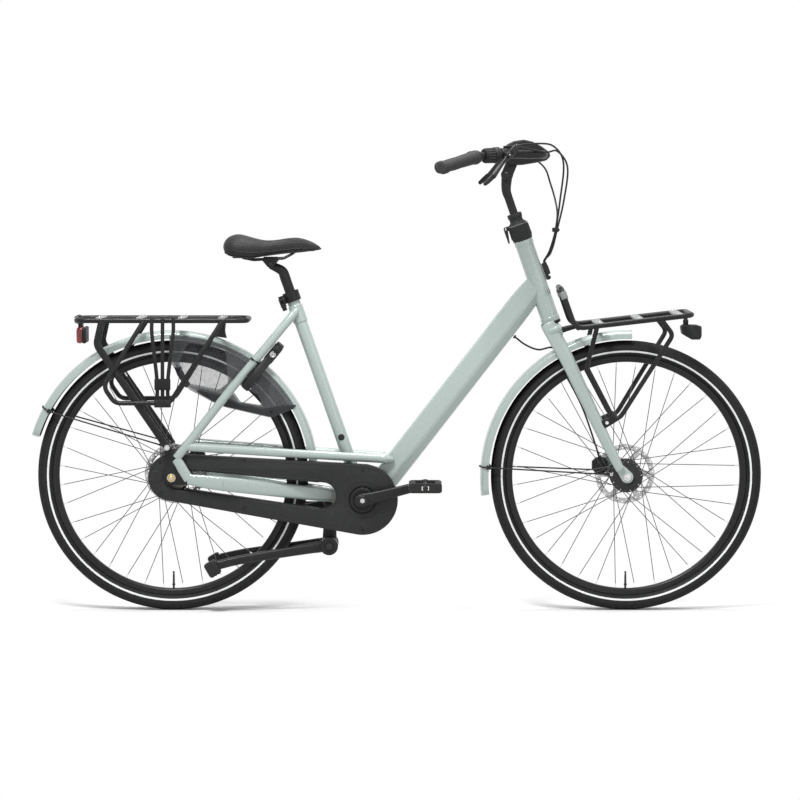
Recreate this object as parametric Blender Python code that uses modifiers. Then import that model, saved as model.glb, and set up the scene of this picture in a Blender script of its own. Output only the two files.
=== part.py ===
"""City bicycle with a front and a rear carrier, as an assembly of named pieces.

Lengths are in metres, +X is forward, -Y is the side of the chain and +Z is up.
The tyres stand on z = 0 and the middle plane of the bicycle is y = 0.
Places called "drawn" are read off the side view, in millimetres. Each moves with the
axle, the crank or the head tube that it belongs to, so a change of one size carries it.
"""

import math

import bmesh
import bpy
from mathutils import Matrix, Vector
from mathutils.geometry import convex_hull_2d

# Clearances
GAP = 0.0003  # between two pieces that are fixed together
RUN = 0.000095  # round a shaft that turns or slides in its bore
SWING = 0.0006  # beside a piece that turns

# Wheels
WHEELBASE = 1.200
TYRE_RADIUS = 0.358
TYRE_HALF_WIDTH = 0.0235
TYRE_HEIGHT = 0.040
TYRE_WALL = 0.0035
RIM_DEPTH = 0.017
RIM_HALF_WIDTH = 0.0125
SPOKES = 36
SPOKE_CROSSING = math.radians(60)
SPOKE_RADIUS = 0.001
SPOKE_OFFSET = 0.0019
AXLE_RADIUS = 0.005
FRONT_FLANGE_RADIUS = 0.043
REAR_FLANGE_RADIUS = 0.046
FLANGE_THICKNESS = 0.0064
FRONT_FLANGES = (-0.031, 0.021)  # middles of the flanges, from side to side
REAR_FLANGES = (-0.028, 0.030)
NECK_RADIUS = 0.0150  # seat of the brake rotor
SPROCKET_NECK_RADIUS = 0.0100
VALVE_RADIUS = 0.003
VALVE_LENGTH = 0.045
WHEEL_STEPS = 32  # a multiple of four, so that the tyre meets the ground
ROTOR_RADIUS = 0.080
ROTOR_THICKNESS = 0.0018
FRONT_ROTOR_Y = 0.0410
REAR_ROTOR_Y = 0.0520
FRONT_DROPOUT_Y = 0.050  # inner faces of the fork ends
REAR_DROPOUT_Y = 0.0675  # inner faces of the frame ends
DROPOUT_THICKNESS = 0.006
TAB_INSET = 0.0004  # caliper tabs lie this far inside the faces of the dropouts

# Mudguards
MUDGUARD_REACH = 0.374  # tip of the rear mudguard behind the rear axle
MUDGUARD_ROOM = 0.027  # between the tyre and the crown of its mudguard
MUDGUARD_RADIUS = TYRE_RADIUS + MUDGUARD_ROOM
GUARD_BOSS_LIFT = 0.0305  # middle of the fork's boss over the crown of the mudguard
GUARD_BOSS_HALF = 0.0075
MUDGUARD_HALF_WIDTH = 0.0295
MUDGUARD_DEPTH = 0.021
MUDGUARD_WALL = 0.0016
STAY_WIRE_RADIUS = 0.0020
FRONT_FLARE = 0.003  # how far the rear end of the front mudguard stands off its circle
FRONT_GUARD = (188.0, 88.0)  # first and last angle round the axle, in degrees
REAR_GUARD = (163.8, -2.3)

# Frame
CRANK_AHEAD = 0.5026  # crank axle ahead of the rear axle
CRANK_DROP = 0.059
SHELL_RADIUS = 0.0215
SHELL_HALF_WIDTH = 0.0365
SEAT_TUBE_RADIUS = 0.0170
SEAT_TUBE_LENGTH = 0.576
DOWN_TUBE_DEPTH = 0.069
DOWN_TUBE_WIDTH = 0.060
HEAD_TUBE_RADIUS = 0.0255
HEAD_TUBE_LENGTH = 0.2264
HEAD_ANGLE = math.radians(70.93)
HEAD_BACK = 0.200  # lower end of the head tube behind the front axle
HEAD_UP = 0.408
STAY_RADIUS = 0.0115
SIDE_TUBE_RADIUS = 0.0115
STEERER_RADIUS = 0.0143
POST_RADIUS = 0.0136
POST_INSERT = 0.246  # seat post inside the seat tube
POST_REACH = 0.054  # straight part of the seat post above it
RACE_HEIGHT = 0.0045  # of the headset ring under the head tube
QUILL_RADIUS = 0.0110
PIN_HEIGHT = SEAT_TUBE_LENGTH - 0.0110  # seat clamp pin along the seat tube
PIN_BACK = -0.0275
CAM_Y = -0.0225
PIVOT_RADIUS = 0.0110  # pin of the stand
RAIL_WIRE = 0.0035  # radius of the saddle rails

# Ring lock
LOCK_TURN = math.radians(50.5)
LOCK_CENTRE_R = 0.341
LOCK_RADIUS = 0.058
LOCK_HALF = 0.011
BOLT_RADIUS = 0.005
LUG_Y = 0.051
LUG_BACK = 0.0135

# Drive
CRANK_LENGTH = 0.170
CRANK_TILT = math.radians(14.5)
SPINDLE_RADIUS = 0.0085
ARM_Y = 0.080
PEDAL_Y = 0.140
PEDAL_HALF_WIDTH = 0.048
PEDAL_PIN_RADIUS = 0.005
CHAIN_Y = 0.047
CHAIN_PITCH = 0.0127
RING_TEETH = 38
SPROCKET_TEETH = 18
TOOTH_HALF = 0.0013
TOOTH_HEIGHT = 0.0030
BOSS_RADIUS = 0.0335  # round boss of the right crank
CASE_OUTER_Y = 0.066
CASE_INNER_Y = 0.034
CASE_WALL = 0.002
CASE_REAR_RADIUS = 0.062
CASE_FRONT_RADIUS = 0.093
WINDOW_REAR_RADIUS = 0.027
WINDOW_FRONT_RADIUS = 0.035

# Carriers and handlebar
RAIL_RADIUS = 0.0070
REAR_RAIL_Y = 0.076
LOOP_RADIUS = 0.0062
LOOP_Y = 0.090
STRAP_HALF = 0.0010
FRONT_RAIL_Y = 0.110
BAR_RADIUS = 0.0110
GRIP_RADIUS = 0.0170
HOSE_RADIUS = 0.0025

MM = 0.001
RIGHT = -1.0
LEFT = 1.0
UP = Vector((0.0, 0.0, 1.0))
SIDE = Vector((0.0, 1.0, 0.0))
AHEAD = Vector((1.0, 0.0, 0.0))

REAR_AXLE_X = (MUDGUARD_REACH - WHEELBASE - TYRE_RADIUS) / 2.0
REAR_AXLE = Vector((REAR_AXLE_X, 0.0, TYRE_RADIUS))
FRONT_AXLE = REAR_AXLE + AHEAD * WHEELBASE
CRANK_AXLE = REAR_AXLE + Vector((CRANK_AHEAD, 0.0, -CRANK_DROP))
HEAD_AXIS = Vector((-math.cos(HEAD_ANGLE), 0.0, math.sin(HEAD_ANGLE)))
HEAD_FOOT = FRONT_AXLE + Vector((-HEAD_BACK, 0.0, HEAD_UP))
HEAD_TOP = HEAD_FOOT + HEAD_AXIS * HEAD_TUBE_LENGTH
RING_RADIUS = CHAIN_PITCH / (2.0 * math.sin(math.pi / RING_TEETH))
SPROCKET_RADIUS = CHAIN_PITCH / (2.0 * math.sin(math.pi / SPROCKET_TEETH))
# The rear mudguard flares so that its tip lies at MUDGUARD_REACH.
REAR_FLARE = -MUDGUARD_REACH / math.cos(math.radians(REAR_GUARD[0])) - MUDGUARD_RADIUS
RIM_RADIUS = TYRE_RADIUS - TYRE_HEIGHT
RIM_INNER = RIM_RADIUS - RIM_DEPTH


def by_rear(x, z, y=0.0):
    """Place drawn at (x, z) mm, y mm aside, that moves with the rear axle."""
    return REAR_AXLE + Vector((x + 592.0, y, z - 358.0)) * MM


def by_crank(x, z, y=0.0):
    """Place drawn at (x, z) mm, y mm aside, that moves with the crank axle."""
    return CRANK_AXLE + Vector((x + 89.4, y, z - 299.0)) * MM


def by_front(x, z, y=0.0):
    """Place drawn at (x, z) mm, y mm aside, that moves with the front axle."""
    return FRONT_AXLE + Vector((x - 608.0, y, z - 358.0)) * MM


def by_head(x, z, y=0.0):
    """Place drawn at (x, z) mm, y mm aside, that moves with the top of the head tube."""
    return HEAD_TOP + Vector((x - 334.0, y, z - 980.0)) * MM


# The seat tube runs from the crank axle through the seat lug.
SEAT_LUG = by_crank(-273.0, 822.0)
SEAT_AXIS = (SEAT_LUG - CRANK_AXLE).normalized()
SEAT_MOUTH = CRANK_AXLE + SEAT_AXIS * SEAT_TUBE_LENGTH


def by_mouth(x, z, y=0.0):
    """Place drawn at (x, z) mm, y mm aside, that moves with the mouth of the seat tube."""
    return SEAT_MOUTH + Vector((x + 280.2, y, z - 842.5)) * MM


for old in list(bpy.data.objects):
    bpy.data.objects.remove(old, do_unlink=True)

PARTS = bpy.data.collections.new("city_bicycle")
HELPERS = bpy.data.collections.new("cutters")
bpy.context.scene.collection.children.link(PARTS)
bpy.context.scene.collection.children.link(HELPERS)


def material(name, colour, metallic, roughness):
    """A Principled material of one colour."""
    made = bpy.data.materials.new(name)
    made.use_nodes = True
    shader = made.node_tree.nodes["Principled BSDF"]
    shader.inputs["Base Color"].default_value = (*colour, 1.0)
    shader.inputs["Metallic"].default_value = metallic
    shader.inputs["Roughness"].default_value = roughness
    made.diffuse_color = (*colour, 1.0)
    return made


FRAME_PAINT = material("frame_paint", (0.47, 0.55, 0.51), 0.0, 0.3)
BLACK_PAINT = material("black_paint", (0.02, 0.02, 0.022), 0.0, 0.45)
BLACK_PLASTIC = material("black_plastic", (0.03, 0.03, 0.032), 0.0, 0.55)
GREY_PLASTIC = material("grey_plastic", (0.55, 0.56, 0.56), 0.0, 0.5)
SMOKE_PLASTIC = material("smoke_plastic", (0.10, 0.11, 0.12), 0.0, 0.35)
TYRE_RUBBER = material("tyre_rubber", (0.015, 0.015, 0.015), 0.0, 0.8)
GRIP_RUBBER = material("grip_rubber", (0.02, 0.02, 0.02), 0.0, 0.7)
SADDLE_COVER = material("saddle_cover", (0.025, 0.025, 0.026), 0.0, 0.6)
STEEL = material("steel", (0.60, 0.60, 0.60), 1.0, 0.3)
DARK_STEEL = material("dark_steel", (0.10, 0.10, 0.105), 1.0, 0.4)
ALUMINIUM = material("aluminium", (0.72, 0.72, 0.72), 1.0, 0.35)
STRAP_RUBBER = material("strap_rubber", (0.02, 0.02, 0.02), 0.0, 0.75)
RED_LENS = material("red_lens", (0.45, 0.01, 0.01), 0.0, 0.15)


def placed(name, data, paint):
    """An object of this data in the collection of pieces, or of helpers if it has no paint."""
    obj = bpy.data.objects.new(name, data)
    if paint is None:
        HELPERS.objects.link(obj)
        obj.hide_render = True
        obj.display_type = "WIRE"
    else:
        PARTS.objects.link(obj)
        obj.data.materials.append(paint)
    return obj


def axes_at(centre, axis):
    """A matrix whose Z runs along the axis from the centre."""
    z = axis.normalized()
    guide = AHEAD if abs(z.y) > 0.9 else SIDE
    x = (guide - z * guide.dot(z)).normalized()
    y = z.cross(x)
    turn = Matrix((x, y, z)).transposed().to_4x4()
    return Matrix.Translation(centre) @ turn


def turned(name, profile, centre, axis, paint=None, steps=32, ring=False):
    """A body turned about the axis. The profile is (radius, height), outside top to bottom."""
    mesh = bpy.data.meshes.new(name)
    count = len(profile)
    edges = [(i, i + 1) for i in range(count - 1)]
    if ring:
        edges.append((count - 1, 0))
    mesh.from_pydata([(r, 0.0, h) for r, h in profile], edges, [])
    obj = placed(name, mesh, paint)
    obj.matrix_world = axes_at(centre, axis)
    screw = obj.modifiers.new("turn", "SCREW")
    screw.angle = 2.0 * math.pi
    screw.steps = steps
    screw.render_steps = steps
    screw.use_merge_vertices = True
    screw.merge_threshold = 0.00001
    screw.use_smooth_shade = True
    return obj


def rod(name, start, end, radius, paint=None, steps=24, inner=0.0):
    """A round bar, or a pipe when it has an inner radius, from start to end."""
    length = (end - start).length
    if inner:
        profile = [(radius, length), (radius, 0.0), (inner, 0.0), (inner, length)]
        return turned(name, profile, start, end - start, paint, steps, ring=True)
    profile = [(0.0, length), (radius, length), (radius, 0.0), (0.0, 0.0)]
    return turned(name, profile, start, end - start, paint, steps)


def baked(obj, paint=None):
    """The same shape as a plain closed mesh, in place of the object."""
    graph = bpy.context.evaluated_depsgraph_get()
    mesh = bpy.data.meshes.new_from_object(obj.evaluated_get(graph))
    clean = bmesh.new()
    clean.from_mesh(mesh)
    bmesh.ops.remove_doubles(clean, verts=clean.verts, dist=0.000002)
    bmesh.ops.recalc_face_normals(clean, faces=clean.faces)
    clean.to_mesh(mesh)
    clean.free()
    name = obj.name
    matrix = obj.matrix_world.copy()
    bpy.data.objects.remove(obj, do_unlink=True)
    mesh.materials.clear()
    new = placed(name, mesh, paint)
    new.matrix_world = matrix
    return new


def rounded(points, radius, steps=4):
    """The points joined by straight runs with a bend of this radius at each corner."""
    found = [points[0]]
    for before, corner, after in zip(points, points[1:], points[2:]):
        back = (before - corner).normalized()
        on = (after - corner).normalized()
        half = back.angle(on) / 2.0
        if half > math.radians(88.0):
            found.append(corner)
            continue
        reach = radius / math.tan(half)
        reach = min(reach, 0.48 * (before - corner).length, 0.48 * (after - corner).length)
        first = corner + back * reach
        last = corner + on * reach
        for i in range(steps + 1):
            t = i / steps
            found.append(first * (1 - t) ** 2 + corner * 2 * t * (1 - t) + last * t**2)
    found.append(points[-1])
    return found


def smoothed(points, steps=4):
    """A smooth line through the points."""
    found = []
    line = [points[0] * 2 - points[1], *points, points[-1] * 2 - points[-2]]
    for a, b, c, d in zip(line, line[1:], line[2:], line[3:]):
        for i in range(steps):
            t = i / steps
            found.append(
                0.5
                * (
                    b * 2
                    + (c - a) * t
                    + (a * 2 - b * 5 + c * 4 - d) * t**2
                    + (b * 3 - a - c * 3 + d) * t**3
                )
            )
    found.append(points[-1])
    return found


def tube(name, lines, radius, paint=None, detail=3, radii=None, cyclic=False):
    """Round wire along each line of points, made of one curve."""
    curve = bpy.data.curves.new(name, "CURVE")
    curve.dimensions = "3D"
    curve.bevel_depth = radius
    curve.bevel_resolution = detail
    curve.use_fill_caps = True
    for line in lines:
        spline = curve.splines.new("POLY")
        spline.points.add(len(line) - 1)
        spline.use_cyclic_u = cyclic
        for i, point in enumerate(line):
            spline.points[i].co = (*point, 1.0)
            spline.points[i].radius = radii[i] if radii else 1.0
    return baked(placed(name, curve, None), paint)


def circle(centre, radius, count=32):
    """Points of a circle in the side view, as (x, z)."""
    turns = [2.0 * math.pi * i / count for i in range(count)]
    return [
        (centre[0] + radius * math.cos(t), centre[-1] + radius * math.sin(t)) for t in turns
    ]


def hull(*groups):
    """The outline round these points of the side view."""
    points = [Vector(p) for group in groups for p in group]
    return [tuple(points[i]) for i in convex_hull_2d(points)]


SIDE_VIEW = Matrix(((1, 0, 0, 0), (0, 0, -1, 0), (0, 1, 0, 0), (0, 0, 0, 1)))


def plate(name, outlines, low, high, paint=None, matrix=None):
    """A flat plate of the outline and its holes, from y = low to y = high.

    With a matrix the outline lies in its XY plane and low and high run along its Z.
    """
    curve = bpy.data.curves.new(name, "CURVE")
    curve.dimensions = "2D"
    curve.fill_mode = "BOTH"
    curve.extrude = abs(high - low) / 2.0
    for outline in outlines:
        spline = curve.splines.new("POLY")
        spline.points.add(len(outline) - 1)
        spline.use_cyclic_u = True
        for i, (x, z) in enumerate(outline):
            spline.points[i].co = (x, z, 0.0, 1.0)
    obj = placed(name, curve, None)
    middle = (low + high) / 2.0
    if matrix is None:
        obj.matrix_world = Matrix.Translation((0.0, middle, 0.0)) @ SIDE_VIEW
    else:
        obj.matrix_world = matrix @ Matrix.Translation((0.0, 0.0, middle))
    return baked(obj, paint)


def loft(name, rings, paint=None, closed=False):
    """A skin through rings of points, with its ends filled unless it closes on itself."""
    shape = bmesh.new()
    rows = [[shape.verts.new(point) for point in ring] for ring in rings]
    count = len(rows[0])
    pairs = list(zip(rows, rows[1:]))
    if closed:
        pairs.append((rows[-1], rows[0]))
    else:
        shape.faces.new(rows[0][::-1])
        shape.faces.new(rows[-1])
    for low, high in pairs:
        for i in range(count):
            k = (i + 1) % count
            shape.faces.new((low[i], low[k], high[k], high[i]))
    bmesh.ops.recalc_face_normals(shape, faces=shape.faces)
    mesh = bpy.data.meshes.new(name)
    shape.to_mesh(mesh)
    shape.free()
    for face in mesh.polygons:
        face.use_smooth = len(face.vertices) == 4
    return placed(name, mesh, paint)


def oval(centre, across, along, half_across, half_along, count=12, square=1.0):
    """A ring of points about the centre. A square under 1 fills out its corners."""
    ring = []
    for i in range(count):
        turn = 2.0 * math.pi * (i + 0.5) / count
        c, s = math.cos(turn), math.sin(turn)
        u = math.copysign(abs(c) ** square, c) * half_across
        v = math.copysign(abs(s) ** square, s) * half_along
        ring.append(centre + across * u + along * v)
    return ring


def sweep(name, line, sizes, paint=None, count=8, square=1.0, side=SIDE):
    """A skin along the line whose half sizes (aside, across) change from point to point."""
    rings = []
    last = len(line) - 1
    for i, (point, size) in enumerate(zip(line, sizes)):
        way = (line[min(i + 1, last)] - line[max(i - 1, 0)]).normalized()
        across = (side - way * side.dot(way)).normalized()
        rings.append(oval(point, across, way.cross(across), *size, count, square))
    return loft(name, rings, paint)


def block(name, centre, sizes, paint=None, matrix=None, bevel=0.0):
    """A box of these three sizes, turned by the matrix, with its edges rounded off."""
    mesh = bpy.data.meshes.new(name)
    shape = bmesh.new()
    bmesh.ops.create_cube(shape, size=1.0)
    bmesh.ops.scale(shape, vec=sizes, verts=shape.verts)
    shape.to_mesh(mesh)
    shape.free()
    obj = placed(name, mesh, paint)
    obj.matrix_world = Matrix.Translation(centre) @ (matrix or Matrix())
    if bevel:
        edge = obj.modifiers.new("edge", "BEVEL")
        edge.width = bevel
        edge.segments = 1
    return obj


def tilted(angle):
    """A turn in the side view, from +X towards +Z."""
    return Matrix.Rotation(-angle, 4, "Y")


def boolean(target, other, operation):
    """A live Boolean of the target with a helper."""
    step = target.modifiers.new(f"{operation.lower()} {other.name}", "BOOLEAN")
    step.object = other
    step.operation = operation
    step.solver = "EXACT"


def join(target, *others):
    """Welds helpers to the target."""
    for other in others:
        boolean(target, other, "UNION")


def carve(target, *others):
    """Takes helpers out of the target."""
    for other in others:
        boolean(target, other, "DIFFERENCE")


def mirrored(name, source, paint):
    """The piece of the other side, as a plain mesh of its own."""
    graph = bpy.context.evaluated_depsgraph_get()
    mesh = bpy.data.meshes.new_from_object(source.evaluated_get(graph))
    mesh.transform(Matrix.Diagonal((1.0, -1.0, 1.0, 1.0)) @ source.matrix_world)
    mesh.flip_normals()
    mesh.materials.clear()
    return placed(name, mesh, paint)


def origin_at(obj, point):
    """Puts the origin of a piece on the axis of its joint, with the shape left in place."""
    graph = bpy.context.evaluated_depsgraph_get()
    mesh = bpy.data.meshes.new_from_object(obj.evaluated_get(graph))
    mesh.transform(Matrix.Translation(-point) @ obj.matrix_world)
    obj.modifiers.clear()
    obj.data = mesh
    obj.matrix_world = Matrix.Translation(point)


# Wheels


def tyre_section():
    """Section of a tyre casing as (radius, distance aside), open towards the rim."""
    top, half, wall = TYRE_RADIUS, TYRE_HALF_WIDTH, TYRE_WALL
    seat = RIM_RADIUS + GAP
    bead = RIM_HALF_WIDTH - 0.0033
    outer = [
        (seat, bead + 0.0015),
        (seat + 0.0105, 0.96 * half),
        (seat + 0.0225, half),
        (top - 0.0060, 0.68 * half),
    ]
    inner = [
        (RIM_RADIUS - 0.0044, bead - 0.0030),
        (seat + 0.0150, 0.95 * half - wall),
        (top - 0.0060 - wall, 0.54 * half),
    ]
    loop = outer + [(top, 0.0)] + [(r, -y) for r, y in reversed(outer)]
    return loop + [(r, -y) for r, y in inner] + inner[::-1]


def rim_section():
    """Section of a rim as (radius, distance aside), with a well for the beads."""
    half = RIM_HALF_WIDTH
    outer = [
        (RIM_RADIUS, half - 0.0005),
        (RIM_RADIUS - 0.0050, half - 0.0030),
    ]
    inner = [(RIM_INNER + 0.0050, half - 0.0015), (RIM_INNER, half - 0.0075)]
    loop = outer + [(r, -y) for r, y in reversed(outer)]
    return loop + [(r, -y) for r, y in inner] + inner[::-1]


def spokes_of(name, axle, flange_low, flange_high, hole_radius):
    """The laced spokes, each from its flange to just short of the rim."""
    end_radius = RIM_INNER * math.cos(math.pi / WHEEL_STEPS) - GAP - 0.00025
    lines = []
    for m in range(SPOKES):
        rim_turn = 2.0 * math.pi * (m + 0.5) / SPOKES
        flange = (flange_low, flange_high)[m % 2]
        outward = math.copysign(1.0, flange)
        trailing = (m // 2) % 2 == 0
        hub_turn = rim_turn + (SPOKE_CROSSING if trailing else -SPOKE_CROSSING)
        aside = outward * (SPOKE_OFFSET if trailing else -SPOKE_OFFSET)
        hole = axle + Vector((math.cos(hub_turn), 0.0, math.sin(hub_turn))) * hole_radius
        end = axle + Vector((math.cos(rim_turn), 0.0, math.sin(rim_turn))) * end_radius
        end += SIDE * outward * 0.3 * RIM_HALF_WIDTH
        root = hole + SIDE * (flange + aside)
        lines.append([root, end])
    return tube(f"{name}_spokes", lines, SPOKE_RADIUS, detail=0)


def rotor_of(name, axle, y):
    """A brake rotor: a braking ring on six arms about a hub hole."""
    middle = (axle.x, axle.z)
    edge, inner = ROTOR_RADIUS, ROTOR_RADIUS - 0.014
    outlines = [circle(middle, edge, 28), circle(middle, NECK_RADIUS + GAP, 18)]
    for i in range(6):
        low = math.radians(60.0 * i + 6.0)
        high = math.radians(60.0 * i + 52.0)
        window = []
        for k in range(4):
            t = low + (high - low) * k / 3.0
            window.append((middle[0] + inner * math.cos(t), middle[1] + inner * math.sin(t)))
        for k in range(2):
            t = high - 0.25 + (low - high + 0.55) * k
            near = NECK_RADIUS + 0.010
            window.append((middle[0] + near * math.cos(t), middle[1] + near * math.sin(t)))
        outlines.append(window)
    half = ROTOR_THICKNESS / 2.0
    return plate(f"{name}_rotor", outlines, y - half, y + half, STEEL)


def wheel(name, axle, flange_low, flange_high, flange_radius, hub_section, rotor_y):
    """Hub with its laced spokes, rim with its valve, tyre and brake rotor."""
    turned(f"{name}_tyre", tyre_section(), axle, SIDE, TYRE_RUBBER, WHEEL_STEPS, ring=True)
    rim = turned(f"{name}_rim", rim_section(), axle, SIDE, BLACK_PAINT, WHEEL_STEPS, ring=True)
    foot = axle - UP * (RIM_INNER - VALVE_LENGTH)
    valve = rod(f"{name}_valve", foot, foot - UP * (VALVE_LENGTH + 0.004), VALVE_RADIUS, steps=10)
    join(rim, valve)
    hub = turned(f"{name}_hub", hub_section, axle, SIDE, BLACK_PAINT, 18, ring=True)
    spokes = spokes_of(name, axle, flange_low, flange_high, flange_radius - 0.005)
    join(hub, spokes)
    rotor_of(name, axle, rotor_y)


def hub_section(low, high, radius, barrel, rotor_y, low_end, high_end):
    """Section of a hub shell with its bore: the rotor sits on the neck of the high side."""
    half = FLANGE_THICKNESS / 2.0
    nut = 2.0 * AXLE_RADIUS
    bore = AXLE_RADIUS + RUN
    return [
        (nut, high_end),
        (nut, rotor_y + 0.0040),
        (NECK_RADIUS, rotor_y + 0.0040),
        (NECK_RADIUS, high + 0.0060),
        (0.75 * barrel, high + half),
        (radius, high + half),
        (radius, high - half),
        (barrel, high - half),
        (barrel, low + half),
        (radius, low + half),
        (radius, low - half),
        (0.75 * barrel, low - half),
        *low_end,
        (bore, low_end[-1][1]),
        (bore, high_end),
    ]


wheel(
    "front",
    FRONT_AXLE,
    *FRONT_FLANGES,
    FRONT_FLANGE_RADIUS,
    hub_section(
        *FRONT_FLANGES,
        FRONT_FLANGE_RADIUS,
        FRONT_FLANGE_RADIUS - 0.0085,
        FRONT_ROTOR_Y,
        [(0.020, -0.0400), (0.010, -0.0410), (0.010, -FRONT_DROPOUT_Y + SWING)],
        FRONT_DROPOUT_Y - SWING,
    ),
    FRONT_ROTOR_Y,
)
wheel(
    "rear",
    REAR_AXLE,
    *REAR_FLANGES,
    REAR_FLANGE_RADIUS,
    hub_section(
        *REAR_FLANGES,
        REAR_FLANGE_RADIUS,
        REAR_FLANGE_RADIUS - 0.0150,
        REAR_ROTOR_Y,
        [
            (0.0200, -0.0310),
            (0.0200, -0.0420),
            (SPROCKET_NECK_RADIUS, -0.0420),
            (SPROCKET_NECK_RADIUS, -REAR_DROPOUT_Y + SWING),
        ],
        REAR_DROPOUT_Y - SWING,
    ),
    REAR_ROTOR_Y,
)

# Frame

DOWN_SECTION = [
    (0.50, 1.0),
    (0.88, 0.66),
    (1.0, 0.12),
    (0.94, -0.22),
    (0.62, -0.88),
    (0.30, -1.0),
]


def on_seat(height, aside=0.0, ahead=0.0):
    """Place at this height along the seat tube, moved aside and square ahead of it."""
    return CRANK_AXLE + SEAT_AXIS * height + SIDE * aside + SIDE.cross(SEAT_AXIS) * ahead


def on_head(height, aside=0.0, ahead=0.0):
    """Place at this height along the head tube, moved aside and square ahead of it."""
    return HEAD_FOOT + HEAD_AXIS * height + SIDE * aside + SIDE.cross(HEAD_AXIS) * ahead


DOWN_TOP = on_head(0.108)
DOWN_FOOT = by_crank(-66.0, 301.0)
DOWN_WAY = (DOWN_FOOT - DOWN_TOP).normalized()
DOWN_RISE = SIDE.cross(DOWN_WAY) if DOWN_WAY.x < 0.0 else DOWN_WAY.cross(SIDE)


def on_down(distance, lift, aside):
    """Place along the down tube from its top, lifted square to it and moved aside."""
    return DOWN_TOP + DOWN_WAY * distance + DOWN_RISE * lift + SIDE * aside


def down_tube():
    """The deep down tube, narrow where it meets the head tube."""
    top, foot, way, rise = DOWN_TOP, DOWN_FOOT, DOWN_WAY, DOWN_RISE
    line = [top, top + way * 0.050, top + way * 0.110, foot, foot + way * 0.022]
    widths = [0.74, 0.84, 1.0, 1.0, 0.80]
    depths = [0.82, 0.96, 1.0, 1.0, 0.74]
    rings = []
    for point, width, depth in zip(line, widths, depths):
        a = width * DOWN_TUBE_WIDTH / 2.0
        b = depth * DOWN_TUBE_DEPTH / 2.0
        right = [point - SIDE * (u * a) + rise * (v * b) for u, v in DOWN_SECTION]
        left = [point + SIDE * (u * a) + rise * (v * b) for u, v in DOWN_SECTION]
        rings.append(right + left[::-1])
    return loft("main_frame", rings, FRAME_PAINT)


def seat_stay(name, side, grow=0.0):
    """A stay from the seat lug down to the end plate."""
    line = [
        by_crank(-264.0, 796.0, side * 10.0),
        by_crank(-281.0, 775.0, side * 26.0),
        by_rear(-343.0, 700.0, side * 44.0),
        by_rear(-437.0, 588.0, side * 55.0),
        by_rear(-540.0, 458.0, side * 72.0),
        by_rear(-578.0, 410.0, side * 76.0),
    ]
    radius = STAY_RADIUS + grow
    return sweep(name, line, [(radius, radius)] * 5 + [(0.0073 + grow, radius)])


def frame_side(side):
    """Stays, side tube and end plate of one side of the frame."""
    label = "right" if side < 0 else "left"
    chain_line = [
        by_rear(-548.0, 355.0, side * 77.0),
        by_rear(-456.0, 343.0, side * 78.0),
        by_rear(-430.0, 339.5, side * 74.5),
        by_crank(-270.0, 319.0, side * 41.0),
        by_crank(-189.0, 309.0, side * 24.0),
        by_crank(-150.0, 304.0, side * 21.0),
        by_crank(-95.0, 299.0, side * 20.0),
    ]
    chain_sizes = [(0.008, 0.015)] + [(0.009, 0.019)] * 5 + [(0.009, 0.016)]
    side_line = [
        by_rear(-552.0, 440.0, side * 73.0),
        by_rear(-520.0, 438.0, side * 71.0),
        by_crank(-60.0, 406.5, side * 39.0),
        by_crank(-28.0, 404.5, side * 35.0),
        by_crank(-10.0, 403.0, side * 32.0),
    ]
    radius = SIDE_TUBE_RADIUS
    side_sizes = [(radius, radius)] * 4 + [(0.45 * radius, 0.45 * radius)]
    outline = hull(
        circle(by_rear(-592.0, 358.0), 0.020, 10),
        circle(by_rear(-577.0, 411.0), 0.012, 6),
        circle(by_rear(-545.0, 355.0), 0.015, 6),
        circle(by_rear(-600.0, 432.0), 0.009, 6),
    )
    inner = side * REAR_DROPOUT_Y
    outer = side * (REAR_DROPOUT_Y + DROPOUT_THICKNESS)
    return [
        sweep(f"chain_stay_{label}", chain_line, chain_sizes, square=0.7),
        seat_stay(f"seat_stay_{label}", side),
        sweep(f"side_tube_{label}", side_line, side_sizes),
        plate(f"end_plate_{label}", [outline], inner, outer),
    ]


def across(name, place, radius, reach, paint=None, steps=24):
    """A round bar across the bicycle, centred on its middle plane."""
    return rod(name, place - SIDE * reach, place + SIDE * reach, radius, paint, steps)


main_frame = down_tube()
join(
    main_frame,
    rod("head_tube", HEAD_FOOT, HEAD_TOP, HEAD_TUBE_RADIUS, steps=18),
    rod("seat_tube", CRANK_AXLE, on_seat(SEAT_TUBE_LENGTH), SEAT_TUBE_RADIUS, steps=16),
    across("crank_shell", CRANK_AXLE, SHELL_RADIUS, SHELL_HALF_WIDTH, steps=18),
    *frame_side(RIGHT),
    *frame_side(LEFT),
    across("stay_bridge", by_rear(-350.0, 691.5), 0.008, 0.043, steps=8),
    across("side_bridge", by_crank(-128.5, 411.0), 0.007, 0.044, steps=8),
    block("stand_bridge", by_crank(-176.0, 302.0), (0.034, 0.044, 0.026)),
)
carve(
    main_frame,
    rod("steerer_bore", on_head(-0.01), on_head(0.25), STEERER_RADIUS + RUN, steps=30),
    rod(
        "post_bore",
        on_seat(SEAT_TUBE_LENGTH - POST_INSERT - 0.05),
        on_seat(SEAT_TUBE_LENGTH + 0.024),
        POST_RADIUS + RUN,
        steps=16,
    ),
    across("spindle_bore", CRANK_AXLE, SPINDLE_RADIUS + RUN, 0.060, steps=22),
    across("rear_axle_bore", REAR_AXLE, AXLE_RADIUS + GAP, 0.100, steps=14),
)

turned(
    "headset_ring",
    [
        (HEAD_TUBE_RADIUS, -GAP),
        (HEAD_TUBE_RADIUS, -RACE_HEIGHT),
        (STEERER_RADIUS + RUN, -RACE_HEIGHT),
        (STEERER_RADIUS + RUN, -GAP),
    ],
    HEAD_FOOT,
    HEAD_AXIS,
    DARK_STEEL,
    30,
    ring=True,
)


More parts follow.
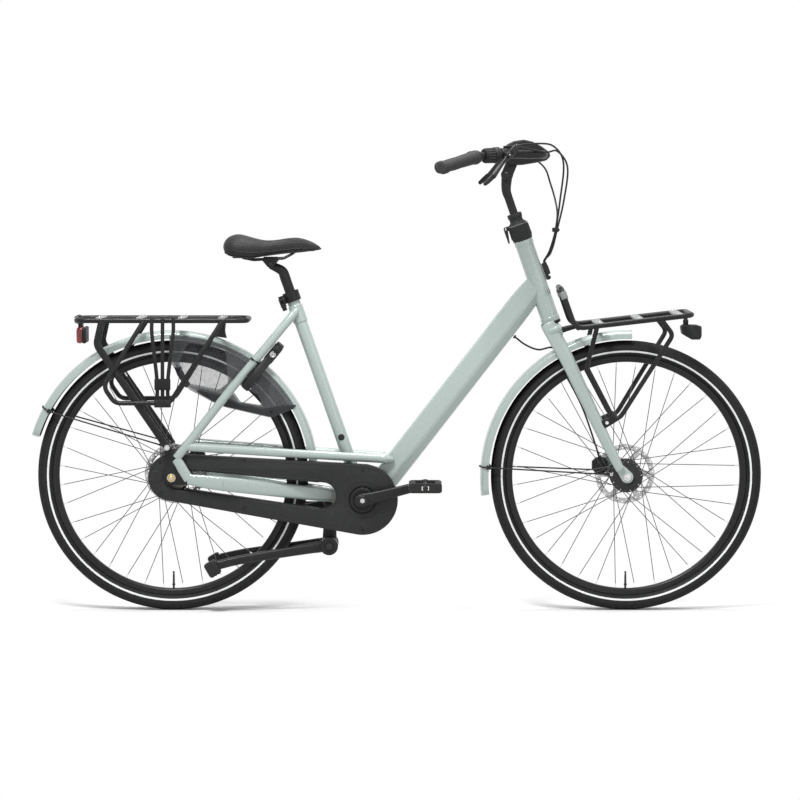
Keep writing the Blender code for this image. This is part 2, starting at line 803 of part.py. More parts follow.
def hexagon(centre, radius):
    """Outline of a nut."""
    return circle(centre, radius, 6)


def axle_with_nuts(name, centre, end_y, pin, paint, low_cap, high_cap):
    """An axle through the end plates, with a nut on each outer face."""
    axle = across(name, centre, pin, end_y + 0.0140, paint, 12)
    place = (centre.x, centre.z)
    face = end_y + GAP
    join(
        axle,
        plate(f"{name}_nut_right", [hexagon(place, low_cap)], -face - 0.0085, -face),
        plate(f"{name}_nut_left", [hexagon(place, high_cap)], face, face + 0.0085),
    )
    return axle


axle_with_nuts(
    "rear_axle",
    REAR_AXLE,
    REAR_DROPOUT_Y + DROPOUT_THICKNESS,
    AXLE_RADIUS,
    STEEL,
    0.0100,
    0.0100,
)

# Drive: crank, chain, chain case and pedals

chain_y = -CHAIN_Y

chain = plate(
    "chain",
    [
        hull(
            circle(REAR_AXLE, SPROCKET_RADIUS + 0.0058, 16),
            circle(CRANK_AXLE, RING_RADIUS + 0.0058, 22),
        ),
        hull(
            circle(REAR_AXLE, SPROCKET_RADIUS - 0.0042, 16),
            circle(CRANK_AXLE, RING_RADIUS - 0.0042, 22),
        ),
    ],
    chain_y - 0.0038,
    chain_y + 0.0038,
    DARK_STEEL,
)
carve(
    chain,
    plate(
        "chain_groove",
        [
            hull(
                circle(REAR_AXLE, SPROCKET_RADIUS + 0.0043, 16),
                circle(CRANK_AXLE, RING_RADIUS + 0.0043, 22),
            )
        ],
        chain_y - TOOTH_HALF - GAP,
        chain_y + TOOTH_HALF + GAP,
    ),
)

sprocket = plate(
    "rear_sprocket",
    [circle(REAR_AXLE, SPROCKET_RADIUS + TOOTH_HEIGHT, SPROCKET_TEETH)],
    chain_y - TOOTH_HALF,
    chain_y + TOOTH_HALF,
    DARK_STEEL,
)
join(sprocket, rod("sprocket_boss", REAR_AXLE - SIDE * 0.0530, REAR_AXLE - SIDE * 0.0426, 0.018, steps=12))
carve(sprocket, across("sprocket_bore", REAR_AXLE, SPROCKET_NECK_RADIUS + RUN, 0.08, steps=24))


def case_outline(shrink):
    """Outline of the chain case, inset by shrink."""
    return hull(
        circle(REAR_AXLE, CASE_REAR_RADIUS - shrink, 16),
        circle(CRANK_AXLE, CASE_FRONT_RADIUS - shrink, 22),
    )


WINDOW_REAR = by_rear(-578.0, 353.0)
WINDOW_FRONT = by_crank(-195.0, 310.0)


def window_outline(grow):
    """Outline of the window that the chain stay passes through."""
    return hull(
        circle(WINDOW_REAR, WINDOW_REAR_RADIUS + grow, 12),
        circle(WINDOW_FRONT, WINDOW_FRONT_RADIUS + grow, 12),
    )


def case_half(name, face_y, lip_y, shrink):
    """Half of the chain case: a face at face_y with a rim as far as lip_y."""
    wall = CASE_WALL
    inward = math.copysign(wall, lip_y - face_y)
    half = plate(name, [case_outline(shrink)], face_y, lip_y, BLACK_PLASTIC)
    carve(
        half,
        plate(f"{name}_hollow", [case_outline(shrink + wall)], face_y + inward, lip_y + inward),
        plate(f"{name}_window", [window_outline(0.0)], face_y - inward, face_y + 2.0 * inward),
    )
    return half


split_y = -CASE_OUTER_Y + 0.016
case_outer = case_half("chaincase_outer", -CASE_OUTER_Y, split_y - GAP, 0.0)
case_inner = case_half("chaincase_inner", -CASE_INNER_Y, split_y, 0.0)


def window_wall(name, grow_sign):
    """A wall along one straight edge of the window, clear of the chain wheels."""
    rear = Vector((WINDOW_REAR.x + 0.024, WINDOW_REAR.z + grow_sign * 0.0262))
    front = Vector((WINDOW_FRONT.x - 0.010, WINDOW_FRONT.z + grow_sign * 0.0350))
    lift = Vector((0.0, grow_sign * CASE_WALL))
    low = Vector((0.0, -grow_sign * 0.0006))
    outline = [rear + low, front + low, front + lift, rear + lift]
    return plate(name, [[tuple(p) for p in outline]], -CASE_OUTER_Y + 0.001, -0.0375)


join(case_outer, window_wall("window_wall_top", 1.0), window_wall("window_wall_foot", -1.0))
carve(
    case_outer,
    across("boss_hole", CRANK_AXLE, BOSS_RADIUS + 0.0010, 0.10, steps=18),
)
carve(
    case_inner,
    across("shell_hole", CRANK_AXLE, SHELL_RADIUS + GAP, 0.10, steps=18),
    across("hub_hole", REAR_AXLE, 0.0250, 0.10, steps=14),
)

ARM_WAY = Vector((math.cos(CRANK_TILT), 0.0, math.sin(CRANK_TILT)))
spindle = across("crank_spindle", CRANK_AXLE, SPINDLE_RADIUS, ARM_Y + 0.0060, STEEL, 18)


def crank_arm(name, side, way):
    """A crank arm with the pin of its pedal."""
    end = CRANK_AXLE + way * CRANK_LENGTH
    y = side * ARM_Y
    line = [
        CRANK_AXLE - way * 0.018 + SIDE * y,
        CRANK_AXLE - way * 0.008 + SIDE * y,
        CRANK_AXLE + way * 0.030 + SIDE * y,
        CRANK_AXLE + way * 0.110 + SIDE * (y + side * 0.001),
        end - way * 0.002 + SIDE * (y + side * 0.002),
        end + way * 0.013 + SIDE * (y + side * 0.002),
    ]
    sizes = [
        (0.0060, 0.0110),
        (0.0080, 0.0165),
        (0.0080, 0.0160),
        (0.0072, 0.0130),
        (0.0070, 0.0140),
        (0.0055, 0.0080),
    ]
    arm = sweep(name, line, sizes, BLACK_PAINT, square=0.75)
    pin_start = end + SIDE * y
    pin_end = end + SIDE * side * (PEDAL_Y + PEDAL_HALF_WIDTH + 0.004)
    join(arm, rod(f"{name}_pin", pin_start, pin_end, PEDAL_PIN_RADIUS, steps=12))
    return arm


crank_right = crank_arm("crank_right", RIGHT, ARM_WAY)
crank_left = crank_arm("crank_left", LEFT, -ARM_WAY)
ring = plate(
    "chain_ring",
    [circle(CRANK_AXLE, RING_RADIUS + TOOTH_HEIGHT, 28)],
    chain_y - TOOTH_HALF,
    chain_y + TOOTH_HALF,
)
join(
    crank_right,
    ring,
    rod(
        "crank_boss",
        CRANK_AXLE - SIDE * (ARM_Y - 0.004),
        CRANK_AXLE - SIDE * (CHAIN_Y - 0.004),
        BOSS_RADIUS,
        steps=18,
    ),
)
join(
    crank_left,
    rod("left_boss", CRANK_AXLE + SIDE * 0.0380, CRANK_AXLE + SIDE * (ARM_Y - 0.003), 0.015, steps=14),
)
hole = SPINDLE_RADIUS + GAP
carve(crank_right, across("right_arm_bore", CRANK_AXLE, hole, 0.12, steps=18))
carve(crank_left, across("left_arm_bore", CRANK_AXLE, hole, 0.12, steps=18))


def pedal(name, side, way):
    """A block pedal that turns on the pin of its crank arm."""
    centre = CRANK_AXLE + way * CRANK_LENGTH + SIDE * side * PEDAL_Y
    half = PEDAL_HALF_WIDTH
    body = block(name, centre, (0.086, 2.0 * half, 0.026), BLACK_PLASTIC, bevel=0.006)
    for i, sign in enumerate((-1.0, 1.0)):
        place = centre + AHEAD * sign * 0.0235
        carve(body, block(f"{name}_slot_{i}", place, (0.020, 1.5 * half, 0.050)))
    low = centre - SIDE * (half + 0.01)
    high = centre + SIDE * (half + 0.01)
    carve(body, rod(f"{name}_bore", low, high, PEDAL_PIN_RADIUS + RUN, steps=18))
    return body


pedal("pedal_right", RIGHT, ARM_WAY)
pedal("pedal_left", LEFT, -ARM_WAY)

# Mudguards


def guard_ring(axle, turn, flare):
    """Open section of a mudguard at this angle round the axle."""
    out = Vector((math.cos(turn), 0.0, math.sin(turn)))
    half = MUDGUARD_HALF_WIDTH
    crown = MUDGUARD_RADIUS + flare
    wall = MUDGUARD_WALL
    outer = [
        (half, crown - MUDGUARD_DEPTH),
        (0.93 * half, crown - 0.45 * MUDGUARD_DEPTH),
        (0.62 * half, crown - 0.12 * MUDGUARD_DEPTH),
    ]
    inner = [(outer[0][0] - wall, outer[0][1])]
    inner += [(y - wall, r - wall) for y, r in outer[1:]]
    shape = outer + [(0.0, crown)] + [(-y, r) for y, r in reversed(outer)]
    shape += [(-y, r) for y, r in inner] + [(0.0, crown - wall)] + inner[::-1]
    return [axle + out * r + SIDE * y for y, r in shape]


def mudguard(name, axle, start, end, count, flare):
    """A mudguard from the start angle to the end angle, in degrees."""
    rings = []
    for i in range(count + 1):
        t = i / count
        turn = math.radians(start + (end - start) * t)
        rings.append(guard_ring(axle, turn, flare * (1.0 - t) ** 6))
    return loft(name, rings, FRAME_PAINT)


front_mudguard = mudguard("front_mudguard", FRONT_AXLE, *FRONT_GUARD, 13, FRONT_FLARE)
rear_mudguard = mudguard("rear_mudguard", REAR_AXLE, *REAR_GUARD, 20, REAR_FLARE)


def guard_stays(name, axle, span, flare, turn, foot, knee, paint=DARK_STEEL):
    """A wire from one end plate round the outside of a mudguard to the other."""
    t = math.radians(turn)
    out = Vector((math.cos(t), 0.0, math.sin(t)))
    half = MUDGUARD_HALF_WIDTH
    along = (span[0] - turn) / (span[0] - span[1])
    crown = MUDGUARD_RADIUS + flare * (1.0 - along) ** 6
    off = STAY_WIRE_RADIUS + 2.0 * GAP
    bow = [
        (-half - 1.2 * off, crown - 1.15 * MUDGUARD_DEPTH),
        (-0.93 * half - 0.87 * off, crown - 0.45 * MUDGUARD_DEPTH + 0.65 * off),
        (-0.62 * half - 0.35 * off, crown - 0.12 * MUDGUARD_DEPTH + off),
        (0.0, crown + off),
    ]
    near = [axle + out * r + SIDE * y for y, r in bow]
    line = [foot, knee, *near]
    line += [Vector((p.x, -p.y, p.z)) for p in reversed(line[:-1])]
    return tube(name, [line], STAY_WIRE_RADIUS, paint, detail=1)


guard_stays(
    "rear_mudguard_stays",
    REAR_AXLE,
    REAR_GUARD,
    REAR_FLARE,
    152.0,
    by_rear(-606.0, 440.0, -REAR_DROPOUT_Y / MM + STAY_WIRE_RADIUS / MM + 0.3),
    by_rear(-640.0, 450.0, -66.0),
)
FRONT_STAY_Y = (FRONT_DROPOUT_Y + DROPOUT_THICKNESS + STAY_WIRE_RADIUS + GAP) / MM
guard_stays(
    "front_mudguard_stays",
    FRONT_AXLE,
    FRONT_GUARD,
    FRONT_FLARE,
    176.4,
    by_front(566.0, 366.0, -FRONT_STAY_Y),
    by_front(512.0, 368.0, -FRONT_STAY_Y + 1.0),
)

# Rear carrier

rail_z = 772.0
rail_y = REAR_RAIL_Y / MM
loop_corners = [
    by_rear(-600.0, rail_z, -rail_y),
    by_rear(-392.0, rail_z, -rail_y),
    by_rear(-392.0, rail_z, rail_y),
    by_rear(-852.0, rail_z, rail_y),
    by_rear(-852.0, rail_z, -rail_y),
    by_rear(-600.0, rail_z, -rail_y),
]
loop = rounded(loop_corners, 0.030, 3)[:-1]
rear_carrier = tube("rear_carrier", [loop], RAIL_RADIUS, BLACK_PAINT, detail=1, cyclic=True)


def carrier_leg(name, side):
    """A leg of the rear carrier, from its rail to the end plate of the frame."""
    line = rounded(
        [
            by_rear(-772.0, 771.0, side * rail_y),
            by_rear(-786.0, 709.0, side * (rail_y + 2.0)),
            by_rear(-600.0, 436.0, side * 81.75),
        ],
        0.020,
        2,
    )
    sizes = [(0.0075, 0.0100)] * (len(line) - 1) + [(0.0085, 0.0095)]
    return sweep(name, line, sizes, count=8)


def pannier_loop(name, side):
    """The hanging loop that keeps a bag off the wheel."""
    line = rounded(
        [
            by_rear(-662.0, 771.0, side * (rail_y + 1.0)),
            by_rear(-768.0, 600.0, side * LOOP_Y / MM),
            by_rear(-738.0, 556.0, side * LOOP_Y / MM),
            by_rear(-594.0, 556.0, side * LOOP_Y / MM),
            by_rear(-456.0, 771.0, side * (rail_y + 1.0)),
        ],
        0.025,
        2,
    )
    return tube(name, [line], LOOP_RADIUS, detail=1)


join(
    rear_carrier,
    carrier_leg("leg_right", RIGHT),
    carrier_leg("leg_left", LEFT),
    pannier_loop("loop_right", RIGHT),
    pannier_loop("loop_left", LEFT),
)
CROSS_PLATES = (-779.0, -673.0, -564.0, -458.0)
for number, x in enumerate(CROSS_PLATES):
    join(
        rear_carrier,
        block(
            f"cross_plate_{number}",
            by_rear(x, rail_z + 4.4),
            (0.020, 2.0 * REAR_RAIL_Y + 0.006, 0.006),
        ),
    )
# The front foot of the carrier stands on the mudguard.
foot_turn = math.acos(0.134 / (MUDGUARD_RADIUS + GAP))
foot_z = REAR_AXLE.z + MUDGUARD_RADIUS * math.sin(foot_turn)
join(
    rear_carrier,
    loft(
        "carrier_foot",
        [
            oval(
                Vector((by_rear(-466.0, 0.0).x, 0.0, foot_z + 0.0045)), AHEAD, SIDE, 0.018, 0.014, 8
            ),
            oval(by_rear(-458.0, rail_z + 3.0), AHEAD, SIDE, 0.009, 0.030, 8),
        ],
    ),
)
carve(
    rear_carrier,
    loft(
        "foot_cut",
        [
            [
                REAR_AXLE
                + Vector((math.cos(t), 0.0, math.sin(t))) * (MUDGUARD_RADIUS + GAP)
                + SIDE * 0.05,
                REAR_AXLE
                + Vector((math.cos(t), 0.0, math.sin(t))) * (MUDGUARD_RADIUS + GAP)
                - SIDE * 0.05,
                REAR_AXLE + Vector((math.cos(t), 0.0, math.sin(t))) * 0.30 - SIDE * 0.05,
                REAR_AXLE + Vector((math.cos(t), 0.0, math.sin(t))) * 0.30 + SIDE * 0.05,
            ]
            for t in [math.radians(62.0 + 2.0 * i) for i in range(9)]
        ],
    ),
)


def strap(x, drop):
    """One elastic strap, hooked over the rail and down outside the pannier loop."""
    bend = (RAIL_RADIUS + GAP + STRAP_HALF) / math.cos(math.radians(22.5)) / MM
    low = -(LOOP_Y + LOOP_RADIUS + GAP + STRAP_HALF) / MM
    line = []
    for i in range(5):
        t = math.radians(45.0 * i)
        line.append(by_rear(x, rail_z + bend * math.sin(t), -rail_y + bend * math.cos(t)))
    return [*line, by_rear(x, drop + 60.0, low - 3.0), by_rear(x, drop, low - 1.5)]


def band(name, line, half_wide, half_thick, paint=None):
    """A flat band along the line, wide along +X."""
    rings = []
    last = len(line) - 1
    for i, point in enumerate(line):
        way = (line[min(i + 1, last)] - line[max(i - 1, 0)]).normalized()
        wide = (AHEAD - way * AHEAD.dot(way)).normalized()
        thick = way.cross(wide)
        rings.append(
            [
                point + wide * half_wide + thick * half_thick,
                point - wide * half_wide + thick * half_thick,
                point - wide * half_wide - thick * half_thick,
                point + wide * half_wide - thick * half_thick,
            ]
        )
    return loft(name, rings, paint)


strap_y = -(LOOP_Y + LOOP_RADIUS + 0.0036) / MM
straps = band("carrier_straps", strap(-640.0, 552.0), 0.005, STRAP_HALF, STRAP_RUBBER)
join(
    straps,
    band("strap_1", strap(-612.0, 552.0), 0.005, STRAP_HALF),
    band("strap_2", strap(-584.0, 552.0), 0.005, STRAP_HALF),
    block("strap_head", by_rear(-612.0, 606.0, strap_y - 1.5), (0.070, 0.0044, 0.030)),
    block("strap_foot", by_rear(-612.0, 556.0, strap_y), (0.070, 0.0064, 0.022)),
)

tail_light = block(
    "tail_light", by_rear(-835.0, 731.0), (0.036, 0.090, 0.044), RED_LENS, bevel=0.006
)
join(
    tail_light,
    block("light_bracket", by_rear(-846.0, 757.0), (0.012, 0.050, 0.022)),
)
carve(
    tail_light,
    across("light_seat", by_rear(-852.0, rail_z), RAIL_RADIUS + 3.0 * GAP, 0.09, steps=10),
)

# Coat guards, ring lock and seat clamp


def coat_guard(name, side):
    """A thin panel beside the wheel, between the mudguard and its lower edge."""
    outline = []
    radius = MUDGUARD_RADIUS - 0.012
    for i in range(13):
        t = math.radians(91.0 - 60.0 * i / 12.0)
        outline.append(
            (REAR_AXLE.x + radius * math.cos(t), REAR_AXLE.z + radius * math.sin(t))
        )
    for x, z in ((-240.0, 550.0), (-272.0, 536.0), (-332.0, 513.0), (-465.0, 544.0)):
        p = by_rear(x, z)
        outline.append((p.x, p.z))
    for x, z in ((-549.0, 589.0), (-596.0, 659.0)):
        p = by_rear(x, z)
        outline.append((p.x, p.z))
    opening = []
    for x, z in ((-352.0, 541.0), (-414.0, 551.0), (-442.0, 591.0), (-424.0, 605.0), (-366.0, 574.0)):
        p = by_rear(x, z)
        opening.append((p.x, p.z))
    near = side * (MUDGUARD_HALF_WIDTH + 2.0 * GAP)
    return plate(name, [outline, opening], near, near + side * 0.0015, SMOKE_PLASTIC)


coat_guard("coat_guard_right", RIGHT)
coat_guard("coat_guard_left", LEFT)

LOCK_OUT = Vector((math.cos(LOCK_TURN), 0.0, math.sin(LOCK_TURN)))
LOCK_WAY = SIDE.cross(LOCK_OUT)
LOCK_CENTRE = REAR_AXLE + LOCK_OUT * LOCK_CENTRE_R
LOCK_AXES = Matrix.Translation(LOCK_CENTRE) @ Matrix((SIDE, LOCK_OUT, LOCK_WAY)).transposed().to_4x4()


def arc(radius, start, end, count):
    """Points of an arc about the lock's centre, from start to end in degrees."""
    turns = [math.radians(start + (end - start) * i / count) for i in range(count + 1)]
    return [(radius * math.cos(t), radius * math.sin(t)) for t in turns]


lock_outline = (
    arc(LOCK_RADIUS - 0.0105, 215.0, -35.0, 13)
    + arc(LOCK_RADIUS + 0.0110, -35.0, 40.0, 4)
    + [(0.044, 0.098), (0.032, 0.110), (-0.032, 0.110), (-0.044, 0.098)]
    + arc(LOCK_RADIUS + 0.0110, 140.0, 215.0, 4)
)
ring_lock = plate(
    "ring_lock", [lock_outline], -LOCK_HALF, LOCK_HALF, BLACK_PLASTIC, matrix=LOCK_AXES
)


def arc_rod(name, radius, start, end, thickness, count, paint=None, detail=2):
    """A round bar bent to an arc about the lock's centre."""
    line = [LOCK_CENTRE + SIDE * u + LOCK_OUT * v for u, v in arc(radius, start, end, count)]
    return tube(name, [line], thickness, paint, detail=detail)


# Two lugs rest on the seat stays and carry the lock.
for side, label in ((RIGHT, "right"), (LEFT, "left")):
    join(
        ring_lock,
        block(
            f"lock_lug_{label}",
            LOCK_CENTRE + SIDE * side * LUG_Y - LOCK_WAY * LUG_BACK,
            (0.0140, 0.0180, 0.0120),
            matrix=LOCK_AXES.to_3x3().to_4x4(),
        ),
    )
carve(
    ring_lock,
    seat_stay("stay_room_right", RIGHT, GAP),
    seat_stay("stay_room_left", LEFT, GAP),
    arc_rod("bolt_channel", LOCK_RADIUS, 74.0, 222.0, BOLT_RADIUS + 0.0012, 14, detail=1),
    arc_rod("bolt_socket", LOCK_RADIUS, 318.0, 344.0, BOLT_RADIUS + 0.0012, 3, detail=1),
    plate(
        "knob_slot",
        [arc(LOCK_RADIUS, 108.0, 222.0, 7) + arc(LOCK_RADIUS + 0.060, 222.0, 108.0, 4)],
        -0.0030,
        0.0030,
        matrix=LOCK_AXES,
    ),
)
ring_lock_bolt = arc_rod(
    "ring_lock_bolt", LOCK_RADIUS, 80.0, 206.0, BOLT_RADIUS, 13, STEEL, detail=1
)
knob_way = SIDE * math.cos(math.radians(118.0)) + LOCK_OUT * math.sin(math.radians(118.0))
join(
    ring_lock_bolt,
    rod(
        "bolt_knob",
        LOCK_CENTRE + knob_way * (LOCK_RADIUS + 0.002),
        LOCK_CENTRE + knob_way * (LOCK_RADIUS + 0.052),
        0.0022,
        steps=8,
    ),
)
origin_at(ring_lock_bolt, LOCK_CENTRE)

seat_clamp = rod(
    "seat_clamp",
    on_seat(SEAT_TUBE_LENGTH - 0.0245),
    on_seat(SEAT_TUBE_LENGTH + 0.0025),
    SEAT_TUBE_RADIUS + 0.0050,
    BLACK_PAINT,
    16,
    inner=SEAT_TUBE_RADIUS + GAP,
)
join(
    seat_clamp,
    block(
        "clamp_ears",
        on_seat(PIN_HEIGHT, 0.0, PIN_BACK + 0.0010),
        (0.016, 0.024, 0.020),
        matrix=axes_at(Vector(), SEAT_AXIS) @ Matrix.Rotation(math.pi / 2.0, 4, "Z"),
    ),
    rod(
        "clamp_bolt",
        on_seat(PIN_HEIGHT, 0.016, PIN_BACK),
        on_seat(PIN_HEIGHT, CAM_Y, PIN_BACK),
        0.0028,
        steps=8,
    ),
    rod(
        "cam_pin",
        on_seat(PIN_HEIGHT, CAM_Y, PIN_BACK - 0.0080),
        on_seat(PIN_HEIGHT, CAM_Y, PIN_BACK + 0.0080),
        0.0028,
        steps=10,
    ),
)
carve(
    seat_clamp,
    rod(
        "clamp_bore",
        on_seat(SEAT_TUBE_LENGTH - 0.036),
        on_seat(SEAT_TUBE_LENGTH + 0.024),
        SEAT_TUBE_RADIUS + GAP,
        steps=16,
    ),
)
CAM = on_seat(PIN_HEIGHT, CAM_Y, PIN_BACK)
CAM_AXES = Matrix.Translation(CAM) @ Matrix(
    (SIDE, SEAT_AXIS, SIDE.cross(SEAT_AXIS))
).transposed().to_4x4()
seat_clamp_lever = plate(
    "seat_clamp_lever",
    [hull(circle((0.0, 0.0), 0.0062, 14), [(-0.0055, -0.0190), (-0.0015, -0.0190)])],
    -0.0075,
    0.0075,
    BLACK_PAINT,
    matrix=CAM_AXES,
)
join(
    seat_clamp_lever,
    plate(
        "lever_blade",
        [[(-0.0060, -0.0150), (-0.0010, -0.0150), (-0.0030, -0.0290), (-0.0055, -0.0290)]],
        -0.0060,
        0.0060,
        matrix=CAM_AXES,
    ),
)
carve(
    seat_clamp_lever,
    rod(
        "lever_bore",
        CAM - SIDE.cross(SEAT_AXIS) * 0.02,
        CAM + SIDE.cross(SEAT_AXIS) * 0.02,
        0.0028 + RUN,
        steps=14,
    ),
    plate(
        "lever_slot",
        [[(-0.0120, -0.0090), (0.0120, -0.0090), (0.0120, 0.0120), (-0.0120, 0.0120)]],
        -0.0034,
        0.0034,
        matrix=CAM_AXES,
    ),
)
origin_at(seat_clamp_lever, CAM)

# Stand

PIVOT = by_crank(-178.0, 174.0)
bracket = block(
    "stand_bracket", by_crank(-176.5, 253.5), (0.032, 0.026, 0.070), BLACK_PAINT, bevel=0.002
)
stand_pin = across("stand_pin", PIVOT, PIVOT_RADIUS, 0.0560, steps=16)
join(
    bracket,
    sweep(
        "stand_column",
        [by_crank(-176.5, 240.0), by_crank(-177.5, 196.0), PIVOT],
        [(0.0130, 0.0160), (0.0120, 0.0190), (0.0120, 0.0180)],
        square=0.6,
    ),
    stand_pin,
)


def stand_leg(name, side):
    """One leg of the stand, folded back along the wheel."""
    line = [
        PIVOT + SIDE * side * 0.0350,
        by_crank(-206.0, 171.0, side * 38.0),
        by_crank(-250.0, 165.0, side * 47.0),
        by_crank(-400.0, 143.0, side * 70.0),
        by_crank(-470.0, 128.0, side * 78.0),
    ]
    sizes = [(0.0100, 0.0150), (0.0110, 0.0150), (0.0110, 0.0125), (0.0105, 0.0120), (0.0110, 0.0130)]
    return sweep(name, line, sizes, count=6, square=0.8)


kickstand = across("kickstand", PIVOT, 0.0235, 0.0530, BLACK_PAINT, steps=16)
for side, label in ((RIGHT, "right"), (LEFT, "left")):
    join(
        kickstand,
        stand_leg(f"stand_leg_{label}", side),
        block(
            f"stand_foot_{label}",
            by_crank(-484.0, 119.0, side * 80.0),
            (0.034, 0.030, 0.040),
            matrix=tilted(math.radians(30.0)),
            bevel=0.006,
        ),
    )
carve(
    kickstand,
    across("stand_bore", PIVOT, PIVOT_RADIUS + RUN, 0.12, steps=26),
    across("column_room", PIVOT, 0.0290, 0.0150, steps=12),
)
join(kickstand, across("stand_tie", by_crank(-218.0, 168.5), 0.0080, 0.0400, steps=8))
origin_at(kickstand, PIVOT)

# Fork, front carrier and front brake

STEERER_TOP = HEAD_TUBE_LENGTH + 0.0455
CROWN_DROP = RACE_HEIGHT + SWING


def blade_line(side):
    """Middle line of a fork blade."""
    places = (
        (405.0, 748.0, 40.0),
        (430.0, 704.0, 44.5),
        (456.0, 653.0, 48.5),
        (502.0, 557.0, 53.0),
        (560.0, 437.0, 56.5),
        (589.0, 378.0, 58.5),
    )
    return [by_front(x, z, side * y) for x, z, y in places]


def fork_blade(name, side, grow=0.0):
    """A fork blade that narrows to its end."""
    sizes = [
        (0.0110, 0.0190),
        (0.0110, 0.0195),
        (0.0110, 0.0185),
        (0.0105, 0.0165),
        (0.0090, 0.0138),
        (0.0070, 0.0115),
    ]
    sizes = [(a + grow, b + grow) for a, b in sizes]
    return sweep(name, blade_line(side), sizes, count=8, square=0.85)


def fork_crown(name, grow=0.0):
    """The crown that joins the blades under the head tube."""
    rings = []
    ahead = SIDE.cross(HEAD_AXIS)
    for y, drop, a, b in (
        (-0.050, 0.0290, 0.0120, 0.0120),
        (-0.044, 0.0258, 0.0190, 0.0190),
        (-0.018, 0.0179, 0.0215, 0.0178),
        (0.018, 0.0179, 0.0215, 0.0178),
        (0.044, 0.0258, 0.0190, 0.0190),
        (0.050, 0.0290, 0.0120, 0.0120),
    ):
        place = on_head(-CROWN_DROP - drop, y)
        rings.append(oval(place, ahead, HEAD_AXIS, a + grow, b + grow, 10, 0.7))
    return loft(name, rings)


fork = rod(
    "fork",
    on_head(-0.030),
    on_head(STEERER_TOP),
    STEERER_RADIUS,
    FRAME_PAINT,
    20,
)
join(fork, fork_crown("fork_crown"))
for side, label in ((RIGHT, "right"), (LEFT, "left")):
    outline = hull(circle(FRONT_AXLE, 0.016, 14), circle(by_front(590.0, 380.0), 0.012, 8))
    inner = side * FRONT_DROPOUT_Y
    join(
        fork,
        fork_blade(f"blade_{label}", side),
        plate(f"fork_end_{label}", [outline], inner, inner + side * DROPOUT_THICKNESS),
    )
GUARD_MOUNT = (by_front(405.0, 752.0) - FRONT_AXLE).normalized()
mount_axes = axes_at(Vector(), GUARD_MOUNT)
GUARD_BOSS_R = MUDGUARD_RADIUS + GUARD_BOSS_LIFT
join(
    fork,
    block(
        "guard_boss",
        FRONT_AXLE + GUARD_MOUNT * GUARD_BOSS_R,
        (0.020, 0.018, 2.0 * GUARD_BOSS_HALF),
        matrix=mount_axes,
    ),
    plate(
        "caliper_tab",
        [
            hull(
                circle(by_front(574.0, 403.0), 0.0085, 9),
                circle(by_front(546.0, 398.0), 0.008, 8),
                circle(by_front(548.0, 364.0), 0.008, 8),
                circle(by_front(583.0, 370.0), 0.0075, 9),
            )
        ],
        FRONT_DROPOUT_Y + TAB_INSET,
        FRONT_DROPOUT_Y + DROPOUT_THICKNESS - 2.0 * TAB_INSET,
    ),
)
carve(
    fork,
    rod("quill_bore", on_head(0.040), on_head(0.40), QUILL_RADIUS + RUN, steps=16),
    across("front_axle_bore", FRONT_AXLE, AXLE_RADIUS + GAP, 0.10, steps=14),
)
tab_top = GUARD_BOSS_R - GUARD_BOSS_HALF - GAP
tab_foot = MUDGUARD_RADIUS - 0.5 * MUDGUARD_WALL
join(
    front_mudguard,
    block(
        "guard_tab",
        FRONT_AXLE + GUARD_MOUNT * ((tab_top + tab_foot) / 2.0),
        (0.018, 0.016, tab_top - tab_foot),
        matrix=mount_axes,
    ),
)
axle_with_nuts(
    "front_axle",
    FRONT_AXLE,
    FRONT_DROPOUT_Y + DROPOUT_THICKNESS,
    AXLE_RADIUS,
    STEEL,
    0.0090,
    0.0090,
)


def caliper(name, axle, centre, size, low, high, rotor_y):
    """A brake caliper round the edge of its rotor."""
    x, z = centre.x, centre.z
    half = size / 2.0
    cut = 0.25 * size
    outline = [
        (x - half + cut, z - half),
        (x + half - cut, z - half),
        (x + half, z - half + cut),
        (x + half, z + half - cut),
        (x + half - cut, z + half),
        (x - half + cut, z + half),
        (x - half, z + half - cut),
        (x - half, z - half + cut),
    ]
    body = plate(name, [outline], low, high, BLACK_PAINT)
    room = ROTOR_THICKNESS / 2.0 + SWING
    carve(
        body,
        rod(
            f"{name}_slot",
            axle + SIDE * (rotor_y - room),
            axle + SIDE * (rotor_y + room),
            ROTOR_RADIUS + 0.0020,
            steps=36,
        ),
    )
    return body


caliper(
    "front_caliper",
    FRONT_AXLE,
    by_front(541.0, 381.0),
    0.042,
    FRONT_ROTOR_Y - 0.0085,
    FRONT_DROPOUT_Y + TAB_INSET - GAP,
    FRONT_ROTOR_Y,
)
caliper(
    "rear_caliper",
    REAR_AXLE,
    by_rear(-532.0, 400.0),
    0.044,
    REAR_ROTOR_Y - 0.0100,
    REAR_DROPOUT_Y - GAP,
    REAR_ROTOR_Y,
)
join(
    main_frame,
    plate(
        "rear_caliper_tab",
        [
            hull(
                circle(by_rear(-566.0, 378.0), 0.012, 8),
                circle(by_rear(-524.0, 412.0), 0.008, 8),
                circle(by_rear(-514.0, 366.0), 0.008, 8),
            )
        ],
        REAR_DROPOUT_Y + TAB_INSET,
        REAR_DROPOUT_Y + DROPOUT_THICKNESS - 2.0 * TAB_INSET,
    ),
)

front_y = FRONT_RAIL_Y / MM
deck = rounded(
    [
        by_front(620.0, 770.6, -front_y),
        by_front(467.0, 753.0, -front_y),
        by_front(431.0, 855.0, -front_y + 16.0),
        by_front(431.0, 855.0, front_y - 16.0),
        by_front(467.0, 753.0, front_y),
        by_front(772.0, 788.0, front_y),
        by_front(772.0, 788.0, -front_y),
        by_front(620.0, 770.6, -front_y),
    ],
    0.026,
    2,
)[:-1]
front_carrier = tube("front_carrier", [deck], RAIL_RADIUS, BLACK_PAINT, detail=1, cyclic=True)


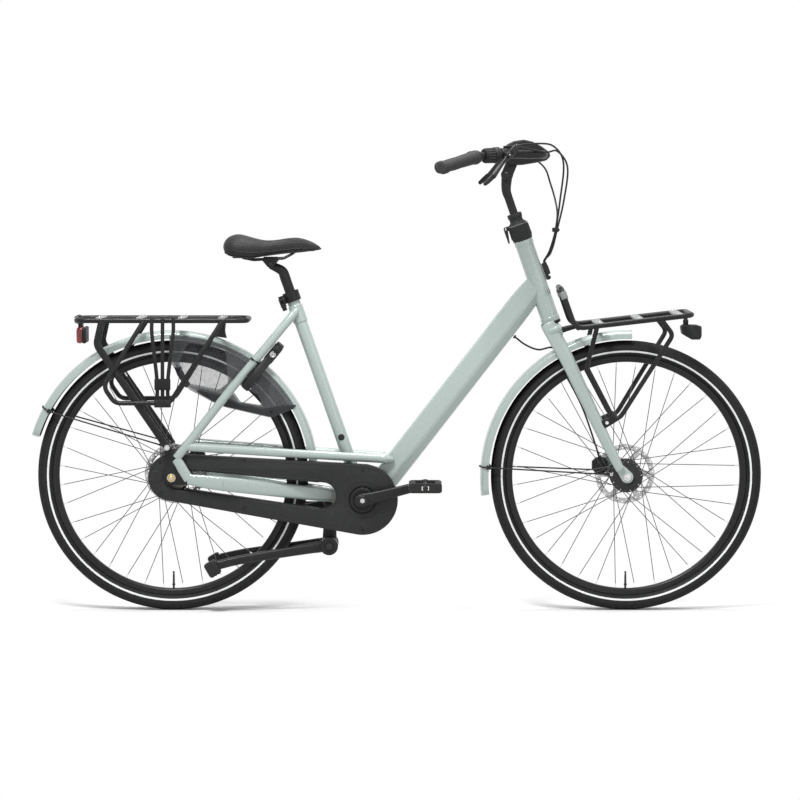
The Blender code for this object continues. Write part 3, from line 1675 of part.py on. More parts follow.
def front_loop(name, side):
    """The loop under one side of the front carrier, down to the fork."""
    line = rounded(
        [
            by_front(690.0, 778.0, side * front_y),
            by_front(722.0, 736.0, side * (front_y - 2.0)),
            by_front(577.0, 500.0, side * 70.0),
            by_front(498.0, 650.0, side * 88.0),
            by_front(524.0, 759.0, side * front_y),
        ],
        0.014,
        2,
    )
    return tube(name, [line], LOOP_RADIUS, detail=1)


for side, label in ((RIGHT, "right"), (LEFT, "left")):
    join(
        front_carrier,
        front_loop(f"front_loop_{label}", side),
        sweep(
            f"loop_foot_{label}",
            [by_front(579.0, 517.0, side * 70.0), by_front(541.0, 496.0, side * 57.0)],
            [(0.0060, 0.0090), (0.0060, 0.0120)],
            count=8,
        ),
    )
slope = math.atan2(35.0, 305.0)
for number, x in enumerate((531.0, 635.0, 738.0)):
    z = 753.0 + (x - 467.0) * math.tan(slope)
    join(
        front_carrier,
        block(
            f"deck_plate_{number}",
            by_front(x, z + 4.0),
            (0.022, 2.0 * FRONT_RAIL_Y + 0.006, 0.006),
            matrix=tilted(slope),
        ),
    )
join(
    front_carrier,
    across("deck_tie", by_front(474.0, 754.0), 0.0062, FRONT_RAIL_Y, steps=8),
    sweep(
        "crown_bracket",
        [by_front(476.0, 754.0), by_front(452.0, 748.0), by_front(412.0, 738.0)],
        [(0.014, 0.006), (0.014, 0.008), (0.014, 0.010)],
        count=8,
        square=0.5,
    ),
    block("lamp_bracket", by_front(764.0, 776.0), (0.010, 0.010, 0.020)),
    across("lamp_pin", by_front(764.0, 767.0), 0.0030, 0.0150, steps=8),
)
carve(
    front_carrier,
    fork_blade("blade_room_right", RIGHT, GAP),
    fork_blade("blade_room_left", LEFT, GAP),
    fork_crown("crown_room", GAP),
)
LAMP_PIN = by_front(764.0, 767.0)
LAMP_OUTLINE = (
    (-14, -14), (-10, -34), (14, -48), (36, -48), (40, -40), (40, -14), (30, -10), (-6, -9),
)
headlight = plate(
    "headlight",
    [
        [
            (LAMP_PIN.x + x * MM, LAMP_PIN.z + z * MM)
            for x, z in LAMP_OUTLINE
        ]
    ],
    -0.030,
    0.030,
    BLACK_PLASTIC,
)
join(
    headlight,
    plate("lamp_ear_right", [circle(LAMP_PIN, 0.0065, 12)], -0.0125, -0.0065),
    plate("lamp_ear_left", [circle(LAMP_PIN, 0.0065, 12)], 0.0065, 0.0125),
    block("ear_root_right", LAMP_PIN + Vector((0.0, -0.0095, -0.0075)), (0.011, 0.006, 0.008)),
    block("ear_root_left", LAMP_PIN + Vector((0.0, 0.0095, -0.0075)), (0.011, 0.006, 0.008)),
)
carve(headlight, across("lamp_bore", LAMP_PIN, 0.0030 + RUN, 0.05, steps=14))
origin_at(headlight, LAMP_PIN)

# Stem

stem_clamp = turned(
    "stem_clamp",
    [
        (0.0170, 0.0750),
        (0.0195, 0.0735),
        (0.0195, 0.0510),
        (0.0265, 0.0440),
        (0.0275, 0.0100),
        (0.0255, SWING),
        (STEERER_RADIUS + GAP, SWING),
        (STEERER_RADIUS + GAP, 0.0455 + GAP),
        (QUILL_RADIUS + GAP, 0.0455 + GAP),
        (QUILL_RADIUS + GAP, 0.0750),
    ],
    HEAD_TOP,
    HEAD_AXIS,
    BLACK_PLASTIC,
    16,
    ring=True,
)
top = HEAD_TUBE_LENGTH
LEVER_PIN = on_head(top + 0.0420, 0.0, -0.0345)
HEAD_SIDE = SIDE.cross(HEAD_AXIS)
head_turn = Matrix((HEAD_SIDE, SIDE, HEAD_AXIS)).transposed().to_4x4()
join(
    stem_clamp,
    block(
        "lever_ear", on_head(top + 0.0420, 0.0, -0.0285), (0.020, 0.010, 0.012), matrix=head_turn
    ),
    across("lever_pin", LEVER_PIN, 0.0026, 0.0100, steps=10),
)
lever_axes = Matrix.Translation(LEVER_PIN) @ Matrix(
    (HEAD_SIDE, HEAD_AXIS, HEAD_SIDE.cross(HEAD_AXIS))
).transposed().to_4x4()
stem_lever = plate(
    "stem_lever",
    [hull(circle((0.0, 0.0), 0.0052, 10), [(-0.0050, -0.0380), (-0.0015, -0.0380)])],
    -0.0090,
    0.0090,
    BLACK_PLASTIC,
    matrix=lever_axes,
)
carve(
    stem_lever,
    across("stem_lever_bore", LEVER_PIN, 0.0026 + RUN, 0.05, steps=14),
    plate(
        "stem_lever_slot",
        [[(-0.02, -0.0085), (0.02, -0.0085), (0.02, 0.02), (-0.02, 0.02)]],
        -0.0055,
        0.0055,
        matrix=lever_axes,
    ),
)
origin_at(stem_lever, LEVER_PIN)

STEM_PIVOT = by_head(291.0, 1153.0)
stem_quill = rod(
    "stem_quill", on_head(0.075), on_head(top + 0.1450), QUILL_RADIUS, BLACK_PAINT, 16
)
join(
    stem_quill,
    sweep(
        "quill_neck",
        [on_head(top + 0.120), on_head(top + 0.150, 0.0, 0.004), STEM_PIVOT],
        [(0.0108, 0.0108), (0.0108, 0.0125), (0.0095, 0.0150)],
    ),
    across("quill_eye", STEM_PIVOT, 0.0160, 0.0110, steps=16),
)
carve(stem_quill, across("quill_eye_bore", STEM_PIVOT, 0.0040 + RUN, 0.05, steps=16))

BAR_CENTRE = by_head(385.0, 1205.0)
cover = [
    (284, 1190), (281, 1212), (288, 1231), (308, 1241), (334, 1245), (355, 1238),
    (379, 1225), (401, 1214), (405, 1200), (396, 1186), (372, 1180), (330, 1178), (298, 1177),
]
cover_outline = []
for x, z in cover:
    place = by_head(x, z)
    cover_outline.append((place.x, place.z))
stem_head = plate("stem_head", [cover_outline], -0.0230, 0.0230, BLACK_PAINT)
for side, label in ((RIGHT, "right"), (LEFT, "left")):
    join(
        stem_head,
        plate(
            f"head_cheek_{label}",
            [
                hull(
                    circle(STEM_PIVOT, 0.0150, 14),
                    [tuple(by_head(x, z).xz) for x, z in ((290, 1190), (322, 1190))],
                )
            ],
            side * 0.0114,
            side * 0.0170,
        ),
    )
join(stem_head, across("head_bolt", STEM_PIVOT, 0.0040, 0.0200, steps=10))
carve(stem_head, across("bar_bore", BAR_CENTRE, BAR_RADIUS + GAP, 0.05, steps=16))

# Handlebar with its grips, shifter and brake levers


def bar_corners(side):
    """Corners of one half of the handlebar, from the grip end to the middle."""
    return [
        by_head(116.0, 1171.0, side * 310.0),
        by_head(213.0, 1201.0, side * 195.0),
        by_head(300.0, 1206.0, side * 140.0),
        by_head(385.0, 1205.0, side * 84.0),
    ]


corners = bar_corners(RIGHT)
line = rounded([*corners, *bar_corners(LEFT)[::-1]], 0.050, 2)
handlebar = tube("handlebar", [line], BAR_RADIUS, BLACK_PAINT, detail=2)
GRIP_START, INNER_CORNER = corners[0], corners[1]
GRIP_WAY = (INNER_CORNER - GRIP_START).normalized()
grip_length = (INNER_CORNER - GRIP_START).length - 0.014
grip_right = turned(
    "grip_right",
    [
        (0.0, -0.0040),
        (GRIP_RADIUS - 0.0040, -0.0040),
        (GRIP_RADIUS, 0.0),
        (GRIP_RADIUS, 0.020),
        (GRIP_RADIUS - 0.0015, 0.060),
        (GRIP_RADIUS, grip_length - 0.010),
        (GRIP_RADIUS + 0.0015, grip_length),
        (BAR_RADIUS + GAP, grip_length),
        (BAR_RADIUS + GAP, -GAP),
        (0.0, -GAP),
    ][::-1],
    GRIP_START,
    GRIP_WAY,
    GRIP_RUBBER,
    14,
)
mirrored("grip_left", grip_right, GRIP_RUBBER)

SHIFT_WAY = (corners[2] - INNER_CORNER).normalized()
shift_start = INNER_CORNER + SHIFT_WAY * 0.014
twist_shifter = turned(
    "twist_shifter",
    [
        (0.0190, 0.0480),
        (0.0210, 0.0440),
        (0.0185, 0.0260),
        (0.0185, 0.0040),
        (0.0170, 0.0000),
        (BAR_RADIUS + GAP, 0.0000),
        (BAR_RADIUS + GAP, 0.0480),
    ],
    shift_start,
    SHIFT_WAY,
    GRIP_RUBBER,
    14,
    ring=True,
)
origin_at(twist_shifter, shift_start)

MOUNT_PLACE = INNER_CORNER + SHIFT_WAY * 0.0745
LEVER_OUT = SHIFT_WAY.cross(UP).normalized()
if LEVER_OUT.x < 0.0:
    LEVER_OUT = -LEVER_OUT
BRAKE_PIVOT = MOUNT_PLACE + LEVER_OUT * 0.0300 - UP * 0.004 - SHIFT_WAY * 0.004
LEVER_TIP = by_head(226.0, 1130.0, -268.0)
lever_way = (LEVER_TIP - BRAKE_PIVOT).normalized()
BRAKE_AXIS = lever_way.cross(SHIFT_WAY).normalized()
if BRAKE_AXIS.z < 0.0:
    BRAKE_AXIS = -BRAKE_AXIS
brake_mount = rod(
    "brake_mount_right",
    MOUNT_PLACE - SHIFT_WAY * 0.0110,
    MOUNT_PLACE + SHIFT_WAY * 0.0110,
    0.0175,
    BLACK_PAINT,
    10,
)
mount_turn = Matrix(
    (BRAKE_AXIS.cross(lever_way), lever_way, BRAKE_AXIS)
).transposed().to_4x4()
join(
    brake_mount,
    rod(
        "mount_cylinder",
        BRAKE_PIVOT - lever_way * 0.042,
        BRAKE_PIVOT + lever_way * 0.004,
        0.0090,
        steps=8,
    ),
    sweep(
        "mount_neck",
        [MOUNT_PLACE + LEVER_OUT * 0.008, BRAKE_PIVOT - lever_way * 0.012],
        [(0.0090, 0.0090), (0.0085, 0.0085)],
        count=8,
    ),
)
lever_room = 0.0046
carve(
    brake_mount,
    rod(
        "mount_bore",
        MOUNT_PLACE - SHIFT_WAY * 0.03,
        MOUNT_PLACE + SHIFT_WAY * 0.03,
        BAR_RADIUS + GAP,
        steps=14,
    ),
)
carve(
    brake_mount,
    rod(
        "eye_room",
        BRAKE_PIVOT - BRAKE_AXIS * lever_room,
        BRAKE_PIVOT + BRAKE_AXIS * lever_room,
        0.0085,
        steps=10,
    ),
)
join(
    brake_mount,
    rod(
        "brake_pin",
        BRAKE_PIVOT - BRAKE_AXIS * 0.0080,
        BRAKE_PIVOT + BRAKE_AXIS * 0.0080,
        0.0024,
        steps=8,
    ),
)
brake_lever = sweep(
    "brake_lever_right",
    [
        BRAKE_PIVOT,
        BRAKE_PIVOT + lever_way * 0.030,
        BRAKE_PIVOT + lever_way * 0.090 + LEVER_OUT * 0.010,
        LEVER_TIP - lever_way * 0.020 + LEVER_OUT * 0.004,
        LEVER_TIP,
    ],
    [(0.0040, 0.0050), (0.0040, 0.0050), (0.0045, 0.0060), (0.0045, 0.0065), (0.0030, 0.0040)],
    BLACK_PAINT,
    count=6,
    side=BRAKE_AXIS,
)
join(
    brake_lever,
    rod(
        "lever_eye",
        BRAKE_PIVOT - BRAKE_AXIS * (lever_room - GAP),
        BRAKE_PIVOT + BRAKE_AXIS * (lever_room - GAP),
        0.0070,
        steps=12,
    ),
)
carve(
    brake_lever,
    rod(
        "lever_eye_bore",
        BRAKE_PIVOT - BRAKE_AXIS * 0.02,
        BRAKE_PIVOT + BRAKE_AXIS * 0.02,
        0.0024 + RUN,
        steps=14,
    ),
)
origin_at(brake_lever, BRAKE_PIVOT)
mirrored("brake_mount_left", brake_mount, BLACK_PAINT)
brake_lever_left = mirrored("brake_lever_left", brake_lever, BLACK_PAINT)
origin_at(brake_lever_left, Vector((BRAKE_PIVOT.x, -BRAKE_PIVOT.y, BRAKE_PIVOT.z)))

# Saddle

SADDLE_PIVOT = by_mouth(-332.0, 919.0)
POST_TOP = SEAT_TUBE_LENGTH + POST_REACH
seatpost = rod(
    "seatpost", on_seat(SEAT_TUBE_LENGTH - POST_INSERT), on_seat(POST_TOP), POST_RADIUS, BLACK_PAINT, 16
)
join(
    seatpost,
    sweep(
        "post_head",
        [
            on_seat(POST_TOP - 0.030),
            on_seat(POST_TOP + 0.002),
            on_seat(POST_TOP + 0.015, 0.0, -0.010),
            SADDLE_PIVOT,
        ],
        [(0.0130, 0.0130), (0.0125, 0.0130), (0.0115, 0.0120), (0.0110, 0.0100)],
    ),
    across("post_eye", SADDLE_PIVOT, 0.0110, 0.0120, steps=14),
)
carve(seatpost, across("post_eye_bore", SADDLE_PIVOT, 0.0040 + RUN, 0.05, steps=16))


def rail_line():
    """Line of the two saddle rails, which are one wire."""
    near = [
        by_mouth(-420.0, 945.0, -36.0),
        by_mouth(-402.0, 934.0, -28.0),
        by_mouth(-376.0, 929.0, -23.5),
        by_mouth(-297.0, 933.0, -23.0),
        by_mouth(-276.0, 944.0, -17.0),
        by_mouth(-262.0, 954.0, -7.0),
    ]
    far = [Vector((p.x, -p.y, p.z)) for p in reversed(near)]
    return near + far


saddle_rails = tube("saddle_rails", [rail_line()], RAIL_WIRE, DARK_STEEL, detail=1)
rail_room = tube("rail_room", [rail_line()], RAIL_WIRE + 0.0004, detail=1)
CHEEK_CORNERS = ((-352, 926), (-350, 936.5), (-314, 936.5), (-312, 926))
saddle_clamp = across("saddle_clamp", SADDLE_PIVOT, 0.0040, 0.0300, BLACK_PAINT, 10)
for side, label in ((RIGHT, "right"), (LEFT, "left")):
    join(
        saddle_clamp,
        plate(
            f"clamp_cheek_{label}",
            [
                hull(
                    circle(SADDLE_PIVOT, 0.0110, 12),
                    [tuple(by_mouth(x, z).xz) for x, z in CHEEK_CORNERS],
                )
            ],
            side * 0.0124,
            side * 0.0285,
        ),
    )
carve(saddle_clamp, rail_room)

SADDLE_STATIONS = (
    # x, top, bottom and half width, drawn in mm
    (-463.0, 968.0, 955.0, 34.0),
    (-456.0, 983.0, 946.0, 60.0),
    (-438.0, 996.0, 938.0, 78.0),
    (-412.0, 996.0, 934.0, 83.0),
    (-380.0, 987.0, 932.5, 77.0),
    (-348.0, 980.0, 937.0, 58.0),
    (-316.0, 981.0, 941.0, 38.0),
    (-284.0, 986.0, 944.5, 27.0),
    (-250.0, 987.0, 947.0, 22.0),
    (-220.0, 979.0, 951.0, 18.0),
    (-203.0, 969.0, 954.0, 13.0),
    (-196.5, 963.0, 957.0, 7.0),
)
SADDLE_SECTION = (
    # share of the half width and of the height, from the crown to the underside
    (0.0, 1.0),
    (0.40, 0.985),
    (0.74, 0.87),
    (0.95, 0.60),
    (1.0, 0.28),
    (0.91, 0.0),
    (0.45, 0.10),
    (0.0, 0.12),
)


def saddle_ring(x, high, low, half):
    """One section of the cushion."""
    ring = []
    for u, v in SADDLE_SECTION:
        ring.append(by_mouth(x, low + (high - low) * v, -half * u))
    for u, v in SADDLE_SECTION[-2:0:-1]:
        ring.append(by_mouth(x, low + (high - low) * v, half * u))
    return ring


saddle = loft("saddle", [saddle_ring(*row) for row in SADDLE_STATIONS], SADDLE_COVER)
carve(saddle, rail_room)

# Cables

cable_entry = block(
    "cable_entry",
    on_head(0.130, 0.0, 0.0340),
    (0.0160, 0.0200, 0.0480),
    BLACK_PLASTIC,
    matrix=head_turn,
    bevel=0.004,
)
carve(
    cable_entry,
    rod("entry_seat", on_head(0.05), on_head(0.22), HEAD_TUBE_RADIUS + GAP, steps=18),
)
CLIP = by_head(419.0, 1008.0, -6.0)
gear_line = smoothed(
    [
        MOUNT_PLACE + UP * 0.0200 + SHIFT_WAY * 0.006,
        by_head(366.0, 1234.0, -98.0),
        by_head(412.0, 1226.0, -62.0),
        by_head(438.0, 1182.0, -34.0),
        by_head(430.0, 1084.0, -14.0),
        CLIP + SIDE * -0.0030,
        by_head(404.0, 955.0, -9.0),
        on_head(0.1585, -0.0060, 0.0360),
    ],
    2,
)
rear_line = smoothed(
    [
        BRAKE_PIVOT - lever_way * 0.0455,
        by_head(386.0, 1212.0, -92.0),
        by_head(420.0, 1214.0, -70.0),
        by_head(448.0, 1172.0, -44.0),
        by_head(440.0, 1086.0, -22.0),
        CLIP + Vector((0.004, -0.0030, 0.0)),
        by_head(410.0, 957.0, -7.0),
        on_head(0.1585, -0.0010, 0.0385),
    ],
    2,
)
left_end = BRAKE_PIVOT - lever_way * 0.0455
front_line = smoothed(
    [
        Vector((left_end.x, -left_end.y, left_end.z)),
        by_head(386.0, 1180.0, 96.0),
        by_head(408.0, 1130.0, 60.0),
        by_head(424.0, 1060.0, 18.0),
        CLIP + SIDE * 0.0040,
        by_head(408.0, 950.0, 3.0),
        on_head(0.1585, 0.0050, 0.0360),
    ],
    2,
)
rear_cables = block("rear_cables", CLIP, (0.018, 0.020, 0.012), BLACK_PLASTIC, bevel=0.002)
join(
    rear_cables,
    tube("gear_cable", [gear_line], HOSE_RADIUS, detail=0),
    tube("rear_hose", [rear_line], HOSE_RADIUS, detail=0),
    tube("front_hose", [front_line], HOSE_RADIUS, detail=0),
)
hose_line = smoothed(
    [
        on_down(0.1499, -0.0417, 0.012),
        on_down(0.1493, -0.0767, 0.020),
        on_down(0.1388, -0.1116, 0.026),
        by_front(418.0, 693.0, 31.0),
        by_front(440.0, 640.0, 33.0),
        by_front(492.0, 540.0, 38.0),
        by_front(528.0, 440.0, 41.0),
        by_front(539.0, 402.8, 41.0),
    ],
    3,
)
front_brake_hose = tube("front_brake_hose", [hose_line], HOSE_RADIUS, BLACK_PLASTIC, detail=0)

# Pieces that move together hang from an empty on the axis of their joint.


def body(name, place, parent, pieces):
    """An empty at place that carries these pieces, and that its parent empty carries."""
    made = bpy.data.objects.new(name, None)
    made.empty_display_size = 0.04
    PARTS.objects.link(made)
    made.location = place if parent is None else place - parent.matrix_world.translation
    made.parent = parent
    bpy.context.view_layer.update()
    away = Matrix.Translation(-made.matrix_world.translation)
    for piece in pieces:
        obj = bpy.data.objects[piece]
        obj.parent = made
        obj.matrix_parent_inverse = away
    return made


frame_body = body(
    "axis_frame",
    Vector((0.0, 0.0, 0.0)),
    None,
    [
        "main_frame",
        "headset_ring",
        "cable_entry",
        "chaincase_outer",
        "chaincase_inner",
        "chain",
        "rear_mudguard",
        "rear_mudguard_stays",
        "rear_carrier",
        "carrier_straps",
        "tail_light",
        "coat_guard_right",
        "coat_guard_left",
        "ring_lock",
        "seat_clamp",
        "stand_bracket",
        "rear_caliper",
        "rear_axle",
        "ring_lock_bolt",
        "seat_clamp_lever",
        "kickstand",
    ],
)
body("axis_sprocket", REAR_AXLE, frame_body, ["rear_sprocket"])
body(
    "axis_rear_wheel",
    REAR_AXLE,
    frame_body,
    ["rear_hub", "rear_rim", "rear_tyre", "rear_rotor"],
)
crank_body = body(
    "axis_crank", CRANK_AXLE, frame_body, ["crank_spindle", "crank_right", "crank_left"]
)
for side, way, label in ((RIGHT, ARM_WAY, "right"), (LEFT, -ARM_WAY, "left")):
    pedal_place = CRANK_AXLE + way * CRANK_LENGTH + SIDE * side * PEDAL_Y
    body(f"axis_pedal_{label}", pedal_place, crank_body, [f"pedal_{label}"])
post_body = body("axis_seatpost", on_seat(SEAT_TUBE_LENGTH), frame_body, ["seatpost"])
body("axis_saddle", SADDLE_PIVOT, post_body, ["saddle_clamp", "saddle_rails", "saddle"])
steer_body = body(
    "axis_steering",
    HEAD_FOOT,
    frame_body,
    [
        "fork",
        "front_axle",
        "front_mudguard",
        "front_mudguard_stays",
        "front_carrier",
        "front_caliper",
        "stem_clamp",
        "rear_cables",
        "front_brake_hose",
        "headlight",
        "stem_lever",
    ],
)
body(
    "axis_front_wheel",
    FRONT_AXLE,
    steer_body,
    ["front_hub", "front_rim", "front_tyre", "front_rotor"],
)
quill_body = body("axis_stem", HEAD_TOP, steer_body, ["stem_quill"])
body(
    "axis_handlebar",
    STEM_PIVOT,
    quill_body,
    [
        "stem_head",
        "handlebar",
        "grip_right",
        "grip_left",
        "brake_mount_right",
        "brake_mount_left",
        "brake_lever_right",
        "brake_lever_left",
        "twist_shifter",
    ],
)
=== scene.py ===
"""Looks of a city bicycle on its fixed frame of solids.

Lengths are in metres, +X is forward, -Y is the side of the chain and +Z is up. Places
written with mm() are read off the side view, in millimetres as x, z and y. Every surface
is worked out on a grid of two parameters with numpy, and every finish is made of nodes.
"""

from __future__ import annotations

import logging
import math
from dataclasses import dataclass, field
from enum import Enum
from typing import Any, Callable, Iterable, Sequence

import bmesh
import bpy
import numpy as np
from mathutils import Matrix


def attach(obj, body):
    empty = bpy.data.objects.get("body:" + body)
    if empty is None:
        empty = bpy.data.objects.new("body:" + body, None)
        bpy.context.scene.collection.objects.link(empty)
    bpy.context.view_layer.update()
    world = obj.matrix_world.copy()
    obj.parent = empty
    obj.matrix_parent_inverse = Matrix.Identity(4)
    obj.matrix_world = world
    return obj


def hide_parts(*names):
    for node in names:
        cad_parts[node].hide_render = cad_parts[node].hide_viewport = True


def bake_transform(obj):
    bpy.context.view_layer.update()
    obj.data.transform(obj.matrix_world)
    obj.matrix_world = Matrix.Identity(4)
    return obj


log = logging.getLogger("city_bicycle")
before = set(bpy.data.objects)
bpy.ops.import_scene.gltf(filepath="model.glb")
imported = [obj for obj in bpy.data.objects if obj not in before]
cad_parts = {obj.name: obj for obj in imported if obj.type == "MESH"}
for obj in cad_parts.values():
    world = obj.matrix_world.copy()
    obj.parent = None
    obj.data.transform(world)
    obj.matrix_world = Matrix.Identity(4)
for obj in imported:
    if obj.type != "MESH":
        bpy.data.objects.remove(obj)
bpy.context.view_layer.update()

Array = np.ndarray
TAU = 2.0 * math.pi
AHEAD = np.array((1.0, 0.0, 0.0))
ASIDE = np.array((0.0, 1.0, 0.0))
UP = np.array((0.0, 0.0, 1.0))
RIGHT, LEFT = -1.0, 1.0
SIDES = ((RIGHT, "right"), (LEFT, "left"))
PHOTO_SIZE = 800.0


def mm(x: float, z: float, y: float = 0.0) -> Array:
    """A place drawn in the side view in millimetres, in metres."""
    return np.array((x, y, z)) * 0.001


REAR_AXLE = mm(-592.0, 358.0)
FRONT_AXLE = mm(608.0, 358.0)
CRANK_AXLE = mm(-89.4, 299.0)
HEAD_FOOT = mm(408.0, 766.0)
GUARD_MOUNT = mm(405.0, 752.0)
DOWN_TUBE_FOOT = mm(-66.0, 301.0)
HEAD_AXIS = np.array((-0.32672, 0.0, 0.94512))
HEAD_AHEAD = np.array((0.94512, 0.0, 0.32672))
HEAD_LENGTH = 0.2264
TUBE_JOINT = 0.108  # along the head tube, where the down tube's middle line meets it
SEAT_AXIS = np.array((-0.33123, 0.0, 0.94355))
SEAT_AHEAD = np.array((0.94355, 0.0, 0.33123))
CRANK_TILT = math.radians(14.5)
REAR_FLARE = 0.374 / math.cos(math.radians(16.2)) - 0.385
ACROSS = np.array((1.0, -1.0, 1.0))
CORE = 0.0002  # radius at which a closed profile starts and ends, beside its axis
MERGE = 2e-5  # points of a solid this close are one
COPLANAR, SHARP, CREASE = math.radians(2.0), math.radians(32.0), 38.0
LARGE_PATCHES, SMALL_PATCHES = 6.0, 90.0  # to the metre
DUST_TOP, DUST_FULL = 0.55, 0.05  # heights between which road dust settles


def on_head(height: float, aside: float = 0.0, ahead: float = 0.0) -> Array:
    """A place along the head tube, moved aside and square ahead of it."""
    return HEAD_FOOT + HEAD_AXIS * height + ASIDE * aside + HEAD_AHEAD * ahead


def on_seat(height: float, aside: float = 0.0, ahead: float = 0.0) -> Array:
    """A place along the seat tube, moved aside and square ahead of it."""
    return CRANK_AXLE + SEAT_AXIS * height + ASIDE * aside + SEAT_AHEAD * ahead


def tilted(angle: float) -> tuple[Array, Array]:
    """Ahead and up, turned up by this angle in the side view."""
    c, s = math.cos(angle), math.sin(angle)
    return np.array((c, 0.0, s)), np.array((-s, 0.0, c))


def unit(v: Array) -> Array:
    """The vector, or each row of vectors, at length one."""
    return v / np.linalg.norm(v, axis=-1, keepdims=True)


ARM_WAY = tilted(CRANK_TILT)[0]


# Lines and sections


def spline(points: Sequence[Sequence[float]], per: int = 8) -> Array:
    """A smooth row of points through the given ones.

    Each span is a cubic whose slope at a point is half the step between its neighbours.
    Every column is treated alike, so sizes may stand beside the places.

    Args:
        points: rows to pass through, of any width.
        per: steps in each span.

    Returns:
        Rows of the smooth line.
    """
    p = np.asarray(points, float)
    p = np.vstack([2 * p[0] - p[1], p, 2 * p[-1] - p[-2]])
    t = np.linspace(0.0, 1.0, per, endpoint=False)[None, :, None]
    a, b, c, d = (p[i : len(p) - 3 + i][:, None, :] for i in range(4))
    rows = b + 0.5 * t * (c - a + t * (2 * a - 5 * b + 4 * c - d + t * (3 * (b - c) + d - a)))
    return np.vstack([rows.reshape(-1, p.shape[1]), p[-2]])


def bent(points: Sequence[Sequence[float]], radius: float, steps: int = 8, closed: bool = False) -> Array:
    """Straight runs with a rounded bend at each corner.

    A bend is a quadratic curve that leaves and joins the runs at the same distance from
    its corner, at most 0.48 of the shorter run.

    Args:
        points: corners of the line, in the plane or in space.
        radius: radius of the bends.
        steps: steps in each bend.
        closed: whether the line returns to its start.

    Returns:
        Rows of the line.
    """
    p = np.asarray(points, float)
    if closed:
        before, corner, after = np.roll(p, 1, 0), p, np.roll(p, -1, 0)
    else:
        before, corner, after = p[:-2], p[1:-1], p[2:]
    back, on = before - corner, after - corner
    far_back = np.linalg.norm(back, axis=1, keepdims=True)
    far_on = np.linalg.norm(on, axis=1, keepdims=True)
    back, on = back / far_back, on / far_on
    half = np.arccos(np.clip((back * on).sum(1, keepdims=True), -1.0, 1.0)) / 2.0
    reach = np.minimum(radius / np.tan(np.maximum(half, 1e-4)), 0.48 * np.minimum(far_back, far_on))
    t = np.linspace(0.0, 1.0, steps + 1)[None, :, None]
    first, last = corner + back * reach, corner + on * reach
    turn = first[:, None] * (1 - t) ** 2 + corner[:, None] * 2 * t * (1 - t) + last[:, None] * t**2
    rows = turn.reshape(-1, p.shape[1])
    return rows if closed else np.vstack([p[0], rows, p[-1]])


def ring(count: int = 20, power: float = 1.0) -> Array:
    """A closed round section of half size one. A power under one fills out its corners."""
    t = TAU * (np.arange(count) + 0.5) / count
    c, s = np.cos(t), np.sin(t)
    return np.stack([np.sign(c) * np.abs(c) ** power, np.sign(s) * np.abs(s) ** power], 1)


def disc(centre: Sequence[float], radius: float, count: int = 48, start: float = 0.0) -> Array:
    """Outline of a circle in the side view, as x and z."""
    t = TAU * np.arange(count) / count + start
    return np.stack([centre[0] + radius * np.cos(t), centre[-1] + radius * np.sin(t)], 1)


def wrap(*groups: Array) -> Array:
    """The tightest outline round flat groups of points, found from the support in each way."""
    p = np.vstack(groups)
    t = np.linspace(0.0, TAU, 720, endpoint=False)
    best = np.argmax(p @ np.stack([np.cos(t), np.sin(t)]), axis=0)
    keep = [int(best[0])]
    for k in best[1:]:
        if int(k) != keep[-1] and int(k) != keep[0]:
            keep.append(int(k))
    return p[keep]


def eased(low: float, high: float, x: Array) -> Array:
    """A smooth step from 0 at low to 1 at high."""
    t = np.clip((x - low) / (high - low), 0.0, 1.0)
    return t * t * (3 - 2 * t)


# Shader nodes


class Link:
    """A socket whose arithmetic adds Math nodes."""

    def __init__(self, graph: "Graph", socket: Any) -> None:
        """Keeps the socket and the graph that it is in."""
        self.graph = graph
        self.socket = socket

    def maths(self, kind: str, *others: Any) -> "Link":
        """A Math node on this value and others."""
        return self.graph.node("ShaderNodeMath", {"operation": kind}, dict(enumerate((self, *others)))).out()

    def __add__(self, other: Any) -> "Link":
        """This value plus the other."""
        return self.maths("ADD", other)

    __radd__ = __add__

    def __sub__(self, other: Any) -> "Link":
        """This value less the other."""
        return self.maths("SUBTRACT", other)

    def __mul__(self, other: Any) -> "Link":
        """This value times the other."""
        return self.maths("MULTIPLY", other)

    __rmul__ = __mul__

    def __pow__(self, other: Any) -> "Link":
        """This value to a power."""
        return self.maths("POWER", other)

    def sine(self) -> "Link":
        """The sine of this value."""
        return self.maths("SINE")

    def size(self) -> "Link":
        """This value without its sign."""
        return self.maths("ABSOLUTE")


class Made:
    """A node with its output sockets."""

    def __init__(self, graph: "Graph", node: Any) -> None:
        """Keeps the node and the graph that it is in."""
        self.graph = graph
        self.node = node

    def out(self, name: Any = 0) -> Link:
        """The output of this name or number."""
        return Link(self.graph, self.node.outputs[name])


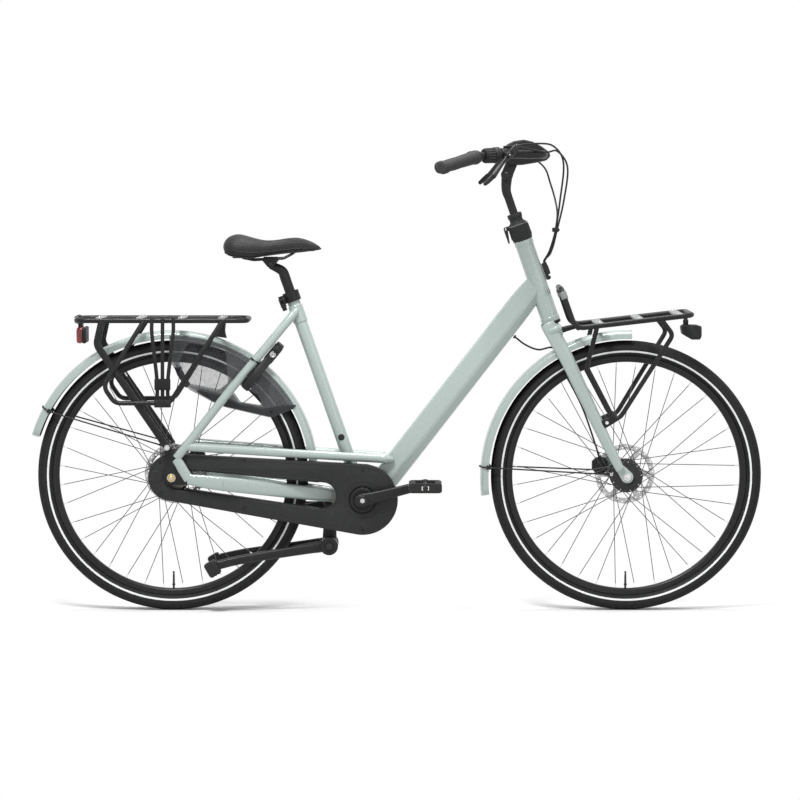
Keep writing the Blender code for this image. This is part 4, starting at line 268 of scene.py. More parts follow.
class Graph:
    """The nodes of one material, or of the world."""

    def __init__(self, owner: str | bpy.types.World) -> None:
        """Starts with an empty tree, in a new material if a name is given."""
        self.owner = bpy.data.materials.new(owner) if isinstance(owner, str) else owner
        self.owner.use_nodes = True
        self.tree = self.owner.node_tree
        self.tree.nodes.clear()

    def node(
        self, kind: str, settings: dict[str, Any] | None = None, sockets: dict[Any, Any] | None = None
    ) -> Made:
        """Adds a node.

        Args:
            kind: type of the node.
            settings: its properties.
            sockets: values or links of its inputs, by name or number.

        Returns:
            The node.
        """
        node = self.tree.nodes.new(kind)
        for key, value in (settings or {}).items():
            setattr(node, key, value)
        for key, value in (sockets or {}).items():
            if isinstance(value, Link):
                self.tree.links.new(value.socket, node.inputs[key])
            else:
                node.inputs[key].default_value = value
        return Made(self, node)

    def place(self) -> Link:
        """The point on the object."""
        return self.node("ShaderNodeTexCoord").out("Object")

    def parts(self, vector: Link) -> tuple[Link, Link, Link]:
        """The three numbers of a vector."""
        node = self.node("ShaderNodeSeparateXYZ", None, {0: vector})
        return node.out(0), node.out(1), node.out(2)

    def along(self) -> tuple[Link, Link]:
        """Metres along and round the surface, from the piece's own UV map."""
        uv = self.node("ShaderNodeUVMap", {"uv_map": "Grid"}).out()
        u, v, _ = self.parts(uv)
        return u, v

    def noise(self, vector: Link, scale: float, detail: float = 3.0, rough: float = 0.55) -> Link:
        """Soft noise from 0 to 1, with scale patches to the metre."""
        sockets = {"Vector": vector, "Scale": scale, "Detail": detail, "Roughness": rough}
        return self.node("ShaderNodeTexNoise", {"normalize": True}, sockets).out("Fac")

    def cells(self, vector: Link, scale: float) -> Link:
        """Distance to the nearest of scattered points."""
        return self.node("ShaderNodeTexVoronoi", None, {"Vector": vector, "Scale": scale}).out("Distance")

    def mixed(self, amount: Any, low: Any, high: Any) -> Link:
        """One colour turned into another by the amount."""
        colours = [end if isinstance(end, Link) else (*end, 1.0) for end in (low, high)]
        ends = {"Factor": amount, 6: colours[0], 7: colours[1]}
        return self.node("ShaderNodeMix", {"data_type": "RGBA", "clamp_factor": True}, ends).out(2)

    def step(self, value: Link, low: float, high: float, at_low: float = 0.0, at_high: float = 1.0) -> Link:
        """A smooth change of a number while the value goes from low to high."""
        sockets = {"Value": value, "From Min": low, "From Max": high, "To Min": at_low, "To Max": at_high}
        settings = {"interpolation_type": "SMOOTHSTEP", "clamp": True}
        return self.node("ShaderNodeMapRange", settings, sockets).out(0)

    def finish(
        self, sockets: dict[Any, Any], height: Link | None = None, depth: float = 0.0
    ) -> bpy.types.Material:
        """Closes the tree with its shader.

        Args:
            sockets: values and links of the shader.
            height: relief from 0 to 1, if the surface has any.
            depth: height of the relief in metres.

        Returns:
            The material.
        """
        if height is not None:
            bump = self.node("ShaderNodeBump", None, {"Height": height, "Distance": depth, "Strength": 1.0})
            sockets = {**sockets, "Normal": bump.out()}
        shader = self.node("ShaderNodeBsdfPrincipled", None, sockets)
        self.node("ShaderNodeOutputMaterial", None, {"Surface": shader.out()})
        return self.owner


# Finishes


class Grain(Enum):
    """Relief of a surface."""

    SMOOTH = "smooth"
    PEEL = "orange peel of a sprayed coat"
    POWDER = "fine grit of a baked powder coat"
    MOULDED = "moulded leather grain"
    BRUSHED = "lines along the piece"
    TURNED = "lines round the piece"
    KNURL = "raised diamonds"
    RIBS = "ribs across the piece"
    TREAD = "small blocks and sipes"
    COAT = "sleeve of a cable"


@dataclass(frozen=True)
class Finish:
    """A finish with its colour, gloss and relief.

    The colour wanders by a large and a small noise, dust dulls the gloss in patches, and
    the relief is one of the grains.
    """

    name: str
    colour: tuple[float, float, float]
    metallic: float = 0.0
    roughness: float = 0.4
    coat: float = 0.0
    grain: Grain = Grain.SMOOTH
    pitch: float = 0.001
    depth: float = 0.00005
    wander: float = 0.12
    dust: float = 0.06
    alpha: float = 1.0
    glow: float = 0.0

    def relief(self, graph: Graph, place: Link) -> Link | None:
        """Height of the grain, from 0 to 1.

        Args:
            graph: nodes to add to.
            place: point on the object.

        Returns:
            The height, or nothing for a smooth surface.
        """
        rate = 1.0 / self.pitch
        if self.grain is Grain.SMOOTH:
            return None
        if self.grain is Grain.PEEL:
            return graph.noise(place, rate, 1.0, 0.4)
        if self.grain is Grain.POWDER:
            return graph.noise(place, rate, 4.0, 0.7)
        if self.grain is Grain.MOULDED:
            return graph.cells(place, rate) * 0.8 + graph.noise(place, 2.3 * rate, 2.0) * 0.2
        u, v = graph.along()
        if self.grain is Grain.BRUSHED:
            lines = graph.node("ShaderNodeCombineXYZ", None, {0: u * (0.03 * rate), 1: v * rate}).out()
            return graph.noise(lines, 1.0, 3.0, 0.7)
        if self.grain is Grain.TURNED:
            lines = graph.node("ShaderNodeCombineXYZ", None, {0: u * rate, 1: v * (0.03 * rate)}).out()
            return graph.noise(lines, 1.0, 3.0, 0.7)
        if self.grain is Grain.KNURL:
            one = ((u + v) * (TAU * 0.5 * rate)).sine()
            two = ((u - v) * (TAU * 0.5 * rate)).sine()
            return graph.step(one * two, -0.1, 0.35)
        if self.grain is Grain.RIBS:
            return graph.step((u * (TAU * rate)).sine(), -0.4, 0.4)
        if self.grain is Grain.TREAD:
            sipes = (((u + v.size() * 0.6) * (TAU * rate)).sine()).size()
            return graph.step(sipes, 0.1, 0.35) * 0.8 + graph.noise(place, 1500.0, 2.0) * 0.2
        braid = ((u + v * 0.5) * (TAU * rate)).sine() * ((u - v * 0.5) * (TAU * rate)).sine()
        return graph.step(braid, -0.6, 0.6)

    def material(self) -> bpy.types.Material:
        """The finish as a material, made once."""
        found = bpy.data.materials.get(self.name)
        if found is not None:
            return found
        graph = Graph(self.name)
        place = graph.place()
        large = graph.noise(place, LARGE_PATCHES)
        small = graph.noise(place, SMALL_PATCHES)
        base = np.array(self.colour)
        light = tuple(np.clip(base * (1 + self.wander) + 0.012 * self.wander, 0, 1))
        dark = tuple(base * (1 - self.wander))
        blend = graph.step(large * 0.6 + small * 0.4, 0.3, 0.7)
        tone = graph.mixed(blend, dark, light)
        _, _, z = graph.parts(place)
        low = graph.step(z, DUST_TOP, DUST_FULL) * graph.step(small, 0.5, 0.75)
        dusty = tuple(base * 0.9 + 0.03)
        tone = graph.mixed(low * min(0.5, 4.0 * self.dust), tone, dusty)
        gloss = graph.step(
            small * 0.5 + large * 0.5, 0.35, 0.65, self.roughness - self.dust / 2, self.roughness + self.dust
        )
        sockets: dict[Any, Any] = {
            "Base Color": tone, "Roughness": gloss, "Metallic": self.metallic, "Coat Weight": self.coat,
            "Coat Roughness": 0.06, "Specular IOR Level": 0.26 if max(self.colour) < 0.03 else 0.5
        }
        if self.alpha < 1.0:
            sockets["Alpha"] = graph.step(small, 0.3, 0.7, self.alpha - 0.03, self.alpha + 0.03)
        if self.glow:
            sockets["Emission Color"] = (*self.colour, 1.0)
            sockets["Emission Strength"] = self.glow
        return graph.finish(sockets, self.relief(graph, place), self.depth)


MINT = Finish(
    "mint_gloss_paint", (0.345, 0.41, 0.386), 0.0, 0.26, 0.8, Grain.PEEL, 0.0016, 0.000002, 0.012, 0.02
)
SATIN = Finish(
    "satin_black_paint", (0.0095, 0.0098, 0.0102), 0.0, 0.36, 0.0, Grain.POWDER, 0.0009, 0.00004, 0.2
)
GLOSSY = Finish("gloss_black_paint", (0.01, 0.01, 0.0105), 0.0, 0.28, 0.3, Grain.PEEL, 0.0012, 0.00001, 0.2)
MOULDED = Finish(
    "moulded_black_plastic", (0.014, 0.0145, 0.015), 0.0, 0.5, 0.0, Grain.MOULDED, 0.0011, 0.00004, 0.2
)
CASE = Finish(
    "chain_case_plastic", (0.018, 0.0185, 0.019), 0.0, 0.46, 0.0, Grain.MOULDED, 0.0008, 0.00002, 0.15
)
GREY = Finish("grey_plate_plastic", (0.21, 0.215, 0.22), 0.0, 0.42, 0.0, Grain.POWDER, 0.0008, 0.00003, 0.1)
CLEAR = Finish(
    "clear_smoke_plastic", (0.07, 0.072, 0.08), 0.0, 0.22, 0.2, Grain.PEEL, 0.002, 0.000004, 0.04, 0.03, 0.16
)
SMOKE = Finish(
    "smoke_plastic_panel", (0.085, 0.088, 0.095), 0.0, 0.24, 0.2, Grain.PEEL, 0.002, 0.000004, 0.05, 0.03, 0.5
)
BAND = Finish("dark_guard_band", (0.022, 0.023, 0.025), 0.0, 0.4, 0.0, Grain.MOULDED, 0.001, 0.00003, 0.15)
RED = Finish(
    "red_lens_plastic", (0.22, 0.008, 0.01), 0.0, 0.12, 0.6, Grain.KNURL, 0.0022, 0.0003, 0.08, 0.02, 1.0,
    0.03
)
LENS = Finish(
    "clear_lens_plastic", (0.72, 0.74, 0.75), 0.0, 0.1, 0.8, Grain.KNURL, 0.0025, 0.0003, 0.05, 0.02
)
AMBER = Finish(
    "pedal_reflector_plastic", (0.75, 0.7, 0.62), 0.0, 0.15, 0.6, Grain.KNURL, 0.0018, 0.0003, 0.08, 0.02
)
TREAD = Finish(
    "tyre_tread_rubber", (0.008, 0.008, 0.0082), 0.0, 0.72, 0.0, Grain.TREAD, 0.0045, 0.0004, 0.25, 0.08
)
WALL = Finish(
    "tyre_wall_rubber", (0.009, 0.009, 0.0095), 0.0, 0.6, 0.0, Grain.POWDER, 0.0012, 0.00006, 0.2, 0.08
)
STRIPE = Finish(
    "reflective_stripe", (0.78, 0.79, 0.8), 0.0, 0.35, 0.0, Grain.KNURL, 0.0012, 0.00005, 0.06, 0.05
)
GRIP = Finish("grip_rubber", (0.011, 0.011, 0.0115), 0.0, 0.66, 0.0, Grain.KNURL, 0.0034, 0.0004, 0.2, 0.06)
RIBBED = Finish(
    "ribbed_rubber", (0.011, 0.011, 0.0115), 0.0, 0.62, 0.0, Grain.RIBS, 0.0036, 0.0006, 0.2, 0.06
)
ELASTIC = Finish(
    "elastic_strap_rubber", (0.01, 0.01, 0.0105), 0.0, 0.7, 0.0, Grain.RIBS, 0.0016, 0.0002, 0.2, 0.06
)
STEEL = Finish("plain_steel", (0.56, 0.56, 0.565), 1.0, 0.3, 0.0, Grain.TURNED, 0.0006, 0.00002, 0.08, 0.08)
SPOKE = Finish(
    "dark_spoke_steel", (0.085, 0.085, 0.088), 1.0, 0.34, 0.0, Grain.TURNED, 0.0006, 0.00002, 0.1, 0.08
)
CHROME = Finish("bright_steel", (0.74, 0.74, 0.75), 1.0, 0.12, 0.0, Grain.SMOOTH, 0.001, 0.0, 0.04, 0.05)
ROTOR = Finish("rotor_steel", (0.5, 0.5, 0.51), 1.0, 0.26, 0.0, Grain.POWDER, 0.0005, 0.00002, 0.08, 0.06)
BLACKED = Finish(
    "blacked_steel", (0.035, 0.035, 0.037), 0.85, 0.38, 0.0, Grain.BRUSHED, 0.0005, 0.00002, 0.2, 0.08
)
CHAIN = Finish(
    "oiled_chain_steel", (0.12, 0.115, 0.105), 1.0, 0.34, 0.0, Grain.POWDER, 0.0008, 0.00004, 0.25, 0.1
)
BRASS = Finish("brass_nut", (0.6, 0.4, 0.14), 1.0, 0.28, 0.0, Grain.TURNED, 0.0006, 0.00003, 0.12, 0.08)
SLEEVE = Finish("cable_sleeve", (0.01, 0.01, 0.0105), 0.0, 0.38, 0.1, Grain.COAT, 0.0018, 0.00004, 0.15, 0.05)
HIDE = Finish(
    "saddle_vinyl", (0.013, 0.013, 0.0138), 0.0, 0.55, 0.0, Grain.MOULDED, 0.0013, 0.00012, 0.25, 0.06
)
PIPING = Finish("saddle_piping", (0.008, 0.008, 0.0085), 0.0, 0.45, 0.0, Grain.COAT, 0.002, 0.0001, 0.2, 0.05)
THREAD = Finish("saddle_thread", (0.05, 0.05, 0.052), 0.0, 0.7, 0.0, Grain.COAT, 0.0008, 0.0001, 0.2, 0.04)


# Shapes


@dataclass
class Shape:
    """Faces of one or more surfaces, before they become an object.

    A face is four numbers of points, and the last is -1 in a triangle. Each face has its
    finish and, at each corner, its place on the grid in metres along and round.
    """

    points: Array
    faces: Array
    grid: Array
    finish: Array
    finishes: list[Finish]

    @classmethod
    def build(cls, points: Array, faces: Array, grid: Array, finish: Finish) -> "Shape":
        """A shape of one finish, with its faces turned outwards by its signed volume."""
        shape = cls(points, faces, grid, np.zeros(len(faces), int), [finish])
        return shape.turned_out()

    def turned_out(self) -> "Shape":
        """The shape with its faces outwards, if it was inside out."""
        if self.volume() < 0.0:
            self.flip()
        return self

    def volume(self) -> float:
        """Signed volume, as the sum of the wedges from the middle to each face."""
        middle = self.points.mean(0)
        p = self.points - middle
        f = self.faces
        first = np.einsum("ij,ij->i", p[f[:, 0]], np.cross(p[f[:, 1]], p[f[:, 2]])).sum()
        q = f[f[:, 3] >= 0]
        return float(first + np.einsum("ij,ij->i", p[q[:, 0]], np.cross(p[q[:, 2]], p[q[:, 3]])).sum())

    def flip(self) -> None:
        """Turns every face round."""
        quads = self.faces[:, 3] >= 0
        for table in (self.faces, self.grid):
            table[quads] = table[quads][:, ::-1]
            rest = table[~quads]
            rest[:, :3] = rest[:, 2::-1]
            table[~quads] = rest

    def __add__(self, other: "Shape") -> "Shape":
        """Both shapes as one, each keeping its finishes."""
        names = [f.name for f in self.finishes]
        finishes = list(self.finishes)
        place = np.zeros(len(other.finishes), int)
        for k, f in enumerate(other.finishes):
            if f.name not in names:
                names.append(f.name)
                finishes.append(f)
            place[k] = names.index(f.name)
        shifted = np.where(other.faces >= 0, other.faces + len(self.points), -1)
        return Shape(
            np.vstack([self.points, other.points]), np.vstack([self.faces, shifted]),
            np.concatenate([self.grid, other.grid]), np.concatenate([self.finish, place[other.finish]]),
            finishes
        )

    def mirrored(self) -> "Shape":
        """The shape of the other side."""
        copy = Shape(
            self.points * ACROSS, self.faces.copy(), self.grid.copy(), self.finish.copy(), list(self.finishes)
        )
        copy.flip()
        return copy

    def painted(self, finish: Finish, where: Callable[[Array], Array] | Array) -> "Shape":
        """Gives a finish to the faces that are marked, or whose middles the test picks."""
        corners = np.where(self.faces >= 0, self.faces, self.faces[:, :1])
        picked = where(self.points[corners].mean(1)) if callable(where) else where
        self.finishes.append(finish)
        self.finish[picked] = len(self.finishes) - 1
        return self


def merged(shapes: Iterable[Shape]) -> Shape:
    """All the shapes as one."""
    rows = list(shapes)
    total = rows[0]
    for shape in rows[1:]:
        total = total + shape
    return total


def lattice(
    points: Array, finish: Finish, round_u: bool = False, round_v: bool = True, folded: bool = False
) -> Shape:
    """A surface through a grid of points, with its open ends closed.

    Args:
        points: grid of places, rows along and columns round.
        finish: its finish.
        round_u: whether the last row joins the first.
        round_v: whether the last column joins the first.
        folded: whether an end is a strip between its two halves, and not a fan.

    Returns:
        The surface.
    """
    rows, cols = points.shape[:2]
    u_steps = rows if round_u else rows - 1
    v_steps = cols if round_v else cols - 1
    i, j = np.meshgrid(np.arange(u_steps), np.arange(v_steps), indexing="ij")
    i, j = i.ravel(), j.ravel()
    i2, j2 = (i + 1) % rows, (j + 1) % cols
    faces = np.stack([i * cols + j, i * cols + j2, i2 * cols + j2, i2 * cols + j], 1)
    step_u = np.linalg.norm(points - np.roll(points, 1, 0), axis=2).mean(1)
    step_v = np.linalg.norm(points - np.roll(points, 1, 1), axis=2).mean(0)
    first_u, first_v = step_u[0], step_v[0]
    step_u[0] = step_v[0] = 0.0
    far_u, far_v = np.cumsum(step_u), np.cumsum(step_v)
    far_u, far_v = np.append(far_u, far_u[-1] + first_u), np.append(far_v, far_v[-1] + first_v)
    grid = np.stack([
        np.stack([far_u[i], far_v[j]], 1), np.stack([far_u[i], far_v[j + 1]], 1),
        np.stack([far_u[i + 1], far_v[j + 1]], 1), np.stack([far_u[i + 1], far_v[j]], 1)
    ], 1)
    flat = points.reshape(-1, 3)
    if folded and not round_u:
        k = np.arange(cols // 2 - 1)
        far = cols - 1 - k
        last = (rows - 1) * cols
        low = np.stack([k + 1, k, far, far - 1], 1)
        high = np.stack([last + k, last + k + 1, last + far - 1, last + far], 1)
        faces = np.vstack([faces, low, high])
        grid = np.concatenate([grid, np.zeros((2 * len(k), 4, 2))])
    elif not round_u and round_v:
        k = np.arange(cols)
        nxt = (k + 1) % cols
        none = np.full(cols, -1)
        last = (rows - 1) * cols
        ends = np.stack([points[0].mean(0), points[-1].mean(0)])
        low = np.stack([k, np.full(cols, len(flat)), nxt, none], 1)
        high = np.stack([last + nxt, np.full(cols, len(flat) + 1), last + k, none], 1)
        fan = np.stack([far_v[k], far_v[k] * 0, far_v[k + 1], far_v[k] * 0], 1)
        fan = np.stack([np.stack([fan[:, n], fan[:, n] * 0], 1) for n in range(4)], 1)
        flat = np.vstack([flat, ends])
        faces = np.vstack([faces, low, high])
        grid = np.concatenate([grid, fan, fan])
    return Shape.build(flat, faces, grid, finish)


def frames(path: Array, side: Array = ASIDE, closed: bool = False) -> tuple[Array, Array]:
    """Two square ways at each point of a path: nearest to the side, and square to both."""
    if closed:
        way = unit(np.roll(path, -1, 0) - np.roll(path, 1, 0))
    else:
        way = unit(np.gradient(path, axis=0))
    across = unit(side - way * (way @ side)[:, None])
    return across, np.cross(way, across)


def carried(
    path: Array, sizes: Any, finish: Finish, section: Array | None = None, side: Array = ASIDE,
    closed: bool = False, dome: float = 0.0
) -> Shape:
    """A section carried along a path, as place + across x u x a + up x v x b.

    Args:
        path: places of the middle line.
        sizes: half sizes (a, b) at each place, or one radius.
        finish: its finish.
        section: closed outline of half size one.
        side: way that the first half size keeps to.
        closed: whether the path returns to its start.
        dome: length of the rounded ends, none if zero.

    Returns:
        The surface.
    """
    section = ring() if section is None else section
    size = np.broadcast_to(
        np.asarray(sizes, float) if np.ndim(sizes) else np.array([sizes, sizes]), (len(path), 2)
    )
    if dome and not closed:
        t = np.sin(np.linspace(0.0, math.pi / 2, 6))
        c = np.cos(np.linspace(0.0, math.pi / 2, 6))
        start, end = unit(path[0] - path[1]), unit(path[-1] - path[-2])
        head = path[0] + start * (t[:0:-1, None] * dome)
        tail = path[-1] + end * (t[1:, None] * dome)
        size = np.vstack([
            size[0] * np.maximum(c[:0:-1, None], 0.02), size, size[-1] * np.maximum(c[1:, None], 0.02)
        ])
        path = np.vstack([head, path, tail])
    across, up = frames(path, side, closed)
    points = (
        path[:, None] + across[:, None] * (section[None, :, :1] * size[:, None, :1])
        + up[:, None] * (section[None, :, 1:] * size[:, None, 1:])
    )
    return lattice(points, finish, round_u=closed)


def swept(
    rows: Iterable[Sequence[Any]], finish: Finish, section: Array | None = None, per: int = 8,
    side: Array = ASIDE, dome: float = 0.0
) -> Shape:
    """A section carried along a smooth line, while its half sizes change.

    Args:
        rows: a place and two half sizes each.
        finish: its finish.
        section: closed outline of half size one.
        per: steps between two rows.
        side: way that the first half size keeps to.
        dome: length of the rounded ends, none if zero.

    Returns:
        The surface.
    """
    table = spline([np.hstack(row) for row in rows], per)
    return carried(table[:, :3], table[:, 3:], finish, section, side, dome=dome)


def drawn(rows: Iterable[Sequence[float]]) -> list[tuple[Array, float, float]]:
    """Rows of drawn x, z, y and two half sizes, all in millimetres, as places and sizes."""
    return [(mm(x, z, y), a * 0.001, b * 0.001) for x, z, y, a, b in rows]


def wire(path: Array, radius: Any, finish: Finish, sides: int = 12, closed: bool = False) -> Shape:
    """A round wire along a path, with its sections kept to the way that it never runs along."""
    ways = np.array([(x, y, z) for x in (-1, 0, 1) for y in (-1, 0, 1) for z in (0, 1) if x or y or z], float)
    ways = unit(ways)
    along = unit(np.gradient(path, axis=0))
    best = ways[np.argmin(np.abs(along @ ways.T).max(0))]
    return carried(path, radius, finish, ring(sides), best, closed)


def square_to(way: Array) -> tuple[Array, Array]:
    """Two ways square to one of length one, the first nearest to aside, or ahead if it runs aside."""
    guide = AHEAD if abs(way[1]) > 0.9 else ASIDE
    x = unit(guide - way * (guide @ way))
    return x, np.cross(way, x)


def hoop(centre: Array, way: Array, a: float, b: float, count: int = 48) -> Array:
    """A closed oval of these half sizes round a way, the first of them nearest to aside."""
    across = unit(ASIDE - way * (way @ ASIDE))
    t = TAU * np.arange(count) / count
    return centre + across * (a * np.cos(t))[:, None] + np.cross(way, across) * (b * np.sin(t))[:, None]


def spun(
    profile: Sequence[Sequence[float]], centre: Array, axis: Array, finish: Finish, steps: int = 48,
    edge: float = 0.0, closed: bool = True
) -> Shape:
    """A profile of radius and height turned about an axis.

    Args:
        profile: corners of the profile. A closed one makes a ring with a bore.
        centre: where the heights are measured from.
        axis: way of the axis.
        finish: its finish.
        steps: steps round the axis.
        edge: radius that softens the profile's corners.
        closed: whether the profile closes on itself.

    Returns:
        The surface.
    """
    p = np.asarray(profile, float)
    if edge:
        p = bent(p, edge, 3, closed)
    axis = unit(np.asarray(axis, float))
    x, y = square_to(axis)
    t = TAU * np.arange(steps) / steps
    way = x * np.cos(t)[:, None] + y * np.sin(t)[:, None]
    points = centre + way[:, None] * p[None, :, :1] + axis * p[None, :, 1:]
    if not closed:
        return lattice(points.transpose(1, 0, 2), finish)
    shape = lattice(points, finish, round_u=True)
    shape.grid = shape.grid[..., ::-1].copy()
    return shape


def knob(
    profile: Sequence[Sequence[float]], centre: Array, axis: Array, finish: Finish, steps: int = 48,
    edge: float = 0.0
) -> Shape:
    """A profile that starts and ends near its axis, turned about it into a closed solid."""
    return spun(profile, centre, axis, finish, steps, edge, closed=False)


def rod(
    start: Array, end: Array, radius: float, finish: Finish, steps: int = 24, edge: float = 0.0006
) -> Shape:
    """A round bar with softened ends."""
    length = float(np.linalg.norm(end - start))
    profile = [(0.02 * radius, 0.0), (radius, 0.0), (radius, length), (0.02 * radius, length)]
    return knob(profile, start, end - start, finish, steps, min(edge, 0.4 * radius))


def bars(starts: Array, ends: Array, radii: tuple[float, float], finish: Finish, sides: int = 8) -> Shape:
    """Many straight bars at once, each with two round rows of points and closed ends."""
    way = unit(ends - starts)
    guide = np.where(np.abs(way[:, 1:2]) > 0.9, AHEAD, ASIDE)
    x = unit(guide - way * (way * guide).sum(1, keepdims=True))
    y = np.cross(way, x)
    t = TAU * np.arange(sides) / sides
    around = x[:, None] * np.cos(t)[None, :, None] + y[:, None] * np.sin(t)[None, :, None]
    low = starts[:, None] + around * radii[0]
    high = ends[:, None] + around * radii[1]
    points = np.concatenate([low, high], 1).reshape(-1, 3)
    k = np.arange(sides)
    nxt = (k + 1) % sides
    wall = np.stack([k, nxt, nxt + sides, k + sides], 1)
    fan_low = np.stack([np.zeros(sides - 2, int), k[2:], k[1:-1], np.full(sides - 2, -1)], 1)
    fan_high = np.stack([
        np.full(sides - 2, sides), sides + k[1:-1], sides + k[2:], np.full(sides - 2, -1)
    ], 1)
    one = np.vstack([wall, fan_low, fan_high])
    shift = (np.arange(len(starts)) * 2 * sides)[:, None, None]
    faces = np.where(one[None] >= 0, one[None] + shift, -1).reshape(-1, 4)
    grid = np.zeros((len(faces), 4, 2))
    return Shape.build(points, faces, grid, finish)


def taken(mesh: bpy.types.Mesh) -> tuple[Array, Array]:
    """Reads the points and the faces of a mesh of triangles and quads, and removes it."""
    points = np.empty(len(mesh.vertices) * 3)
    mesh.vertices.foreach_get("co", points)
    starts = np.empty(len(mesh.polygons), np.int32)
    sizes = np.empty(len(mesh.polygons), np.int32)
    corners = np.empty(len(mesh.loops), np.int32)
    mesh.polygons.foreach_get("loop_start", starts)
    mesh.polygons.foreach_get("loop_total", sizes)
    mesh.loops.foreach_get("vertex_index", corners)
    place = np.minimum(starts[:, None] + np.arange(4), len(corners) - 1)
    faces = np.where(np.arange(4) < sizes[:, None], corners[place], -1).astype(int)
    bpy.data.meshes.remove(mesh)
    return points.reshape(-1, 3), faces


def plate(
    outlines: Sequence[Array], low: float, high: float, finish: Finish,
    axes: tuple[Array, Array, Array, Array] | None = None, edge: float = 0.0005
) -> Shape:
    """A flat plate with holes and rounded edges.

    The first outline is the plate and the others are its holes. Without axes they lie in
    the side view, and low and high are its faces along y.

    Args:
        outlines: closed outlines in the plane.
        low: lower face.
        high: upper face.
        finish: its finish.
        axes: origin, two ways of the plane and the way across it.
        edge: radius of the edges.

    Returns:
        The plate.
    """
    origin, x, y, z = axes or (np.zeros(3), AHEAD, UP, ASIDE)
    curve = bpy.data.curves.new("outline", "CURVE")
    curve.dimensions = "2D"
    curve.fill_mode = "BOTH"
    edge = min(edge, 0.45 * abs(high - low))
    curve.extrude = abs(high - low) / 2.0 - edge
    curve.bevel_depth = edge
    curve.bevel_resolution = 1
    curve.offset = -edge
    for outline in outlines:
        row = curve.splines.new("POLY")
        row.points.add(len(outline) - 1)
        row.use_cyclic_u = True
        rows = np.zeros((len(outline), 4))
        rows[:, :2] = outline
        rows[:, 3] = 1.0
        row.points.foreach_set("co", rows.ravel())
    obj = placed("outline", curve)
    mesh = bpy.data.meshes.new_from_object(obj.evaluated_get(bpy.context.evaluated_depsgraph_get()))
    bpy.data.objects.remove(obj)
    bpy.data.curves.remove(curve)
    clean = bmesh.new()
    clean.from_mesh(mesh)
    bmesh.ops.remove_doubles(clean, verts=clean.verts, dist=1e-6)
    bmesh.ops.recalc_face_normals(clean, faces=clean.faces)
    bmesh.ops.triangulate(clean, faces=[f for f in clean.faces if len(f.verts) > 4])
    clean.to_mesh(mesh)
    clean.free()
    flat, faces = taken(mesh)
    grid = np.where(faces[:, :, None] >= 0, flat[faces][:, :, :2], 0.0)
    flat = flat + (0.0, 0.0, (low + high) / 2.0)
    points = origin + flat[:, :1] * x + flat[:, 1:2] * y + flat[:, 2:] * z
    return Shape.build(points, faces, grid, finish)


def layer(side: float, near: float, thick: float) -> tuple[float, float]:
    """Lower and higher face, along y, of a sheet that lies this far out on one side."""
    low, high = sorted((side * near, side * (near + thick)))
    return low, high


def block(a: float, b: float, radius: float, steps: int) -> Array:
    """Outline of a rectangle of these half sizes with rounded corners."""
    return bent([(-a, -b), (a, -b), (a, b), (-a, b)], radius, steps, True)


def box(
    centre: Array, sizes: Sequence[float], finish: Finish, ways: tuple[Array, Array, Array] | None = None,
    edge: float = 0.0015
) -> Shape:
    """A block with softened corners and edges.

    It is a plate of a rounded rectangle, whose edge radius is the block's.
    """
    x, y, z = ways or (AHEAD, ASIDE, UP)
    a, b = sizes[0] / 2.0, sizes[1] / 2.0
    outline = block(a, b, min(2.0 * edge, 0.45 * min(a, b)), 4)
    return plate([outline], -sizes[2] / 2.0, sizes[2] / 2.0, finish, (np.asarray(centre), x, y, z), edge)


def crossbar(place: Array, radius: float, reach: float, finish: Finish, steps: int = 28) -> Shape:
    """A round bar across the bicycle."""
    return rod(place - ASIDE * reach, place + ASIDE * reach, radius, finish, steps)


def screw(place: Array, way: Array, finish: Finish = CHROME, size: float = 0.0045) -> Shape:
    """A round screw head with its socket, proud of a face.

    Args:
        place: middle of the head's seat.
        way: way that it faces.
        finish: its finish.
        size: radius of the head.

    Returns:
        The head.
    """
    r = size
    profile = [
        (0.02 * r, 0.25 * r), (0.42 * r, 0.25 * r), (0.5 * r, 0.62 * r), (0.86 * r, 0.6 * r), (r, 0.3 * r),
        (r, 0.0), (0.02 * r, 0.0)
    ]
    return knob(profile, place, way, finish, 18, 0.08 * r)


def nut(place: Array, way: Array, radius: float, height: float, finish: Finish) -> Shape:
    """A hexagon nut whose corners are turned off at both ends.

    Its six sides come from one function of the angle, r / cos(angle within the side).
    """
    way = unit(way)
    x, y = square_to(way)
    t = TAU * np.arange(48) / 48
    flat = math.cos(math.pi / 6) / np.cos((t + math.pi / 6) % (math.pi / 3) - math.pi / 6)
    rows = []
    for share, level in (
        (0.02, 0.0), (0.84, 0.0), (0.93, 0.06), (1.0, 0.16), (1.0, 0.84), (0.93, 0.94), (0.84, 1.0),
        (0.02, 1.0)
    ):
        r = radius * np.minimum(flat, share / 0.93) if share < 1.0 else radius * flat
        rows.append(
            place + way * (height * level) + (x * np.cos(t)[:, None] + y * np.sin(t)[:, None]) * r[:, None]
        )
    return lattice(np.stack(rows), finish)


# Pieces


def placed(name: str, data: Any) -> bpy.types.Object:
    """Adds an object of this data to the scene."""
    obj = bpy.data.objects.new(name, data)
    bpy.context.scene.collection.objects.link(obj)
    return obj


